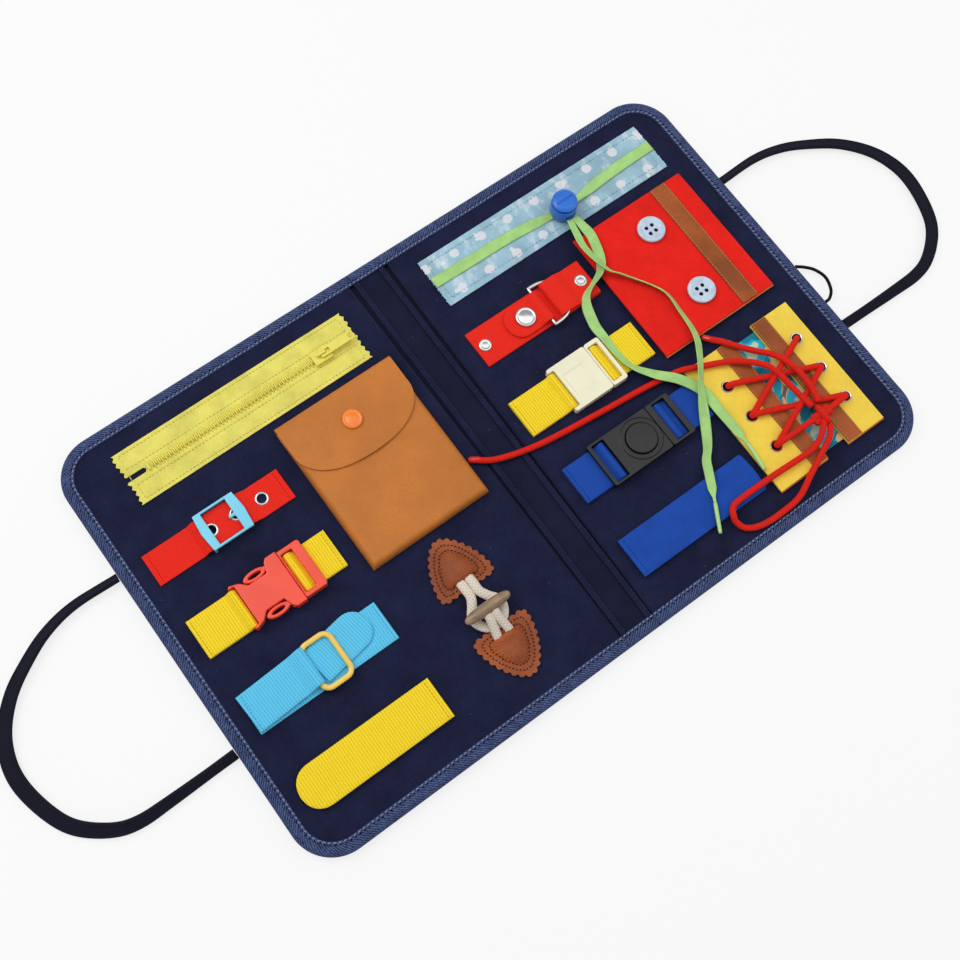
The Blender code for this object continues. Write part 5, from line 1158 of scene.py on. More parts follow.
LACE_LOOP_ROUTE = [
    (0.1642, -0.1006, 0.015), (0.1606, -0.1044, 0.015), (0.153, -0.1092, 0.014),
    (0.144, -0.111, 0.013), (0.1183, -0.1099, 0.012), (0.0925, -0.1096, 0.0113),
    (0.0865, -0.1112, 0.0114), (0.084, -0.1148, 0.0112), (0.0836, -0.1185, 0.009),
    (0.0863, -0.1246, 0.0082), (0.0956, -0.1288, 0.0082), (0.112, -0.1296, 0.0082),
    (0.1249, -0.128, 0.0084), (0.138, -0.1215, 0.0118), (0.15, -0.116, 0.0132), (0.16, -0.111, 0.014),
    (0.1652, -0.1056, 0.0145),
]


def lace_piece(name, route, node, rest=None):
    """One free run of the round lace, along its route."""
    diameter = sizes().lace_diameter
    line = smooth_line(route, diameter * 0.3)
    body = None if rest else "right_page"
    made = piece(swept(name, line, round_section(diameter / 2, 14)), body, lace_braid(), node, "lace_red")
    if rest:
        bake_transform(made)


def lace_foot(name, line):
    """The last centimetre of the long lace, past the left crease."""
    diameter = sizes().lace_diameter
    mesh = swept(name, smooth_line(line, diameter * 0.3), round_section(diameter / 2, 14))
    made = piece(mesh, None, lace_braid(), slot="lace_red")
    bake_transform(made)
    return made


def bead(name, centre, direction, radius, half, finish, body):
    """A round-ended sleeve along a direction: its radius is that of a superellipse of the way along."""
    direction = np.asarray(direction, float) / np.linalg.norm(direction)
    share = np.linspace(-1, 1, 15)
    line = np.asarray(centre, float) + direction * (share[:, None] * half)
    fat = (1 - np.abs(share * 0.995) ** 5) ** 0.4
    return piece(swept(name, line, round_section(radius, 14), scale=fat), body, finish)


def ribbon_section(width):
    """A ribbon's section: flat, with a thicker woven cord along each edge."""
    share = np.linspace(-1, 1, 17)
    half = (0.00026 + 0.00022 * bell(np.abs(share) - 0.86, 0.09)) * (1 - np.abs(share) ** 12) ** 0.5
    top = np.column_stack([share * width / 2, half])
    return np.vstack([top, -top[1:-1]])


def ribbon_piece(name, route, node, turns):
    """One hanging end of the drawstring: a thin flat section that turns about the route, and a clear tip.

    Each of the turns is a share of the way, an angle in degrees and a share of the width."""
    width = sizes().ribbon_width
    line = smooth_line(route, 0.0012)
    walked = np.linspace(0, 1, len(line))
    places, angles, widths = np.array(turns, float).T
    twist = np.radians(np.interp(walked, places, angles))
    left = length_of(line) * (1 - walked)
    narrow = np.interp(walked, places, widths) * np.interp(left, [0, 0.0215, 0.027], [0.34, 0.34, 1.0])
    scale = narrowed(narrow)
    green = satin_ribbon("ribbon_cloth", tone("ribbon"))
    mesh = swept(name, line, ribbon_section(width), scale=scale, twist=twist)
    made = piece(mesh, None, green, node, "green_ribbon")
    clear = plastic("ribbon_tip", shade(tone("ribbon"), 0.9), roughness=0.15, coat=0.6)
    tip_line = line[-int(0.021 / 0.0012) :]
    tip_narrow = np.interp(np.linspace(0, 1, len(tip_line)), [0, 0.12, 0.9, 1], [0.7, 1.0, 0.9, 0.7])
    tip_section = flat_section(width * 0.4, 0.0017, edge=0.5, across=6)
    tip_mesh = swept(name + "_tip", tip_line, tip_section, scale=tip_narrow, twist=twist[-len(tip_line) :])
    tip = piece(tip_mesh, "right_page", clear)
    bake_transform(made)


class BOOK_OT_cords(bpy.types.Operator):
    """Adds the closing loop, the drawstring's hanging ends and the free runs of the lace"""

    bl_idname = "book.cords"
    bl_label = "Cords"

    def execute(self, context):
        line = smooth_line(ELASTIC_ROUTE, 0.0006)
        black = braid("elastic_braid", tone("elastic"), turn=0.002, diameter=0.002, dark=0.5)
        mesh = swept("closing_loop", line, round_section(0.001, 12))
        loop = piece(mesh, "right_page", black, "elastic_loop", "black_elastic")
        ribbon_piece("ribbon_end_a", RIBBON_A_ROUTE, "ribbon_tail_a", RIBBON_A_TURNS)
        ribbon_piece("ribbon_end_b", RIBBON_B_ROUTE, "ribbon_tail_b", RIBBON_B_TURNS)
        whole = smooth_line(LACE_LONG_ROUTE, 0.001)
        foot = int((whole[:, 0] < LACE_FOOT_X).sum())
        tip = lace_tip("lace_tip_long", LACE_LONG_ROUTE, "left_page")
        past_crease = [tip, lace_foot("lace_foot_long", whole[: foot + 1])]
        lace_piece("lace_end_long", whole[foot:][::-1], "lace_tail_long", "spine")
        tip = lace_tip("lace_tip_short", LACE_SHORT_ROUTE)
        lace_piece("lace_end_short", LACE_SHORT_ROUTE[::-1], "lace_tail_short")
        lace_piece("lace_bow", LACE_LOOP_ROUTE, "lace_loop")
        return {"FINISHED"}


def lace_tip(name, route, body="right_page"):
    """The melted end of a lace: a short smooth sleeve round its first few millimetres."""
    route = np.asarray(route, float)
    clear = plastic("lace_end_sleeve", shade(tone("lace"), 0.85), roughness=0.2, coat=0.5)
    centre = route[0] + (route[1] - route[0]) / np.linalg.norm(route[1] - route[0]) * 0.003
    return bead(name, centre, route[1] - route[0], sizes().lace_diameter * 0.52, 0.004, clear, body)


# Board


def page_edge(side, inset):
    """Points round a page's three outer edges, pulled in by an inset.

    They are a run along X, a quarter circle, a run along Y, another quarter circle and the run back."""
    outer, top, radius = HALF_LENGTH - inset, HALF_DEPTH - inset, max(CORNER - inset, 0.001)
    run = np.linspace(0, 1, 130)[:, None]
    turn = np.radians(np.linspace(0, 90, 26))[1:-1]
    corner = np.array([outer - radius, top - radius])
    lower_run = np.array([CREASE, -top]) + run * np.array([corner[0] - CREASE, 0])
    lower_arc = np.column_stack([corner[0] + radius * np.sin(turn), -corner[1] - radius * np.cos(turn)])
    rise = np.array([outer, -corner[1]]) + run * np.array([0, 2 * corner[1]])
    upper_arc = np.column_stack([corner[0] + radius * np.cos(turn), corner[1] + radius * np.sin(turn)])
    upper_run = np.array([corner[0], top]) + run * np.array([CREASE - corner[0], 0])
    points = np.vstack([lower_run, lower_arc, rise, upper_arc, upper_run])
    return points * np.array([side, 1.0])


BINDING_SECTION = np.array(
    [
        (8.0, 6.2), (7.9, 6.55), (7.3, 6.75), (6.4, 6.66), (5.6, 6.6), (4.9, 6.86), (3.8, 7.02),
        (2.4, 6.9), (1.2, 6.45), (0.4, 5.6), (0.05, 4.4), (0.0, 3.3), (0.1, 2.2), (0.5, 1.15),
        (1.3, 0.45), (2.6, 0.12), (4.6, 0.04), (6.4, 0.06), (7.7, 0.16), (8.0, 0.45), (7.8, 0.75),
        (5.0, 0.8), (2.8, 0.85), (1.7, 1.2), (1.05, 2.00), (0.8, 3.3), (1.05, 4.7), (1.7, 5.55),
        (2.8, 6.00), (5.0, 6.05), (7.8, 6.00),
    ]
) * MM


def binding_band(name, edges, walked, body, finish, node):
    """Binding tape folded round an edge: each of its section's insets is an outline, set at the section's height.

    The height also swells and dips by a tenth of a millimetre, in step with the pull of the thread."""
    insets, heights = BINDING_SECTION.T
    points = np.stack([lifted(edge, height) for edge, height in zip(edges, heights)], 1)
    swell = np.sin(walked * 410) * 0.5 + np.sin(walked * 173 + 1.3) * 0.5
    upper = np.clip((heights - 0.005) / 0.002, 0, 1) * np.clip((0.0055 - insets) / 0.003, 0, 1)
    points[..., 2] += 0.00014 * swell[:, None] * upper[None]
    rows, columns = points.shape[:2]
    quads, i, j = grid_faces(rows, columns, False, True)
    uv = np.stack([walked[i], closed_length(BINDING_SECTION)[j]], -1)
    mesh = mesh_of(name, points, [quads, end_caps(rows, columns)], [uv, np.zeros((2, columns, 2))])
    return piece(mesh, body, finish, node, "navy_twill" if node else None)


def edge_seams(label, body, inner, outer):
    """The binding's seam on the front and the back: plump pale stitches, and dark beads painted as the shade in the
    holes that the needle left.
    """
    yarn = thread("binding_thread", tone("binding_thread"))
    # painted shade: dark beads that stand for the shadow in the needle holes
    hole = thread("needle_holes", shade(tone("binding"), 0.12))
    step, size = sizes().ladder_pitch, sizes().ladder_length
    for where, level in (("front", 0.00668), ("back", 0.0005)):
        rows = (("stitches", inner, yarn, size, 0.00056, 0.3), ("holes", outer, hole, 0.0011, 0.00042, 0.16))
        for kind, line, finish, reach, radius, bury in rows:
            name = f"{label}_binding_{where}_{kind}"
            stitches(name, lifted(line, level), body, finish, step, reach, radius, lean=0.35, bury=bury)


def felt_relief(seed):
    """Slight unevenness of a stitched felt page: long swells, and fine pressing marks."""

    def relief(x, y):
        swell = np.sin(x * 47 + seed) * np.sin(y * 39 + seed * 2) + 0.5 * np.sin(x * 95 - y * 71 + seed)
        fine = np.sin(x * 260 + 3 * np.sin(y * 90)) * np.sin(y * 240 + 2 * np.sin(x * 80))
        return 0.00006 * swell + 0.00003 * fine

    return relief


class BOOK_OT_board(bpy.types.Operator):
    """Adds the felt sheets, the binding with its ladder stitches, the spine and the handles"""

    bl_idname = "book.board"
    bl_label = "Board"

    def execute(self, context):
        for side, page in ((-1, "left"), (1, "right")):
            self.add_page(side, page)
            self.add_handle(side, page)
        self.add_spine()
        return {"FINISHED"}

    def add_page(self, side, page):
        body = f"{page}_page"
        inset = 0.0012
        outline = page_edge(side, inset)[::3]
        relief = felt_relief(1.7 if side < 0 else 4.1)
        top = float(box(f"{page}_page_felt")[1][2])
        centre = (side * 0.115, 0.0)
        front = ring_sheet(f"{page}_front_felt", outline, top + 0.00012, 46, centre, relief)
        sheet = piece(front, body, navy_felt(), f"{page}_page_felt", "navy_felt")
        thicken(sheet, 0.0021)
        back_high = float(box(f"{page}_page_back")[1][2])
        back = ring_sheet(f"{page}_back_felt", outline, back_high, 24, centre)
        cover = piece(back, body, navy_felt(), f"{page}_page_back", "navy_felt")
        thicken(cover, 0.0022)
        middle_line = page_edge(side, BINDING_WIDTH / 2)
        edges = [page_edge(side, inset) for inset in BINDING_SECTION[:, 0]]
        tape = twill("binding_twill", tone("binding"), tone("binding_crown"))
        binding_band(f"{page}_binding_tape", edges, walked_length(middle_line), body, tape, f"{page}_binding")
        edge_seams(page, body, *(page_edge(side, inset) for inset in SEAM_INSETS))

    def add_handle(self, side, page):
        hinge_x, level = 0.2203, 0.0015
        reach, half = 0.10125, 0.06
        shares = np.array(
            [
                (0, 1), (0.275, 1.01), (0.475, 0.94), (0.647, 0.8), (0.8, 0.627), (0.925, 0.385),
                (0.992, 0.118), (1, -0.16), (0.95, -0.5), (0.873, -0.73), (0.735, -0.92), (0.6, -1),
                (0.4, -1.01), (0, -1),
            ]
        )
        route = np.column_stack([side * (hinge_x + shares[:, 0] * reach), shares[:, 1] * half])
        line = smooth_line(lifted(route, level), 0.0015)
        share = np.linspace(0, 1, len(line))
        lean = np.radians(np.interp(share, [0, 0.12, 0.45, 0.6, 0.88, 1], [38, 30, 8, 12, 34, 38])) * -side
        wide = np.interp(share, [0, 0.06, 0.3, 0.5, 0.7, 0.94, 1], [0.62, 0.6, 0.82, 0.92, 0.84, 0.62, 0.64])
        line[:, 2] = level + 0.0046 * wide * np.sin(np.abs(lean))
        strap_cloth = fine_tape("handle_cloth", tone("handle"))
        scale = narrowed(wide)
        mesh = swept(f"{page}_strap_handle", line, handle_section(0.0105, 0.0029), scale=scale, twist=lean)
        handle = piece(mesh, None, strap_cloth, f"{page}_handle", "handle_fabric")
        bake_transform(handle)
        sides, up = rolled(*frames_along(line)[1:], lean)
        yarn = thread("handle_thread", shade(tone("handle"), 2.2))
        for label, shift in (("outer", 0.0036), ("inner", -0.0036)):
            row = line + sides * (shift * wide)[:, None] + up * 0.00135
            name = f"{page}_handle_{label}_seam"
            stitches(name, row[3:-3], f"{page}_handle", yarn, sizes().seam_pitch, 0.0019, 0.0002)

    def add_spine(self):
        edge = CREASE - 0.0003
        top = HALF_DEPTH - 0.0012
        dark = felt("spine_felt", tone("spine_felt"), lint_share=0.3)
        line = np.array([(0, y, 0.00385) for y in np.linspace(-top, top, 120)])
        profile = np.array(
            [
                (-edge, -2.7),
                (-edge, 0.6),
                (-6.6 * MM, 1.3),
                (-5.6 * MM, 1.62),
                (0.0, 1.72),
                (5.6 * MM, 1.62),
                (6.6 * MM, 1.3),
                (edge, 0.6),
                (edge, -2.7),
                (0.0, -2.75),
            ]
        )
        profile[:, 1] *= MM
        piece(swept("spine_strip", line, profile[::-1]), "spine", dark, "spine", "dark_felt")
        navy = navy_felt()
        yarn = thread("welt_thread", shade(tone("page_felt"), 1.9))
        run = np.linspace(-top + BINDING_WIDTH * 0.6, top - BINDING_WIDTH * 0.6, 160)
        for label, sign in (("left", -1), ("right", 1)):
            centre = sign * 0.0089
            wander = 0.0001 * np.sin(run * 60 + sign)
            welt_line = np.column_stack([centre + wander, run, np.full(len(run), 0.0058)])
            section = flat_section(0.0036, 0.0013, 0.00025, 0.5, 8, 4)
            piece(swept(f"spine_{label}_welt", welt_line, section), "spine", navy)
            for where, shift in (("near", -0.0013), ("far", 0.0013)):
                row = np.column_stack([centre + wander + shift, run, np.full(len(run), 0.0064)])
                stitches(f"spine_{label}_{where}_seam", row, "spine", yarn, sizes().seam_pitch, 0.002, 0.0002)
        tape = twill("binding_twill", tone("binding"), tone("binding_crown"))
        x = np.linspace(-CREASE + 0.0002, CREASE - 0.0002, 24)
        for label, sign in (("head", 1), ("foot", -1)):
            insets = [*BINDING_SECTION[:, 0], *SEAM_INSETS]
            edges = [np.column_stack([x, np.full(len(x), sign * (HALF_DEPTH - inset))]) for inset in insets]
            binding_band(f"spine_{label}_binding", edges[:-2], x, "spine", tape, None)
            edge_seams(f"spine_{label}", "spine", *edges[-2:])
        self.add_hinges(top)

    def add_hinges(self, top):
        """Strips of cloth inside the board that close the slit between the spine and each page."""
        dark = felt("spine_felt", tone("spine_felt"), lint_share=0.3)
        for page, side in (("left", -1), ("right", 1)):
            x = side * np.array([0.008, 0.0104, 0.0107, CREASE - 0.0002, CREASE + 0.0001, CREASE + 0.0005, 0.014])
            made = cloth(f"{page}_hinge_cloth", x, np.linspace(-top, top, 60), 0.0035, dark, None, 0.0003, 0.0)
            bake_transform(made)


def handle_section(width, thickness):
    """A flat strap whose long edges are turned over: a thin oval that swells by a third near each side."""
    share = np.linspace(-1, 1, 19)
    swell = 0.72 + 0.28 * bell(np.abs(share) - 0.78, 0.16)
    rim = (1 - np.abs(share) ** 8) ** 0.5
    top = np.column_stack([share * width / 2, thickness / 2 * swell * rim])
    return np.vstack([top, -top[1:-1]])


# Zip


class BOOK_OT_zip(bpy.types.Operator):
    """Adds the zip's two tapes, its teeth, the slider and the pull"""

    bl_idname = "book.zip"
    bl_label = "Zip"

    def execute(self, context):
        tape = fine_tape("zip_cloth", tone("zip_tape"))
        moulding = plastic("zip_moulding", tone("zip_plastic"), roughness=0.3)
        low, high = box("zip_tape_lower")
        upper_high = box("zip_tape_upper")[1]
        low_x, high_x = float(low[0]), float(high[0])
        centre_y = float(low[1] + upper_high[1]) / 2
        half = float(upper_high[1]) - centre_y
        slot_end = low_x + 0.0135
        yarn = thread("zip_thread", shade(tone("zip_tape"), 0.72))
        rows = np.concatenate([np.linspace(0, 0.12, 8), np.linspace(0.14, 1, 44)])
        for label, side in (("upper", 1), ("lower", -1)):
            v, u = np.meshgrid(rows, np.linspace(0, 1, 300), indexing="ij")
            pink = 0.0016 * np.abs(((v * half / 0.0042 + 0.25) % 1) * 2 - 1) + 0.0004 * np.sin(v * half * 330 + side)
            x = low_x + pink + (high_x - low_x - 2 * pink) * u
            gap = np.clip(1 - np.abs(x - (high_x - 0.0058)) / 0.0014, 0, 1) ** 0.3
            inner = 0.0016 * np.sqrt(np.clip((slot_end - x) / 0.0014, 0, 1)) + 0.0014 * gap + 0.00004
            y = inner + v * (half - inner)
            fold = 0.00022 * bell(y - 0.0042, 0.0008) - 0.00014 * bell(y - 0.0056, 0.0005)
            edge = 0.00016 * bell(half - 0.0022 - y, 0.0005)
            wave = 0.00012 * np.sin(x * 130 + side) * np.sin(y * 220)
            z = SEAT + 0.0009 + fold - edge + wave
            y = centre_y + side * y
            node = f"zip_tape_{label}"
            sheet = warped(f"zip_{label}_tape", x, y, z, tape, "left_page", 0.0008, 0.0002, node, "pale_yellow")
            first, last, near, far = low_x + 0.004, high_x - 0.004, 0.0024, half - 0.0024
            seams = (
                ("outer", (first, half - 0.0022), (last, half - 0.0022)),
                ("inner", (first, 0.0056), (last, 0.0056)),
                ("left", (low_x + 0.0042, near), (low_x + 0.0042, far)),
                ("right", (high_x - 0.0042, near), (high_x - 0.0042, far)),
            )
            for where, start, end in seams:
                ends = [(at_x, centre_y + side * at_y) for at_x, at_y in (start, end)]
                row = straight(*ends, SEAT + 0.0009)
                stitches(f"zip_{label}_{where}_seam", row, "left_page", yarn, 0.0024, 0.0018, 0.0002)
            self.add_teeth(label, side, low_x, high_x, centre_y, moulding)
        bead("zip_end_tack", (low_x + 0.0032, centre_y, SEAT + 0.0009), (0, 1, 0), 0.00032, 0.0023, yarn, "left_page")
        stop = (low_x + 0.0152, centre_y, SEAT + 0.0015)
        bead("zip_bottom_stop", stop, (0, 1, 0), 0.0011, 0.0026, moulding, "left_page")
        moulded("zip_slider_body", "zip_slider", "zip_slider", moulding, 0.0002, 4)
        moulded("zip_pull_tab", "zip_pull", "zip_pull", moulding, 0.00018, 3)
        return {"FINISHED"}

    def add_teeth(self, label, side, low_x, high_x, centre_y, finish):
        pitch = sizes().tooth_pitch
        start = low_x + 0.0172 + (0 if side > 0 else pitch / 2)
        stop = high_x - 0.021
        count = round((stop - start) / pitch)
        xs = start + np.arange(count) * pitch + 0.00045
        reach = np.array([-0.0013, 0.0002, 0.0016, 0.0031])
        half = np.array([0.0005, 0.00056, 0.0005, 0.00042])
        low = np.array([0.0008, 0.0008, 0.0007, 0.0006])
        tall = np.array([0.0022, 0.0024, 0.0021, 0.0013])
        angle = np.linspace(0, 2 * np.pi, 8, endpoint=False) + np.pi / 8
        across = np.sign(np.cos(angle)) * np.abs(np.cos(angle)) ** 0.6
        upright = np.sign(np.sin(angle)) * np.abs(np.sin(angle)) ** 0.6
        x = half[:, None] * across
        y = np.broadcast_to((centre_y + side * reach)[:, None], x.shape)
        z = SEAT + (tall + low)[:, None] / 2 + (tall - low)[:, None] / 2 * upright
        base = np.stack([x, y, z], -1).reshape(-1, 3)
        points = base[None] + np.column_stack([xs, np.zeros(count), np.zeros(count)])[:, None]
        piece(repeated(f"zip_{label}_teeth", points, *x.shape), "left_page", finish, slot="yellow_plastic")


# Belt


class BOOK_OT_belt(bpy.types.Operator):
    """Adds the red belt, its three eyelets and the frame buckle"""

    bl_idname = "book.belt"
    bl_label = "Belt"

    def execute(self, context):
        low, high = box("belt_strap")
        centre_y = 0.051
        half = 0.0102
        rise, run = 0.0024, 0.0028
        frame_low, frame_high = -0.1683, -0.1421
        holes = [(x, centre_y) for x in (-0.1633, -0.1466, -0.1299)]

        def height(x, y):
            stops = [frame_low - run * 2, frame_low - run, frame_high + run, frame_high + run * 2]
            ramp = np.interp(x, stops, [0, 1, 1, 0])
            ease = ramp * ramp * (3 - 2 * ramp)
            return SEAT + WEB + rise * ease + 0.00006 * np.sin(x * 400) * np.sin(y * 500)

        holed_sheet(
            "belt_webbing",
            (low[0], centre_y - half),
            (high[0], centre_y + half),
            holes,
            0.0028,
            height,
            red_web(),
            "left_page",
            WEB,
            0,
            "belt_strap",
            "red_webbing",
        )
        silver = plated()
        for index, hole in enumerate(holes):
            top = float(height(np.array(hole[0]), np.array(hole[1])))
            eyelet(f"belt_eyelet_{index}", hole, top, top - WEB - 0.0002, "left_page", silver, 0.0042, 0.0029)
        blue = plastic("belt_plastic", tone("belt_buckle"))
        moulded("belt_frame", "belt_buckle", "belt_buckle", blue, 0.00022, 5)
        peg = (frame_high - 0.0038, centre_y, float(box("belt_buckle")[1][2]) - 0.0014)
        bead("belt_peg", peg, (1, 0, 0), 0.0014, 0.0028, blue, "belt_buckle")
        yarn = thread("red_thread", shade(tone("red_webbing"), 0.6))
        for label, x in (("left", low[0] + 0.003), ("right", high[0] - 0.003)):
            row = straight((x, centre_y - half + 0.001), (x, centre_y + half - 0.001), SEAT + WEB)
            stitches(f"belt_{label}_seam", row, "left_page", yarn, sizes().seam_pitch * 0.8, 0.0016, 0.00022)
        return {"FINISHED"}


# Buckles


def sewn_seam(name, x, centre_y, width, height, body, finish):
    """A seam across a strap's sewn end."""
    row = straight((x, centre_y - width / 2 + 0.001), (x, centre_y + width / 2 - 0.001), height)
    return stitches(name, row, body, finish, sizes().seam_pitch * 0.8, 0.0016, 0.00022)


def buckle_straps(label, page, finish, yarn, slot):
    """The two folded straps of a buckle, each from its sewn end to its bar and back."""
    for where, sewn in (("left", 0), ("right", 1)):
        node = f"{label}_strap_{where}"
        low, high = box(node)
        centre_y = float((low[1] + high[1]) / 2)
        sewn_x, far_x = (low[0], high[0]) if sewn == 0 else (high[0], low[0])
        line = folded_line(float(sewn_x), float(far_x), centre_y)
        side = 1 if far_x > sewn_x else -1
        body = f"{page}_page" if where == "left" else None
        made = strap(f"{label}_{where}_webbing", line, STRAP_WIDTH, finish, body, node, slot, crown=0.00012)
        if where == "right":
            start = (float(sewn_x) + side * 0.0045, centre_y, HIGH_LAYER)
            end = (float(far_x) - side * 0.008, centre_y, HIGH_LAYER)
            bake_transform(made)
        seam_x, seam_z = float(sewn_x) + side * 0.0022, HIGH_LAYER + WEB / 2 + 0.0001
        sewn_seam(f"{label}_{where}_seam", seam_x, centre_y, STRAP_WIDTH, seam_z, f"{page}_page", yarn)


class BOOK_OT_clip(bpy.types.Operator):
    """Adds the coral side-release clip and its yellow straps"""

    bl_idname = "book.clip"
    bl_label = "Clip"

    def execute(self, context):
        coral = plastic("clip_plastic", tone("clip"), roughness=0.3)
        moulded("clip_shell", "clip_socket", "left_page", coral, 0.00032, 6)
        moulded("clip_prongs", "clip_plug", "clip_plug", coral, 0.00032, 6)
        yarn = thread("yellow_thread", shade(tone("yellow_webbing"), 0.65))
        buckle_straps("clip", "left", yellow_web(), yarn, "yellow_webbing")
        return {"FINISHED"}


class BOOK_OT_plate_buckle(bpy.types.Operator):
    """Adds the cream plate buckle and its yellow straps"""

    bl_idname = "book.plate_buckle"
    bl_label = "Plate buckle"

    def execute(self, context):
        cream = plastic("plate_plastic", tone("plate_buckle"), roughness=0.28, coat=0.25)
        moulded("plate_shell", "cream_socket", "right_page", cream, 0.0003, 5)
        moulded("plate_tongue", "cream_plug", "cream_plug", cream, 0.0003, 5)
        yarn = thread("yellow_thread", shade(tone("yellow_webbing"), 0.65))
        buckle_straps("cream", "right", yellow_web(), yarn, "yellow_webbing")
        return {"FINISHED"}


class BOOK_OT_push_buckle(bpy.types.Operator):
    """Adds the black buckle with its round button and blue straps"""

    bl_idname = "book.push_buckle"
    bl_label = "Push buckle"

    def execute(self, context):
        black = plastic("push_plastic", tone("push_buckle"), roughness=0.45, coat=0.05, texture=0.4)
        moulded("push_shell", "push_socket", "right_page", black, 0.00034, 5)
        moulded("push_tongue", "push_plug", "push_plug", black, 0.0003, 5)
        moulded("push_dome", "push_button", "push_button", black, 0.00028, 8)
        yarn = thread("royal_thread", shade(tone("royal_webbing"), 0.6))
        buckle_straps("push", "right", royal_web(), yarn, "royal_webbing")
        return {"FINISHED"}


# Ring strap


class BOOK_OT_ring_strap(bpy.types.Operator):
    """Adds the sky-blue strap, its yellow ring and the tab looped on the ring"""

    bl_idname = "book.ring_strap"
    bl_label = "Ring strap"

    def execute(self, context):
        low, high = box("ring_strap")
        centre_y = float((low[1] + high[1]) / 2)
        start_x, end_x = float(low[0]), float(high[0])
        ring_low, ring_high = box("slide_ring")
        wire, wide = 0.0011, 0.0016
        left_bar, right_bar = float(ring_low[0]) + wide, float(ring_high[0]) - wide
        fold = wire + GAP + WEB / 2
        second = LOW_LAYER + WEB + GAP
        third = second + WEB + GAP
        ring_z = second + fold
        finish = sky_web()
        base = xz_line([(start_x, LOW_LAYER), (end_x, LOW_LAYER)], centre_y)
        strap("ring_base_webbing", base, STRAP_WIDTH, finish, "left_page", "ring_strap", "sky_webbing")
        turn = arc_points(left_bar, ring_z, fold, 90, -90)
        over = [(start_x, third), (left_bar - fold * 4, third), (left_bar - fold, ring_z + fold)]
        stub = xz_line(np.vstack([over, turn, [(start_x, second)]]), centre_y)
        stub[:, 1] += 0.055 * (stub[:, 0] - start_x)
        strap("ring_stub_webbing", stub, STRAP_WIDTH - 0.0012, finish, "left_page")
        tip_x = end_x - 0.0085
        line = xz_line([(left_bar + fold + 0.0004, second), (tip_x, second)], centre_y)
        line[:, 1] += 0.17 * (line[:, 0] - left_bar)
        scale = narrowed(nose_widths(walked_length(line), 0.0115, 2.2))
        tab = strap("ring_tab_webbing", line, 0.0226, finish, None, "ring_tab", "sky_webbing", scale=scale, crown=0.0)
        start, end = (right_bar - 0.0026, centre_y, second), (right_bar + 0.0026, centre_y, second)
        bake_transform(tab)
        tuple(start)
        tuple(end)
        half = float(ring_high[1] - ring_low[1]) / 2 - wide
        corners = [(left_bar, -half), (right_bar, -half), (right_bar, half), (left_bar, half)]
        corners = np.array(corners) + (0, centre_y)
        outline = outline_line(corners, 0.0048, 0.0012, 12)
        honey = plastic("ring_plastic", tone("ring"), roughness=0.28, coat=0.3)
        wire_ring("strap_ring", outline, ring_z, wide, "slide_ring", honey, "slide_ring", "ring_plastic", wire / wide)
        yarn = thread("sky_thread", shade(tone("sky_webbing"), 0.7))
        above = WEB / 2 + 0.0001
        sewn_seam("ring_left_seam", start_x + 0.0022, centre_y, STRAP_WIDTH - 0.001, third + above, "left_page", yarn)
        sewn_seam("ring_right_seam", end_x - 0.002, centre_y, STRAP_WIDTH, LOW_LAYER + above, "left_page", yarn)
        return {"FINISHED"}


# Hook straps


class BOOK_OT_hook_straps(bpy.types.Operator):
    """Adds the two peeling straps and the hook pads under them"""

    bl_idname = "book.hook_straps"
    bl_label = "Hook straps"

    def execute(self, context):
        centre_y = -0.1005
        royal = fine_tape("hook_tape", tone("royal_webbing"), 0.0006)
        kinds = (
            ("yellow", "left", yellow_web(), 1, "yellow_webbing", 0.0095, 0.0128, 2.15),
            ("blue", "right", royal, 0, "royal_webbing", 0.0, 0.0022, 3.0),
        )
        for name, page, finish, sewn, slot, bare, radius, power in kinds:
            pad = f"{name}_hook_pad"
            low, high = box(pad)
            bristle = felt(f"{name}_hooks", shade(tone(slot), 0.75), contrast=0.5)
            xs, ys = np.linspace(low[0] + bare, high[0], 60), np.linspace(low[1], high[1], 18)
            x, y = np.meshgrid(xs, ys, indexing="ij")
            z = high[2] + ripple(0.0001, 300)(x, y)
            warped(f"{name}_pad", x, y, z, bristle, f"{page}_page", WEB, 0.0003, pad, slot)
            node = f"{name}_hook_strap"
            low, high = box(node)
            ends, level = (float(low[0]), float(high[0])), (low[2] + high[2]) / 2
            line = xz_line([(ends[sewn], level), (ends[1 - sewn], level)], centre_y)
            walked = walked_length(line)
            share = nose_widths(walked, radius, power)
            wave = 0.00016 * np.sin(walked * 90) * np.clip(walked / 0.02, 0, 1)
            line[:, 2] += np.clip(wave, 0, 1)
            side = 1 if sewn == 0 else -1
            bend = [(ends[sewn] + side * reach, centre_y, float(low[2])) for reach in (0.001, 0.0085)]
            peeling = strap(f"{name}_peeling_strap", line, 0.0258, finish, None, node, slot, narrowed(share))
            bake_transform(peeling)
            yarn = thread(f"{name}_hook_thread", shade(tone(slot), 0.62))
            top = high[2] + 0.0001
            seam = sewn_seam(f"{name}_sewn_seam", ends[sewn] + side * 0.003, centre_y, 0.0258, top, None, yarn)
            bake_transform(seam)
            if name == "blue":
                sewn_seam(f"{name}_free_seam", ends[1 - sewn] - side * 0.004, centre_y, 0.0258, top, node, yarn)
        return {"FINISHED"}


# Pouch


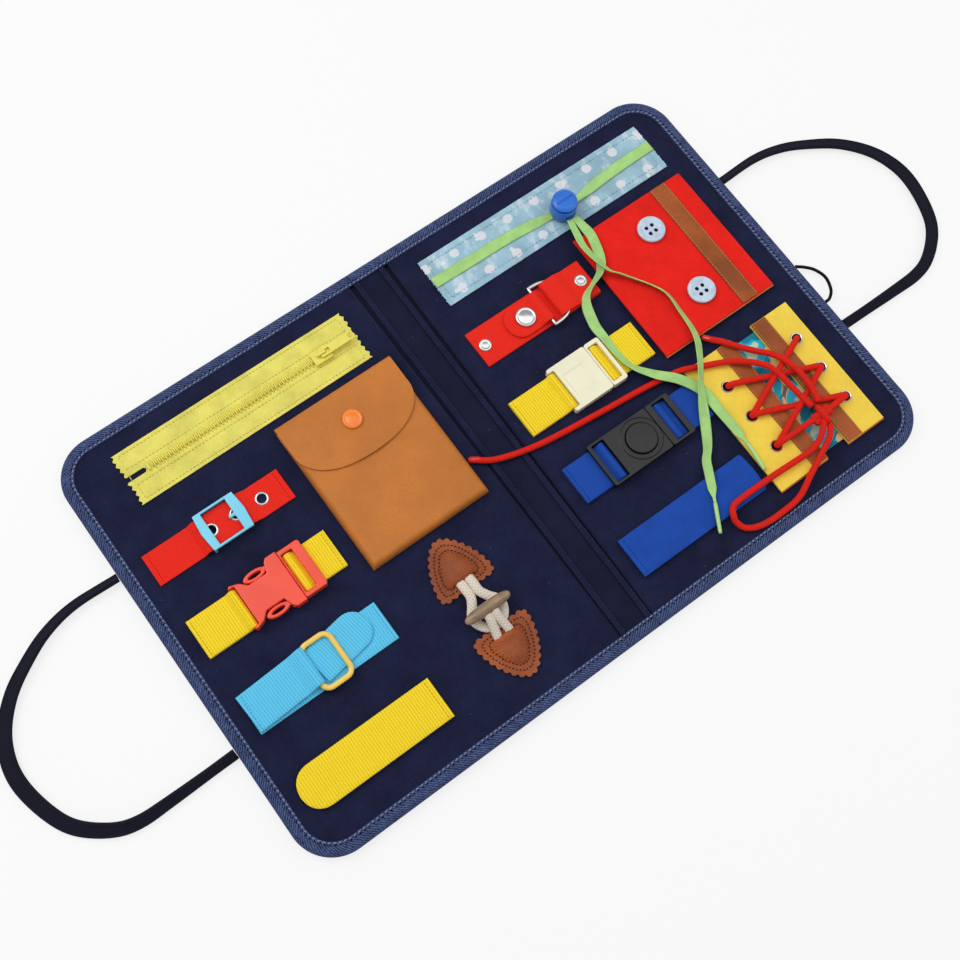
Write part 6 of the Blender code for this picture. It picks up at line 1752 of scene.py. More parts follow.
class BOOK_OT_pouch(bpy.types.Operator):
    """Adds the leather pouch, its folding flap and the snap"""

    bl_idname = "book.pouch"
    bl_label = "Pouch"

    def execute(self, context):
        tan = leather("pouch_leather", tone("pouch"), grain=0.0007, depth=0.35, mottle=0.12, roughness=0.4)
        low, high = box("pouch_body")
        flap_low, flap_high = box("pouch_flap")
        top_y = float(flap_high[1])
        centre_x = float((low[0] + high[0]) / 2)
        half = float(high[0] - low[0]) / 2
        depth = float(high[2] - low[2])
        mouth_y = top_y - 0.012
        u = np.sin(np.linspace(-np.pi / 2, np.pi / 2, 90))
        v = 1 - np.cos(np.linspace(0, np.pi / 2, 70))
        x, y = np.meshgrid(centre_x + u * half, low[1] + v * (mouth_y - low[1]), indexing="ij")
        side_gap = np.clip((half - np.abs(x - centre_x)) / 0.0042, 0, 1)
        foot_gap = np.clip((y - low[1]) / 0.0042, 0, 1)
        swell = 0.00035 * np.sin(side_gap * np.pi / 2) * np.sin((y - low[1]) / (mouth_y - low[1]) * np.pi)
        side_rise, foot_rise = ((1 - (1 - gap) ** 2.6) ** (1 / 2.6) for gap in (side_gap, foot_gap))
        z = SEAT + 0.0002 + (depth - 0.0005) * side_rise * foot_rise + swell
        front = warped("pouch_front", x, y, z, tan, "left_page", 0.0011, 0.0003, "pouch_body", "tan_leather")
        xs, ys = np.linspace(centre_x - half, centre_x + half, 30), np.linspace(low[1], top_y - 0.0015, 36)
        back = cloth("pouch_back", xs, ys, SEAT + 0.0011, tan, "left_page", 0.001)
        self.add_flap(tan, centre_x, half, top_y, float(flap_low[1]))
        return {"FINISHED"}

    def add_flap(self, tan, centre_x, half, top_y, tip_y):
        """The flap comes up behind the mouth, rolls over it and lies on the front.

        Point (i, j) is at the centre plus share j of half the width there. Past the shoulder the half width falls
        as a cosine."""
        top = SEAT + 0.0066 + GAP + 0.0013
        roll = 0.003
        shoulder = top_y - 0.021
        turn = np.radians(np.linspace(0, 90, 12))
        rise_y = np.full(8, top_y - 0.0002)
        rise_z = np.linspace(SEAT + 0.0018, top - roll, 8)
        roll_y = top_y - 0.0002 - roll + roll * np.cos(turn)
        roll_z = top - roll + roll * np.sin(turn)
        flat_y = np.linspace(roll_y[-1], shoulder, 16)[1:]
        angle = np.radians(np.linspace(0, 90, 34))[1:]
        tip_run = shoulder - (shoulder - tip_y) * np.sin(angle)
        y = np.concatenate([rise_y, roll_y[1:], flat_y, tip_run])
        z = np.concatenate([rise_z, roll_z[1:], np.full(len(flat_y), top), np.full(len(tip_run), top)])
        width = np.ones(len(y))
        width[-len(angle) :] = np.maximum(np.cos(angle), 0.0) ** 0.86
        u = np.sin(np.linspace(-np.pi / 2, np.pi / 2, 64))
        rows, across = np.meshgrid(np.arange(len(y)), u, indexing="ij")
        x = centre_x + across * half * width[rows]
        yy = y[rows]
        lies = np.clip((top_y - 0.004 - yy) / 0.01, 0, 1)
        edge = np.abs(across) ** 6
        zz = z[rows] - 0.00035 * edge * lies + 0.0002 * (1 - across**2) * lies
        flap = warped("pouch_cover", x, yy, zz, tan, "pouch_flap", 0.0012, 0.00035, "pouch_flap", "tan_leather")
        weld(flap.data)
        orange = plastic("snap_plastic", tone("pouch_snap"), roughness=0.3, coat=0.3)
        snap_cap("pouch_snap_cap", (centre_x, top_y - 0.0215), top + 0.0001, "pouch_flap", orange)


# Toggle


class BOOK_OT_toggle(bpy.types.Operator):
    """Adds the two padded leather patches, the cord loop and the horn bar"""

    bl_idname = "book.toggle"
    bl_label = "Toggle"

    def execute(self, context):
        brown = leather("patch_leather", tone("patch"), grain=0.0011, depth=0.6, mottle=0.38, roughness=0.34)
        cotton = braid("toggle_braid", tone("toggle_cord"), turn=0.0066, diameter=0.0056, dark=0.84)
        centre_x = -0.064
        for label, flat_y, sign in (("upper", -0.0606, 1), ("lower", -0.0866, -1)):
            self.add_patch(label, centre_x, 0.0185, flat_y, sign, brown)
        self.add_cords(centre_x, cotton)
        self.add_bar(centre_x)
        return {"FINISHED"}

    def add_patch(self, label, centre_x, half, flat_y, sign, finish):
        """A blunt three-sided patch with a scalloped rim and a padded middle.

        Its half width is the sine of the way down from the tip, to the power 0.55. A scallop is the size of a sine.
        The padding swells by a sine of the way in from its seam, and bulges where the cords leave it."""
        height, seam = 0.0338, 0.6
        down = np.linspace(0, 1, 90) ** 1.6
        corner = np.clip((down - 0.84) / 0.16, 0, 1)
        reach = half * np.sin(down * np.pi / 2) ** 0.55 * (1 - 0.16 * corner**3)
        y = flat_y + sign * height * (1 - down)
        right = np.column_stack([centre_x + reach, y])
        left = np.column_stack([centre_x - reach, y])[::-1]
        line = even_line(np.vstack([right, left]), 0.0005)[:-1]
        walked = np.arange(len(line)) / len(line)
        teeth = round(len(line) * 0.0005 / 0.0047)
        tangent = np.roll(line, -1, 0) - np.roll(line, 1, 0)
        out = sign * np.column_stack([tangent[:, 1], -tangent[:, 0]]) / np.linalg.norm(tangent, axis=1)[:, None]
        line = line - out * (0.0015 * (np.abs(np.sin(walked * np.pi * teeth)) - 0.75))[:, None]
        centre = np.array([centre_x, flat_y + sign * height * 0.42])
        rings = 34
        share = 1 - np.arange(rings) / rings
        flat = centre + (line[None] - centre) * share[:, None, None]
        pad = np.sin(np.clip((seam - share) / 0.42, 0, 1) * np.pi / 2)
        groove = bell(share - seam, 0.03) + 0.5 * bell(share - 0.8, 0.03)
        pucker = np.sin(walked * 2 * np.pi * teeth * 2)[None] * bell(share - 0.72, 0.09)[:, None]
        bulge = np.exp(-(((flat[..., 0] - centre_x) / 0.0074) ** 4))
        bulge = bulge * bell((flat[..., 1] - flat_y) * sign - 0.0072, 0.003)
        z = SEAT + 0.0012 + (0.0019 * pad - 0.0003 * groove)[:, None]
        z = z + 0.00016 * pucker + 0.0026 * bulge * (share < seam)[:, None]
        points = np.vstack([np.concatenate([flat, z[..., None]], -1).reshape(-1, 3), [(*centre, SEAT + 0.0031)]])
        quads, _, _ = grid_faces(rings, len(line), False, True)
        mesh = mesh_of(f"toggle_{label}_patch", points, [quads, pole_fan(rings, len(line))], closed=False)
        patch = thicken(piece(mesh, "left_page", finish, f"toggle_patch_{label}", "brown_leather"), 0.0009, 0.0002)
        # painted shade: dark beads that stand for the shadow in the stitch holes round each patch
        hole = thread("patch_holes", shade(tone("patch"), 0.22))
        for where, at in (("rim", 0.8), ("pad", seam + 0.02)):
            row = lifted(centre + (line - centre) * at, SEAT + 0.00115)
            row = np.vstack([row, row[:1]])
            stitches(f"toggle_{label}_{where}_seam", row, "left_page", hole, 0.0025, 0.0013, 0.0004, bury=0.3)

    def add_cords(self, centre_x, cotton):
        """The upper patch's loop goes round the bar's ends below it, and the lower patch's two cords hold the bar."""
        bar_y = TOGGLE_BAR_Y
        loop = [
            (0.0029, -0.0525, SEAT + 0.0008),
            (0.0029, -0.056, SEAT + 0.0022),
            (0.0029, -0.06, SEAT + 0.0031),
            (0.003, -0.065, SEAT + 0.003),
            (0.0056, -0.07, SEAT + 0.0026),
            (0.0088, bar_y + 0.002, SEAT + 0.0024),
            (0.009, bar_y - 0.003, SEAT + 0.0024),
            (0.0054, bar_y - 0.008, SEAT + 0.0022),
        ]
        route = [(centre_x - x, y, z) for x, y, z in loop] + [(centre_x, bar_y - 0.0095, SEAT + 0.0022)]
        route += [(centre_x + x, y, z) for x, y, z in reversed(loop)]
        loop_cord = swept("toggle_cord_loop", smooth_line(route, 0.0011), round_section(0.0029, 16, 0.62))
        piece(loop_cord, "left_page", cotton)
        for label, side in (("left", -1), ("right", 1)):
            tie = [
                (centre_x + side * 0.004, -0.095, SEAT + 0.0008),
                (centre_x + side * 0.0038, -0.0915, SEAT + 0.0024),
                (centre_x + side * 0.0032, bar_y - 0.011, SEAT + 0.0048),
                (centre_x + side * 0.0024, bar_y - 0.006, SEAT + 0.008),
                (centre_x + side * 0.0023, bar_y - 0.003, SEAT + 0.0094),
                (centre_x + side * 0.0022, bar_y - 0.0002, SEAT + 0.0104),
            ]
            tie_cord = swept(f"toggle_{label}_tie", smooth_line(tie, 0.0008), round_section(0.0027, 16, 0.68))
            piece(tie_cord, "left_page", cotton)

    def add_bar(self, centre_x):
        """The horn bar: a spindle with blunt ends, paler at its tips."""
        bar_y, bar_z = TOGGLE_BAR_Y, 0.0158
        share = np.linspace(-1, 1, 41)
        radius = 0.0037 * (1 - np.abs(share * 0.998) ** 7) ** 0.45 * (1 - 0.3 * share**2)
        streak = Finish("toggle_horn", roughness=0.28, coat=0.3)
        bands = streak.noise(160, 5, 0.65, stretch=(0.25, 1.0, 1.0))
        cloud = streak.noise(60, 3, 0.6)
        along = streak.axes(streak.place())[0]
        tips = (along - centre_x).size().ramp(0.0095, 0.015)
        horn = tone("horn")
        body_colour = streak.mix(shade(horn, 0.45), horn, cloud.ramp(0.3, 0.6))
        streaked = streak.mix(body_colour, shade(horn, 1.7), bands.ramp(0.5, 0.72))
        tipped = streak.mix(streaked, shade(horn, 1.9), tips * 0.7)
        streak.done(tipped, bands * 0.25 + 0.18, streak.bump(bands, 0.0001, 0.3))
        bar = turned("toggle_horn_bar", np.column_stack([radius, share * 0.01525]), (centre_x, bar_y, bar_z), 28, "X")
        piece(bar, "toggle_bar", streak.material, "toggle_bar", "horn", 60)


# Drawstring


def water_print(name, colour_name):
    """Pale printed cotton: soft blotches of deeper and lighter blue, and loose white dots."""
    ground_colour = tone(colour_name)
    f = Finish(name, roughness=0.85, sheen=0.1, specular=0.25)
    wash = f.noise(55, 4, 0.6)
    bloom = f.noise(24, 2, 0.5)
    base = f.mix(shade(ground_colour, 0.8), shade(ground_colour, 1.12), (wash * 0.6 + bloom * 0.4).ramp(0.32, 0.68))
    milk = f.noise(130, 3, 0.6, stretch=(1.0, 0.5, 1.0))
    base = f.mix(base, (0.72, 0.8, 0.86), milk.ramp(0.5, 0.68) * 0.6)
    x, y = f.axes(f.place())[:2]
    step, sway = 0.0205, (f.noise(40, 1) - 0.5) * 0.004
    for row_y, shift in ((0.1145, 0.0), (0.0925, 0.45)):
        column = x / step + shift
        across_gap = (column - column.whole() - 0.5) * step
        up_gap = y + sway - row_y
        reach = (across_gap * across_gap + up_gap * up_gap + (f.noise(500, 2) - 0.5) * 0.000006) * 1e5
        base = f.mix(base, (0.84, 0.8, 0.83), (1 - reach.ramp(0.75, 1.25)) * 0.75)
    small = 1 - f.cells(120, "F1").ramp(0.14, 0.22)
    base = f.mix(base, (0.82, 0.86, 0.9), small * f.noise(70, 1).ramp(0.45, 0.6) * 0.7)
    weave = (x * 5200).sine() * (y * 5200).sine()
    return f.done(base, normal=f.bump(weave * 0.5 + f.noise(120, 2, 0.5) * 1.5, 0.00018, 0.5))


class BOOK_OT_drawstring(bpy.types.Operator):
    """Adds the printed channel, its ribbon and the sprung cord lock"""

    bl_idname = "book.drawstring"
    bl_label = "Drawstring"

    def execute(self, context):
        low, high = box("channel_fabric")
        xs, ys = np.linspace(low[0], high[0], 240), np.linspace(low[1], high[1], 64)
        x, y = np.meshgrid(xs, ys, indexing="ij")
        fray = 0.00035 * np.sin(y * 2100) * np.sin(y * 730 + 1)
        x = x + np.where(x < low[0] + 0.001, fray, 0) - np.where(x > high[0] - 0.001, fray, 0)
        hem = np.minimum(y - low[1], high[1] - y)
        end = np.minimum(x - low[0], high[0] - x)
        puckers = 0.00022 * np.sin(x * 620 + 1.5 * np.sin(x * 210)) * bell(hem - 0.0045, 0.0035)
        seam = -0.00018 * bell(hem - 0.0042, 0.0005) - 0.00018 * bell(end - 0.004, 0.0005)
        casing = 0.00025 * bell(y - (low[1] + high[1]) / 2, 0.006)
        z = high[2] - 0.0001 + puckers + seam + casing
        aqua = water_print("channel_print", "channel")
        fabric = warped("channel_cloth", x, y, z, aqua, "right_page", 0.0009, 0.0002, "channel_fabric", "aqua_fabric")
        yarn = thread("channel_thread", shade(tone("channel"), 0.75))
        inset = 0.004
        corners = [
            (low[0] + inset, low[1] + inset),
            (high[0] - inset, low[1] + inset),
            (high[0] - inset, high[1] - inset),
            (low[0] + inset, high[1] - inset),
        ]
        row = lifted(even_line(corners + corners[:1], 0.001), high[2] - 0.0001)
        stitches("channel_seam", row, "right_page", yarn, 0.0026, 0.002, 0.0002)
        ribbon_low, ribbon_high = box("channel_ribbon")
        middle_y = float((ribbon_low[1] + ribbon_high[1]) / 2)
        xs = np.linspace(ribbon_low[0] + 0.0004, ribbon_high[0] - 0.0004, 200)
        lock_low, lock_high = box("cord_lock_body")
        lock_x, lock_y = float(lock_low[0] + lock_high[0]) / 2, 0.099
        near = bell(xs - lock_x, 0.026)
        ys = middle_y + (lock_y - middle_y) * near + 0.0003 * np.sin(xs * 70)
        zs = float(ribbon_low[2] + ribbon_high[2]) / 2 + 0.0001 + 0.002 * bell(xs - lock_x, 0.014)
        narrow = 1 - 0.5 * bell(xs - lock_x, 0.018)
        lean = 0.5 * (bell(xs - lock_x + 0.012, 0.01) - bell(xs - lock_x - 0.012, 0.01))
        green = satin_ribbon("ribbon_cloth", tone("ribbon"))
        line = np.column_stack([xs, ys, zs])
        ribbon = swept("channel_flat_ribbon", line, ribbon_section(0.0074), scale=narrowed(narrow), twist=lean)
        piece(ribbon, "right_page", green, "channel_ribbon", "green_ribbon")
        blue = plastic("lock_plastic", tone("cord_lock"), roughness=0.33, coat=0.2)
        moulded("lock_barrel", "cord_lock_body", "cord_lock", blue, 0.0002, 4)
        moulded("lock_button", "cord_lock_plunger", "cord_lock_plunger", blue, 0.0002, 5)
        return {"FINISHED"}


# Snap strap


class BOOK_OT_snap_strap(bpy.types.Operator):
    """Adds the riveted red strap, its D ring and the tab with a snap"""

    bl_idname = "book.snap_strap"
    bl_label = "Snap strap"

    def execute(self, context):
        low, high = box("snap_strap")
        start_x, end_x = float(low[0]), float(high[0])
        centre_y = 0.054
        wire = 0.001
        fold = wire + GAP + WEB / 2
        second = LOW_LAYER + WEB + GAP
        third = second + WEB + GAP
        ring_z = second + fold
        bar_x = start_x + 0.0483
        red, silver = red_web(), plated()
        base = xz_line([(start_x, LOW_LAYER), (end_x, LOW_LAYER)], centre_y)
        strap("snap_base_webbing", base, STRAP_WIDTH, red, "right_page", "snap_strap", "red_webbing")
        stub_x = start_x + 0.0545 + fold + WEB / 2
        level_x = end_x - 0.013
        turn = arc_points(stub_x, ring_z, fold, 270, 90)
        over = [(level_x - fold * 3, ring_z + fold), (level_x, third), (end_x, third)]
        points = np.vstack([[(end_x, second)], turn, over])
        strap("snap_stub_webbing", xz_line(points, centre_y), 0.0247, red, "right_page")
        turn = arc_points(bar_x, ring_z, fold, -90, 90)
        level = SEAT + WEB + 0.0004 + GAP + WEB / 2
        tip_x = bar_x - 0.0255
        over = [(bar_x - fold, ring_z + fold), (bar_x - fold * 4, level), (tip_x, level)]
        line = xz_line(np.vstack([[(bar_x - fold * 1.5, second)], turn, over]), centre_y)
        share = nose_widths(walked_length(line), 0.0095, 2.1)
        strap("snap_tab_webbing", line, 0.021, red, "snap_tab", "snap_tab", "red_webbing", narrowed(share), 0.0)
        base_z = level + WEB / 2 - 0.0001
        snap_cap("snap_tab_cap", (bar_x - 0.012, centre_y), base_z, "snap_tab", silver, 0.0064)
        rivets = (("left", start_x + 0.0062, SEAT + WEB), ("right", end_x - 0.0062, third + WEB / 2))
        for label, x, base_z in rivets:
            snap_cap(f"snap_{label}_rivet", (x, centre_y), base_z - 0.0002, "right_page", silver, 0.004, 0.0015)
        half = 0.014
        turn = np.radians(np.linspace(-90, 90, 60))[1:-1]
        curve = np.column_stack(
            [
                bar_x + 0.0157 * np.clip(np.cos(turn), 0, 1) ** 0.7,
                centre_y + half * np.sign(np.sin(turn)) * np.abs(np.sin(turn)) ** 0.7,
            ]
        )
        closed = np.vstack([[(bar_x, centre_y - half)], curve, [(bar_x, centre_y + half)]])
        outline = even_line(np.vstack([closed, closed[:1]]), 0.0009)[:-1]
        wire_ring("strap_d_ring", outline, ring_z, wire * 1.15, "right_page", silver, "d_ring", "steel")
        return {"FINISHED"}


# Button panel


def leather_strip(name, seams, edges, columns, ys, level, wall, groove, relief, finish, body, yarn, radius):
    """A strip sewn down along both its long edges. Its face dips under each seam by a bell curve."""
    low, high = edges
    depth, inset, width = groove

    def height(x, y):
        gap = np.minimum(x - low, high - x)
        return level - depth * bell(gap - inset, width) + relief(x, y) * 0.5

    cloth(name, np.linspace(low, high, columns), ys, height, finish, body, wall, 0.0002)
    for seam, x in zip(seams, (low + 0.0007, high - 0.0007)):
        row = straight((x, ys[0] + 0.001), (x, ys[-1] - 0.001), level - 0.0001)
        stitches(seam, row, body, yarn, 0.0022, 0.002, radius)


def piping(name, xs, edge, level, relief, finish, body):
    """A thin strip of leather that looks out from under a flap's near edge."""
    ys = np.linspace(edge[0], edge[1], 8)
    return cloth(name, xs, ys, lambda x, y: level + relief(x, y), finish, body, 0.0008, 0.0002)


def four_hole_button(name, centre, low, body, finish, radius=0.0088, thickness=0.0024):
    """A button with a rolled rim and four holes.

    Inside the rim, each point is on a grid of angle and radius. The holes are dents that a smooth step cuts
    round each centre."""
    shares = np.concatenate([np.linspace(0, 0.56, 34), [0.62, 0.68, 0.74, 0.82, 0.9, 0.96, 1.0]])
    rim = np.interp(shares, [0, 0.56, 0.66, 0.76, 0.88, 0.96, 1.0], [-0.75, -0.7, -0.5, 0.0, 0.0, -0.25, -0.8]) * MM
    angle = np.linspace(0, 2 * np.pi, 96, endpoint=False)
    r, a = np.meshgrid(np.maximum(shares, 1e-4) * radius, angle, indexing="ij")
    x, y = r * np.cos(a), r * np.sin(a)
    z = low + thickness + np.broadcast_to(rim[:, None], r.shape).copy()
    offset = 0.0021
    gap = np.hypot(np.abs(x) - offset, np.abs(y) - offset)
    hole = np.clip((0.00135 - gap) / 0.0003, 0, 1)
    z = z - 0.0013 * hole * hole * (3 - 2 * hole)
    lower = np.array([(1.0, 0.55), (0.93, 0.12), (0.5, 0.0), (0.0001, 0.0)])
    lx = lower[:, :1] * radius * np.cos(angle)
    ly = lower[:, :1] * radius * np.sin(angle)
    lz = np.broadcast_to(low + lower[:, 1:] * MM * 1.6, lx.shape)
    points = np.stack([np.vstack([x, lx]) + centre[0], np.vstack([y, ly]) + centre[1], np.vstack([z, lz])], -1)
    rows, count = len(points), len(angle)
    quads, _, _ = grid_faces(rows, count, False, True)
    return piece(mesh_of(name, points, [quads, end_caps(rows, count)]), body, finish)


def pearly(name, base_colour):
    """Glossy button plastic with faint clouds."""
    f = Finish(name, roughness=0.2, coat=0.35)
    cloud = f.noise(150, 3, 0.6)
    sparkle = f.noise(1500, 1)
    base = f.mix(shade(base_colour, 0.86), shade(base_colour, 1.08), cloud.ramp(0.3, 0.7))
    return f.done(base, cloud * 0.12 + 0.14, f.bump(sparkle, 0.00002, 0.2))


class BOOK_OT_button_panel(bpy.types.Operator):
    """Adds the red felt flap with its leather strip, and the two buttons"""

    bl_idname = "book.button_panel"
    bl_label = "Button panel"

    def execute(self, context):
        red = felt("red_panel_felt", tone("red_felt"), contrast=0.14)
        low, high = box("button_base")
        top = SEAT + 0.0018
        xs, ys = np.linspace(low[0], high[0], 40), np.linspace(low[1], high[1], 40)
        base = cloth("button_base_felt", xs, ys, top, red, "right_page", 0.0017, 0.0003, "button_base", "red_felt")
        flap_low, flap_high = box("button_flap")
        top = 0.0082 + 0.0018
        button_x, button_ys = 0.159, (0.0563, 0.0067)
        relief = ripple(0.00016, 130, 0.6)

        def height(x, y):
            return top + relief(x, y)

        edge_low = box("button_flap_edge")[0]
        xs, ys = np.linspace(edge_low[0], flap_high[0], 130), np.linspace(flap_low[1], flap_high[1], 110)
        nodes = ("button_flap", "button_flap_edge")
        flap = cloth("button_flap_felt", xs, ys, height, red, None, 0.0017, 0.0004, nodes, "red_felt")
        tan = leather("piping_leather", shade(tone("trim"), 1.7), grain=0.0008, depth=0.4)
        near_y = float(flap_low[1])
        edge = piping("button_flap_piping", xs, (near_y - 0.0009, near_y + 0.0015), top - 0.0009, relief, tan, None)
        for made in (flap, edge):
            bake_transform(made)
        brown = leather("strip_leather", tone("trim"), grain=0.0012, depth=0.6, mottle=0.35, roughness=0.42)
        strip_high = float(flap_high[0]) - 0.0837 * 0.1458
        strip_low = strip_high - 0.0837 * 0.1374
        leather_strip(
            "button_panel_strip",
            ("button_strip_left_seam", "button_strip_right_seam"),
            (strip_low, strip_high),
            24,
            np.linspace(flap_low[1] + 0.0003, flap_high[1] - 0.0003, 90),
            top + 0.001,
            0.0011,
            (0.00026, 0.0016, 0.0005),
            relief,
            brown,
            "right_page",
            thread("strip_thread", STRIP_THREAD),
            0.00032,
        )
        blue = pearly("button_plastic", tone("button"))
        # painted shade: dark discs in the button holes stand for the shadow there
        shadow = thread("hole_thread", shade(tone("page_felt"), 0.3))
        for index, y in enumerate(button_ys):
            four_hole_button(f"panel_button_{index}", (button_x, y), top + GAP, "right_page", blue)
            for corner, (right, up) in enumerate(((1, 1), (-1, 1), (-1, -1), (1, -1))):
                spot = (button_x + right * 0.0021, y + up * 0.0021, 0.0)
                low, high = top + GAP + 0.0001, top + GAP + 0.0012
                profile = [(0.0, low), (0.0011, low), (0.0011, high), (0.0, high)]
                piece(turned(f"button_{index}_hole_{corner}", profile, spot, 16), "right_page", shadow)
            slot_finish = thread("buttonhole_thread", shade(tone("red_felt"), 0.55))
            ends = 0.0084
            for label, sign in (("upper", 1), ("lower", -1)):
                row = straight((button_x - ends, y + sign * 0.0006), (button_x + ends, y + sign * 0.0006), top)
                name = f"buttonhole_{index}_{label}"
                stitches(name, row, "right_page", slot_finish, 0.0008, 0.0007, 0.00035, lean=1.2)
        return {"FINISHED"}


# Lace panel


def insert_print(name):
    """Printed cotton behind the lace: wide leaf-like bands of teal, mint and sand with thin dark veins."""
    ground_colour = tone("insert")
    f = Finish(name, roughness=0.85, specular=0.25)
    x, y = f.axes(f.place())[:2]
    drift = f.noise(60, 2, 0.5)
    band = ((x * 0.6 + y) * 190 + drift * 7).sine()
    cross = ((x - y * 0.45) * 240 + drift * 5).sine()
    base = f.mix(ground_colour, shade(ground_colour, 2.1), band.ramp(-0.1, 0.4))
    base = f.mix(base, srgb(196, 222, 190), (cross * band).ramp(0.35, 0.6))
    base = f.mix(base, srgb(232, 196, 132), (cross * -1).ramp(0.72, 0.86))
    vein = 1 - ((band + cross).size()).ramp(0.02, 0.14)
    base = f.mix(base, srgb(12, 62, 92), vein * 0.8)
    weave = (x * 5200).sine() * (y * 5200).sine()
    return f.done(base, normal=f.bump(weave, 0.0001, 0.5))


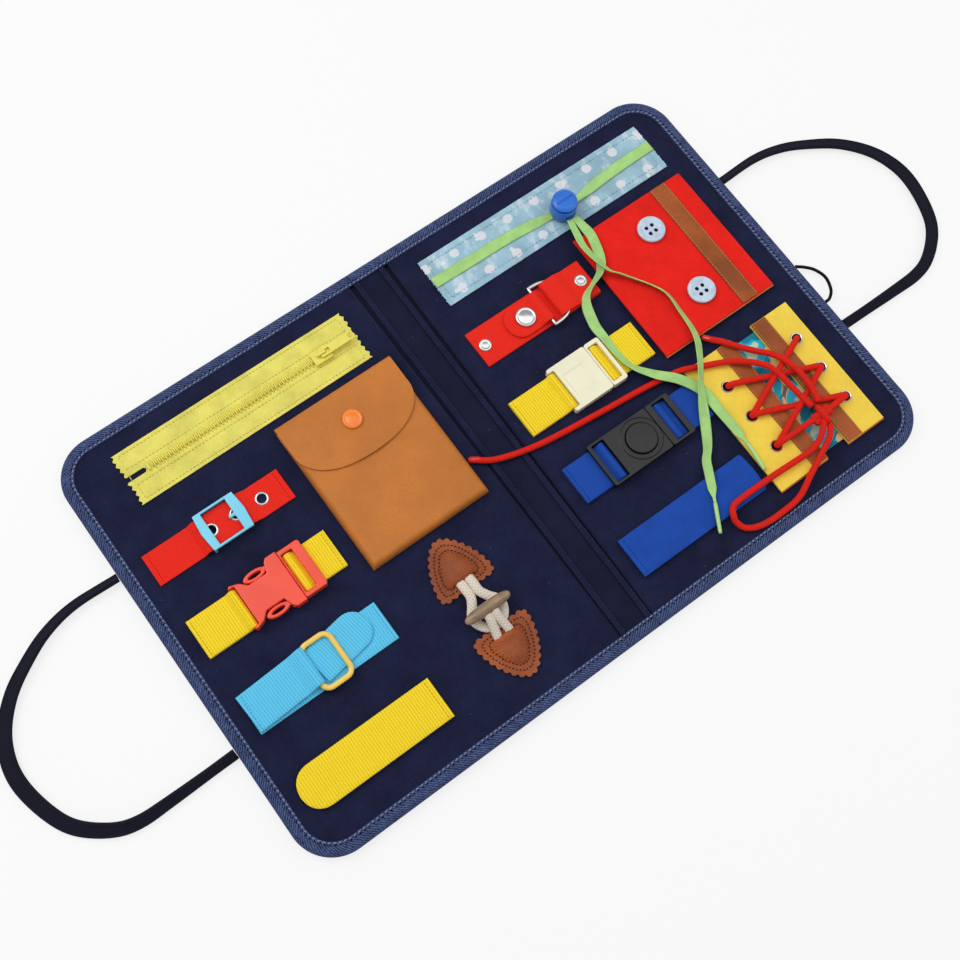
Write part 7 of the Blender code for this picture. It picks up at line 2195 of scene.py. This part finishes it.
class BOOK_OT_lace_panel(bpy.types.Operator):
    """Adds the printed insert, the two yellow flaps with trims and eyelets, and the crossed lace with its knot"""

    bl_idname = "book.lace_panel"
    bl_label = "Lace panel"

    def execute(self, context):
        low, high = box("lace_insert")
        xs, ys = np.linspace(low[0], high[0], 24), np.linspace(low[1], high[1], 60)
        leaves = insert_print("insert_print")
        node, slot = "lace_insert", "insert_fabric"
        insert = cloth("lace_insert_cloth", xs, ys, high[2], leaves, "right_page", 0.0011, 0.0002, node, slot)
        rows = (-0.051, -0.0738, -0.0966)
        self.add_flap("left", 0.1325, rows, 1)
        self.add_flap("right", 0.187, rows, -1)
        self.add_lacing(rows)
        return {"FINISHED"}

    def add_flap(self, label, column, rows, sign):
        """A felt flap with a row of eyelets, and the leather trim along its inner edge."""
        yellow = felt("laced_felt", tone("yellow_felt"), contrast=0.1)
        brown = leather("trim_leather", tone("trim"), grain=0.0012, depth=0.6, mottle=0.35, roughness=0.42)
        node = f"lace_flap_{label}"
        low, high = box(node)
        top = 0.0076 + 0.0018
        relief = ripple(0.00015, 150, 1.1 if sign > 0 else 2.3)
        holes = [(column, row) for row in rows]
        flap = holed_sheet(
            f"lace_{label}_felt",
            (low[0], low[1]),
            (high[0], high[1]),
            holes,
            0.0027,
            lambda x, y: top + relief(x, y),
            yellow,
            node,
            0.0017,
            1,
            node,
            "yellow_felt",
        )
        silver = plated()
        for index, hole in enumerate(holes):
            eyelet(f"lace_{label}_eyelet_{index}", hole, top, top - 0.002, node, silver, 0.004, 0.0028)
        inner = float(high[0]) if sign > 0 else float(low[0])
        outer = inner - sign * 0.011
        leather_strip(
            f"lace_{label}_trim",
            (f"lace_{label}_near_seam", f"lace_{label}_far_seam"),
            (min(inner, outer) + 0.0002, max(inner, outer) - 0.0002),
            22,
            np.linspace(low[1] + 0.0003, high[1] - 0.0003, 90),
            top + 0.0009,
            0.001,
            (0.00022, 0.0015, 0.0004),
            relief,
            brown,
            node,
            thread("trim_thread", STRIP_THREAD),
            0.0003,
        )
        tan = leather("lace_piping_leather", shade(tone("trim"), 1.7), grain=0.0008, depth=0.4)
        xs, near_y = np.linspace(low[0], high[0], 60), float(low[1])
        piping(f"lace_{label}_piping", xs, (near_y - 0.0008, near_y + 0.0015), top - 0.0009, relief, tan, node)

    def add_lacing(self, rows):
        """Strands that cross from eyelet to eyelet, and the knot that the ends leave from."""
        braid_finish = lace_braid()
        diameter = sizes().lace_diameter
        columns = (0.1325, 0.187)
        level = 0.0107 + diameter / 2
        knot = np.array([0.165, -0.0978, level + 0.0014])
        runs = [(start, index) for index in range(2) for start in (0, 1)]
        for start, index in runs:
            a = np.array([columns[start], rows[index]])
            b = np.array([columns[1 - start], rows[index + 1]])
            lift = 0.0019 if start else 0.0
            share = np.array([0.0, 0.03, 0.1, 0.3, 0.5, 0.7, 0.9, 0.97, 1.0])
            heights = np.array([-0.003, -0.0004, 0.0001, 0.0002, lift, 0.0002, 0.0001, -0.0004, -0.003]) + level
            route = np.column_stack([a + (b - a) * share[:, None], heights])
            node = "lacing" if (start, index) == runs[0] else ()
            self.strand(f"lace_cross_{index}_{start}", route, diameter, braid_finish, node)
        for start in (0, 1):
            a = np.array([columns[start], rows[2], level])
            share = np.array([0.0, 0.06, 0.2, 0.5, 0.8, 0.94])
            heights = np.array([-0.003, -0.0006, 0.0002, 0.0005, 0.0004, 0.0002])
            route = a + (knot - a) * share[:, None]
            route[:, 2] = level + heights + np.array([0, 0, 0.0002, 0.0005, 0.001, 0.0014])
            self.strand(f"lace_draw_{start}", route, diameter, braid_finish)
        self.add_knot(knot, diameter, braid_finish)

    def strand(self, name, route, diameter, finish, node=()):
        """One strand of the lace, along its route."""
        line = smooth_line(route, diameter * 0.28)
        mesh = swept(name, line, round_section(diameter / 2, 14))
        made = piece(mesh, None, finish, node, "lace_red")
        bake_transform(made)

    def add_knot(self, knot, diameter, finish):
        """The bow's knot: one lap of lace across it, and two rounded humps where the loops leave."""
        radius = diameter / 2
        turn = np.radians(np.linspace(-215, 35, 40))
        lap = knot + np.column_stack([0.0006 + 0.0009 * np.sin(turn), 0.0052 * np.cos(turn), 0.0034 * np.sin(-turn)])
        piece(swept("lace_knot_lap", even_line(lap, 0.0008), round_section(radius * 1.05, 14)), "right_page", finish)
        for index, (start, stop, lift) in enumerate(
            (
                ((-0.0062, 0.0016, 0.0006), (0.0064, -0.0012, 0.0004), 0.0012),
                ((-0.006, -0.0026, 0.0000), (0.006, 0.0028, 0.0002), 0.0006),
            )
        ):
            share = np.linspace(0, 1, 30)[:, None]
            line = knot + np.array(start) + (np.array(stop) - np.array(start)) * share
            line[:, 2] += lift * np.sin(np.pi * share[:, 0]) - 0.0006
            fat = 1 + 0.1 * np.sin(np.pi * share[:, 0])
            core = swept(f"lace_knot_core_{index}", line, round_section(radius * 1.1, 14), scale=fat)
            piece(core, "right_page", finish)


class BOOK_PT_panel(bpy.types.Panel):
    """Lists the book's steps, sizes and colours"""

    bl_idname = "BOOK_PT_panel"
    bl_label = "Quiet Book"
    bl_space_type = "VIEW_3D"
    bl_region_type = "UI"
    bl_category = "Quiet Book"

    def draw(self, context):
        layout = self.layout
        for operator in OPERATORS:
            layout.operator(operator.bl_idname)
        for group in (context.scene.book_sizes, context.scene.book_colours):
            column = layout.column()
            for key in group.__annotations__:
                column.prop(group, key)


OPERATORS = (
    BOOK_OT_stage,
    BOOK_OT_cords,
    BOOK_OT_board,
    BOOK_OT_zip,
    BOOK_OT_belt,
    BOOK_OT_clip,
    BOOK_OT_ring_strap,
    BOOK_OT_hook_straps,
    BOOK_OT_pouch,
    BOOK_OT_toggle,
    BOOK_OT_drawstring,
    BOOK_OT_snap_strap,
    BOOK_OT_plate_buckle,
    BOOK_OT_push_buckle,
    BOOK_OT_button_panel,
    BOOK_OT_lace_panel,
)
CLASSES = (BookColours, BookSizes, *OPERATORS, BOOK_PT_panel)


def register():
    for kind in CLASSES:
        bpy.utils.register_class(kind)
    bpy.types.Scene.book_colours = PointerProperty(type=BookColours)
    bpy.types.Scene.book_sizes = PointerProperty(type=BookSizes)


def unregister():
    del bpy.types.Scene.book_sizes
    del bpy.types.Scene.book_colours
    for kind in reversed(CLASSES):
        bpy.utils.unregister_class(kind)


def main():
    register()
    for operator in OPERATORS:
        getattr(bpy.ops.book, operator.bl_idname.split(".")[1])()


if __name__ == "__main__":
    main()
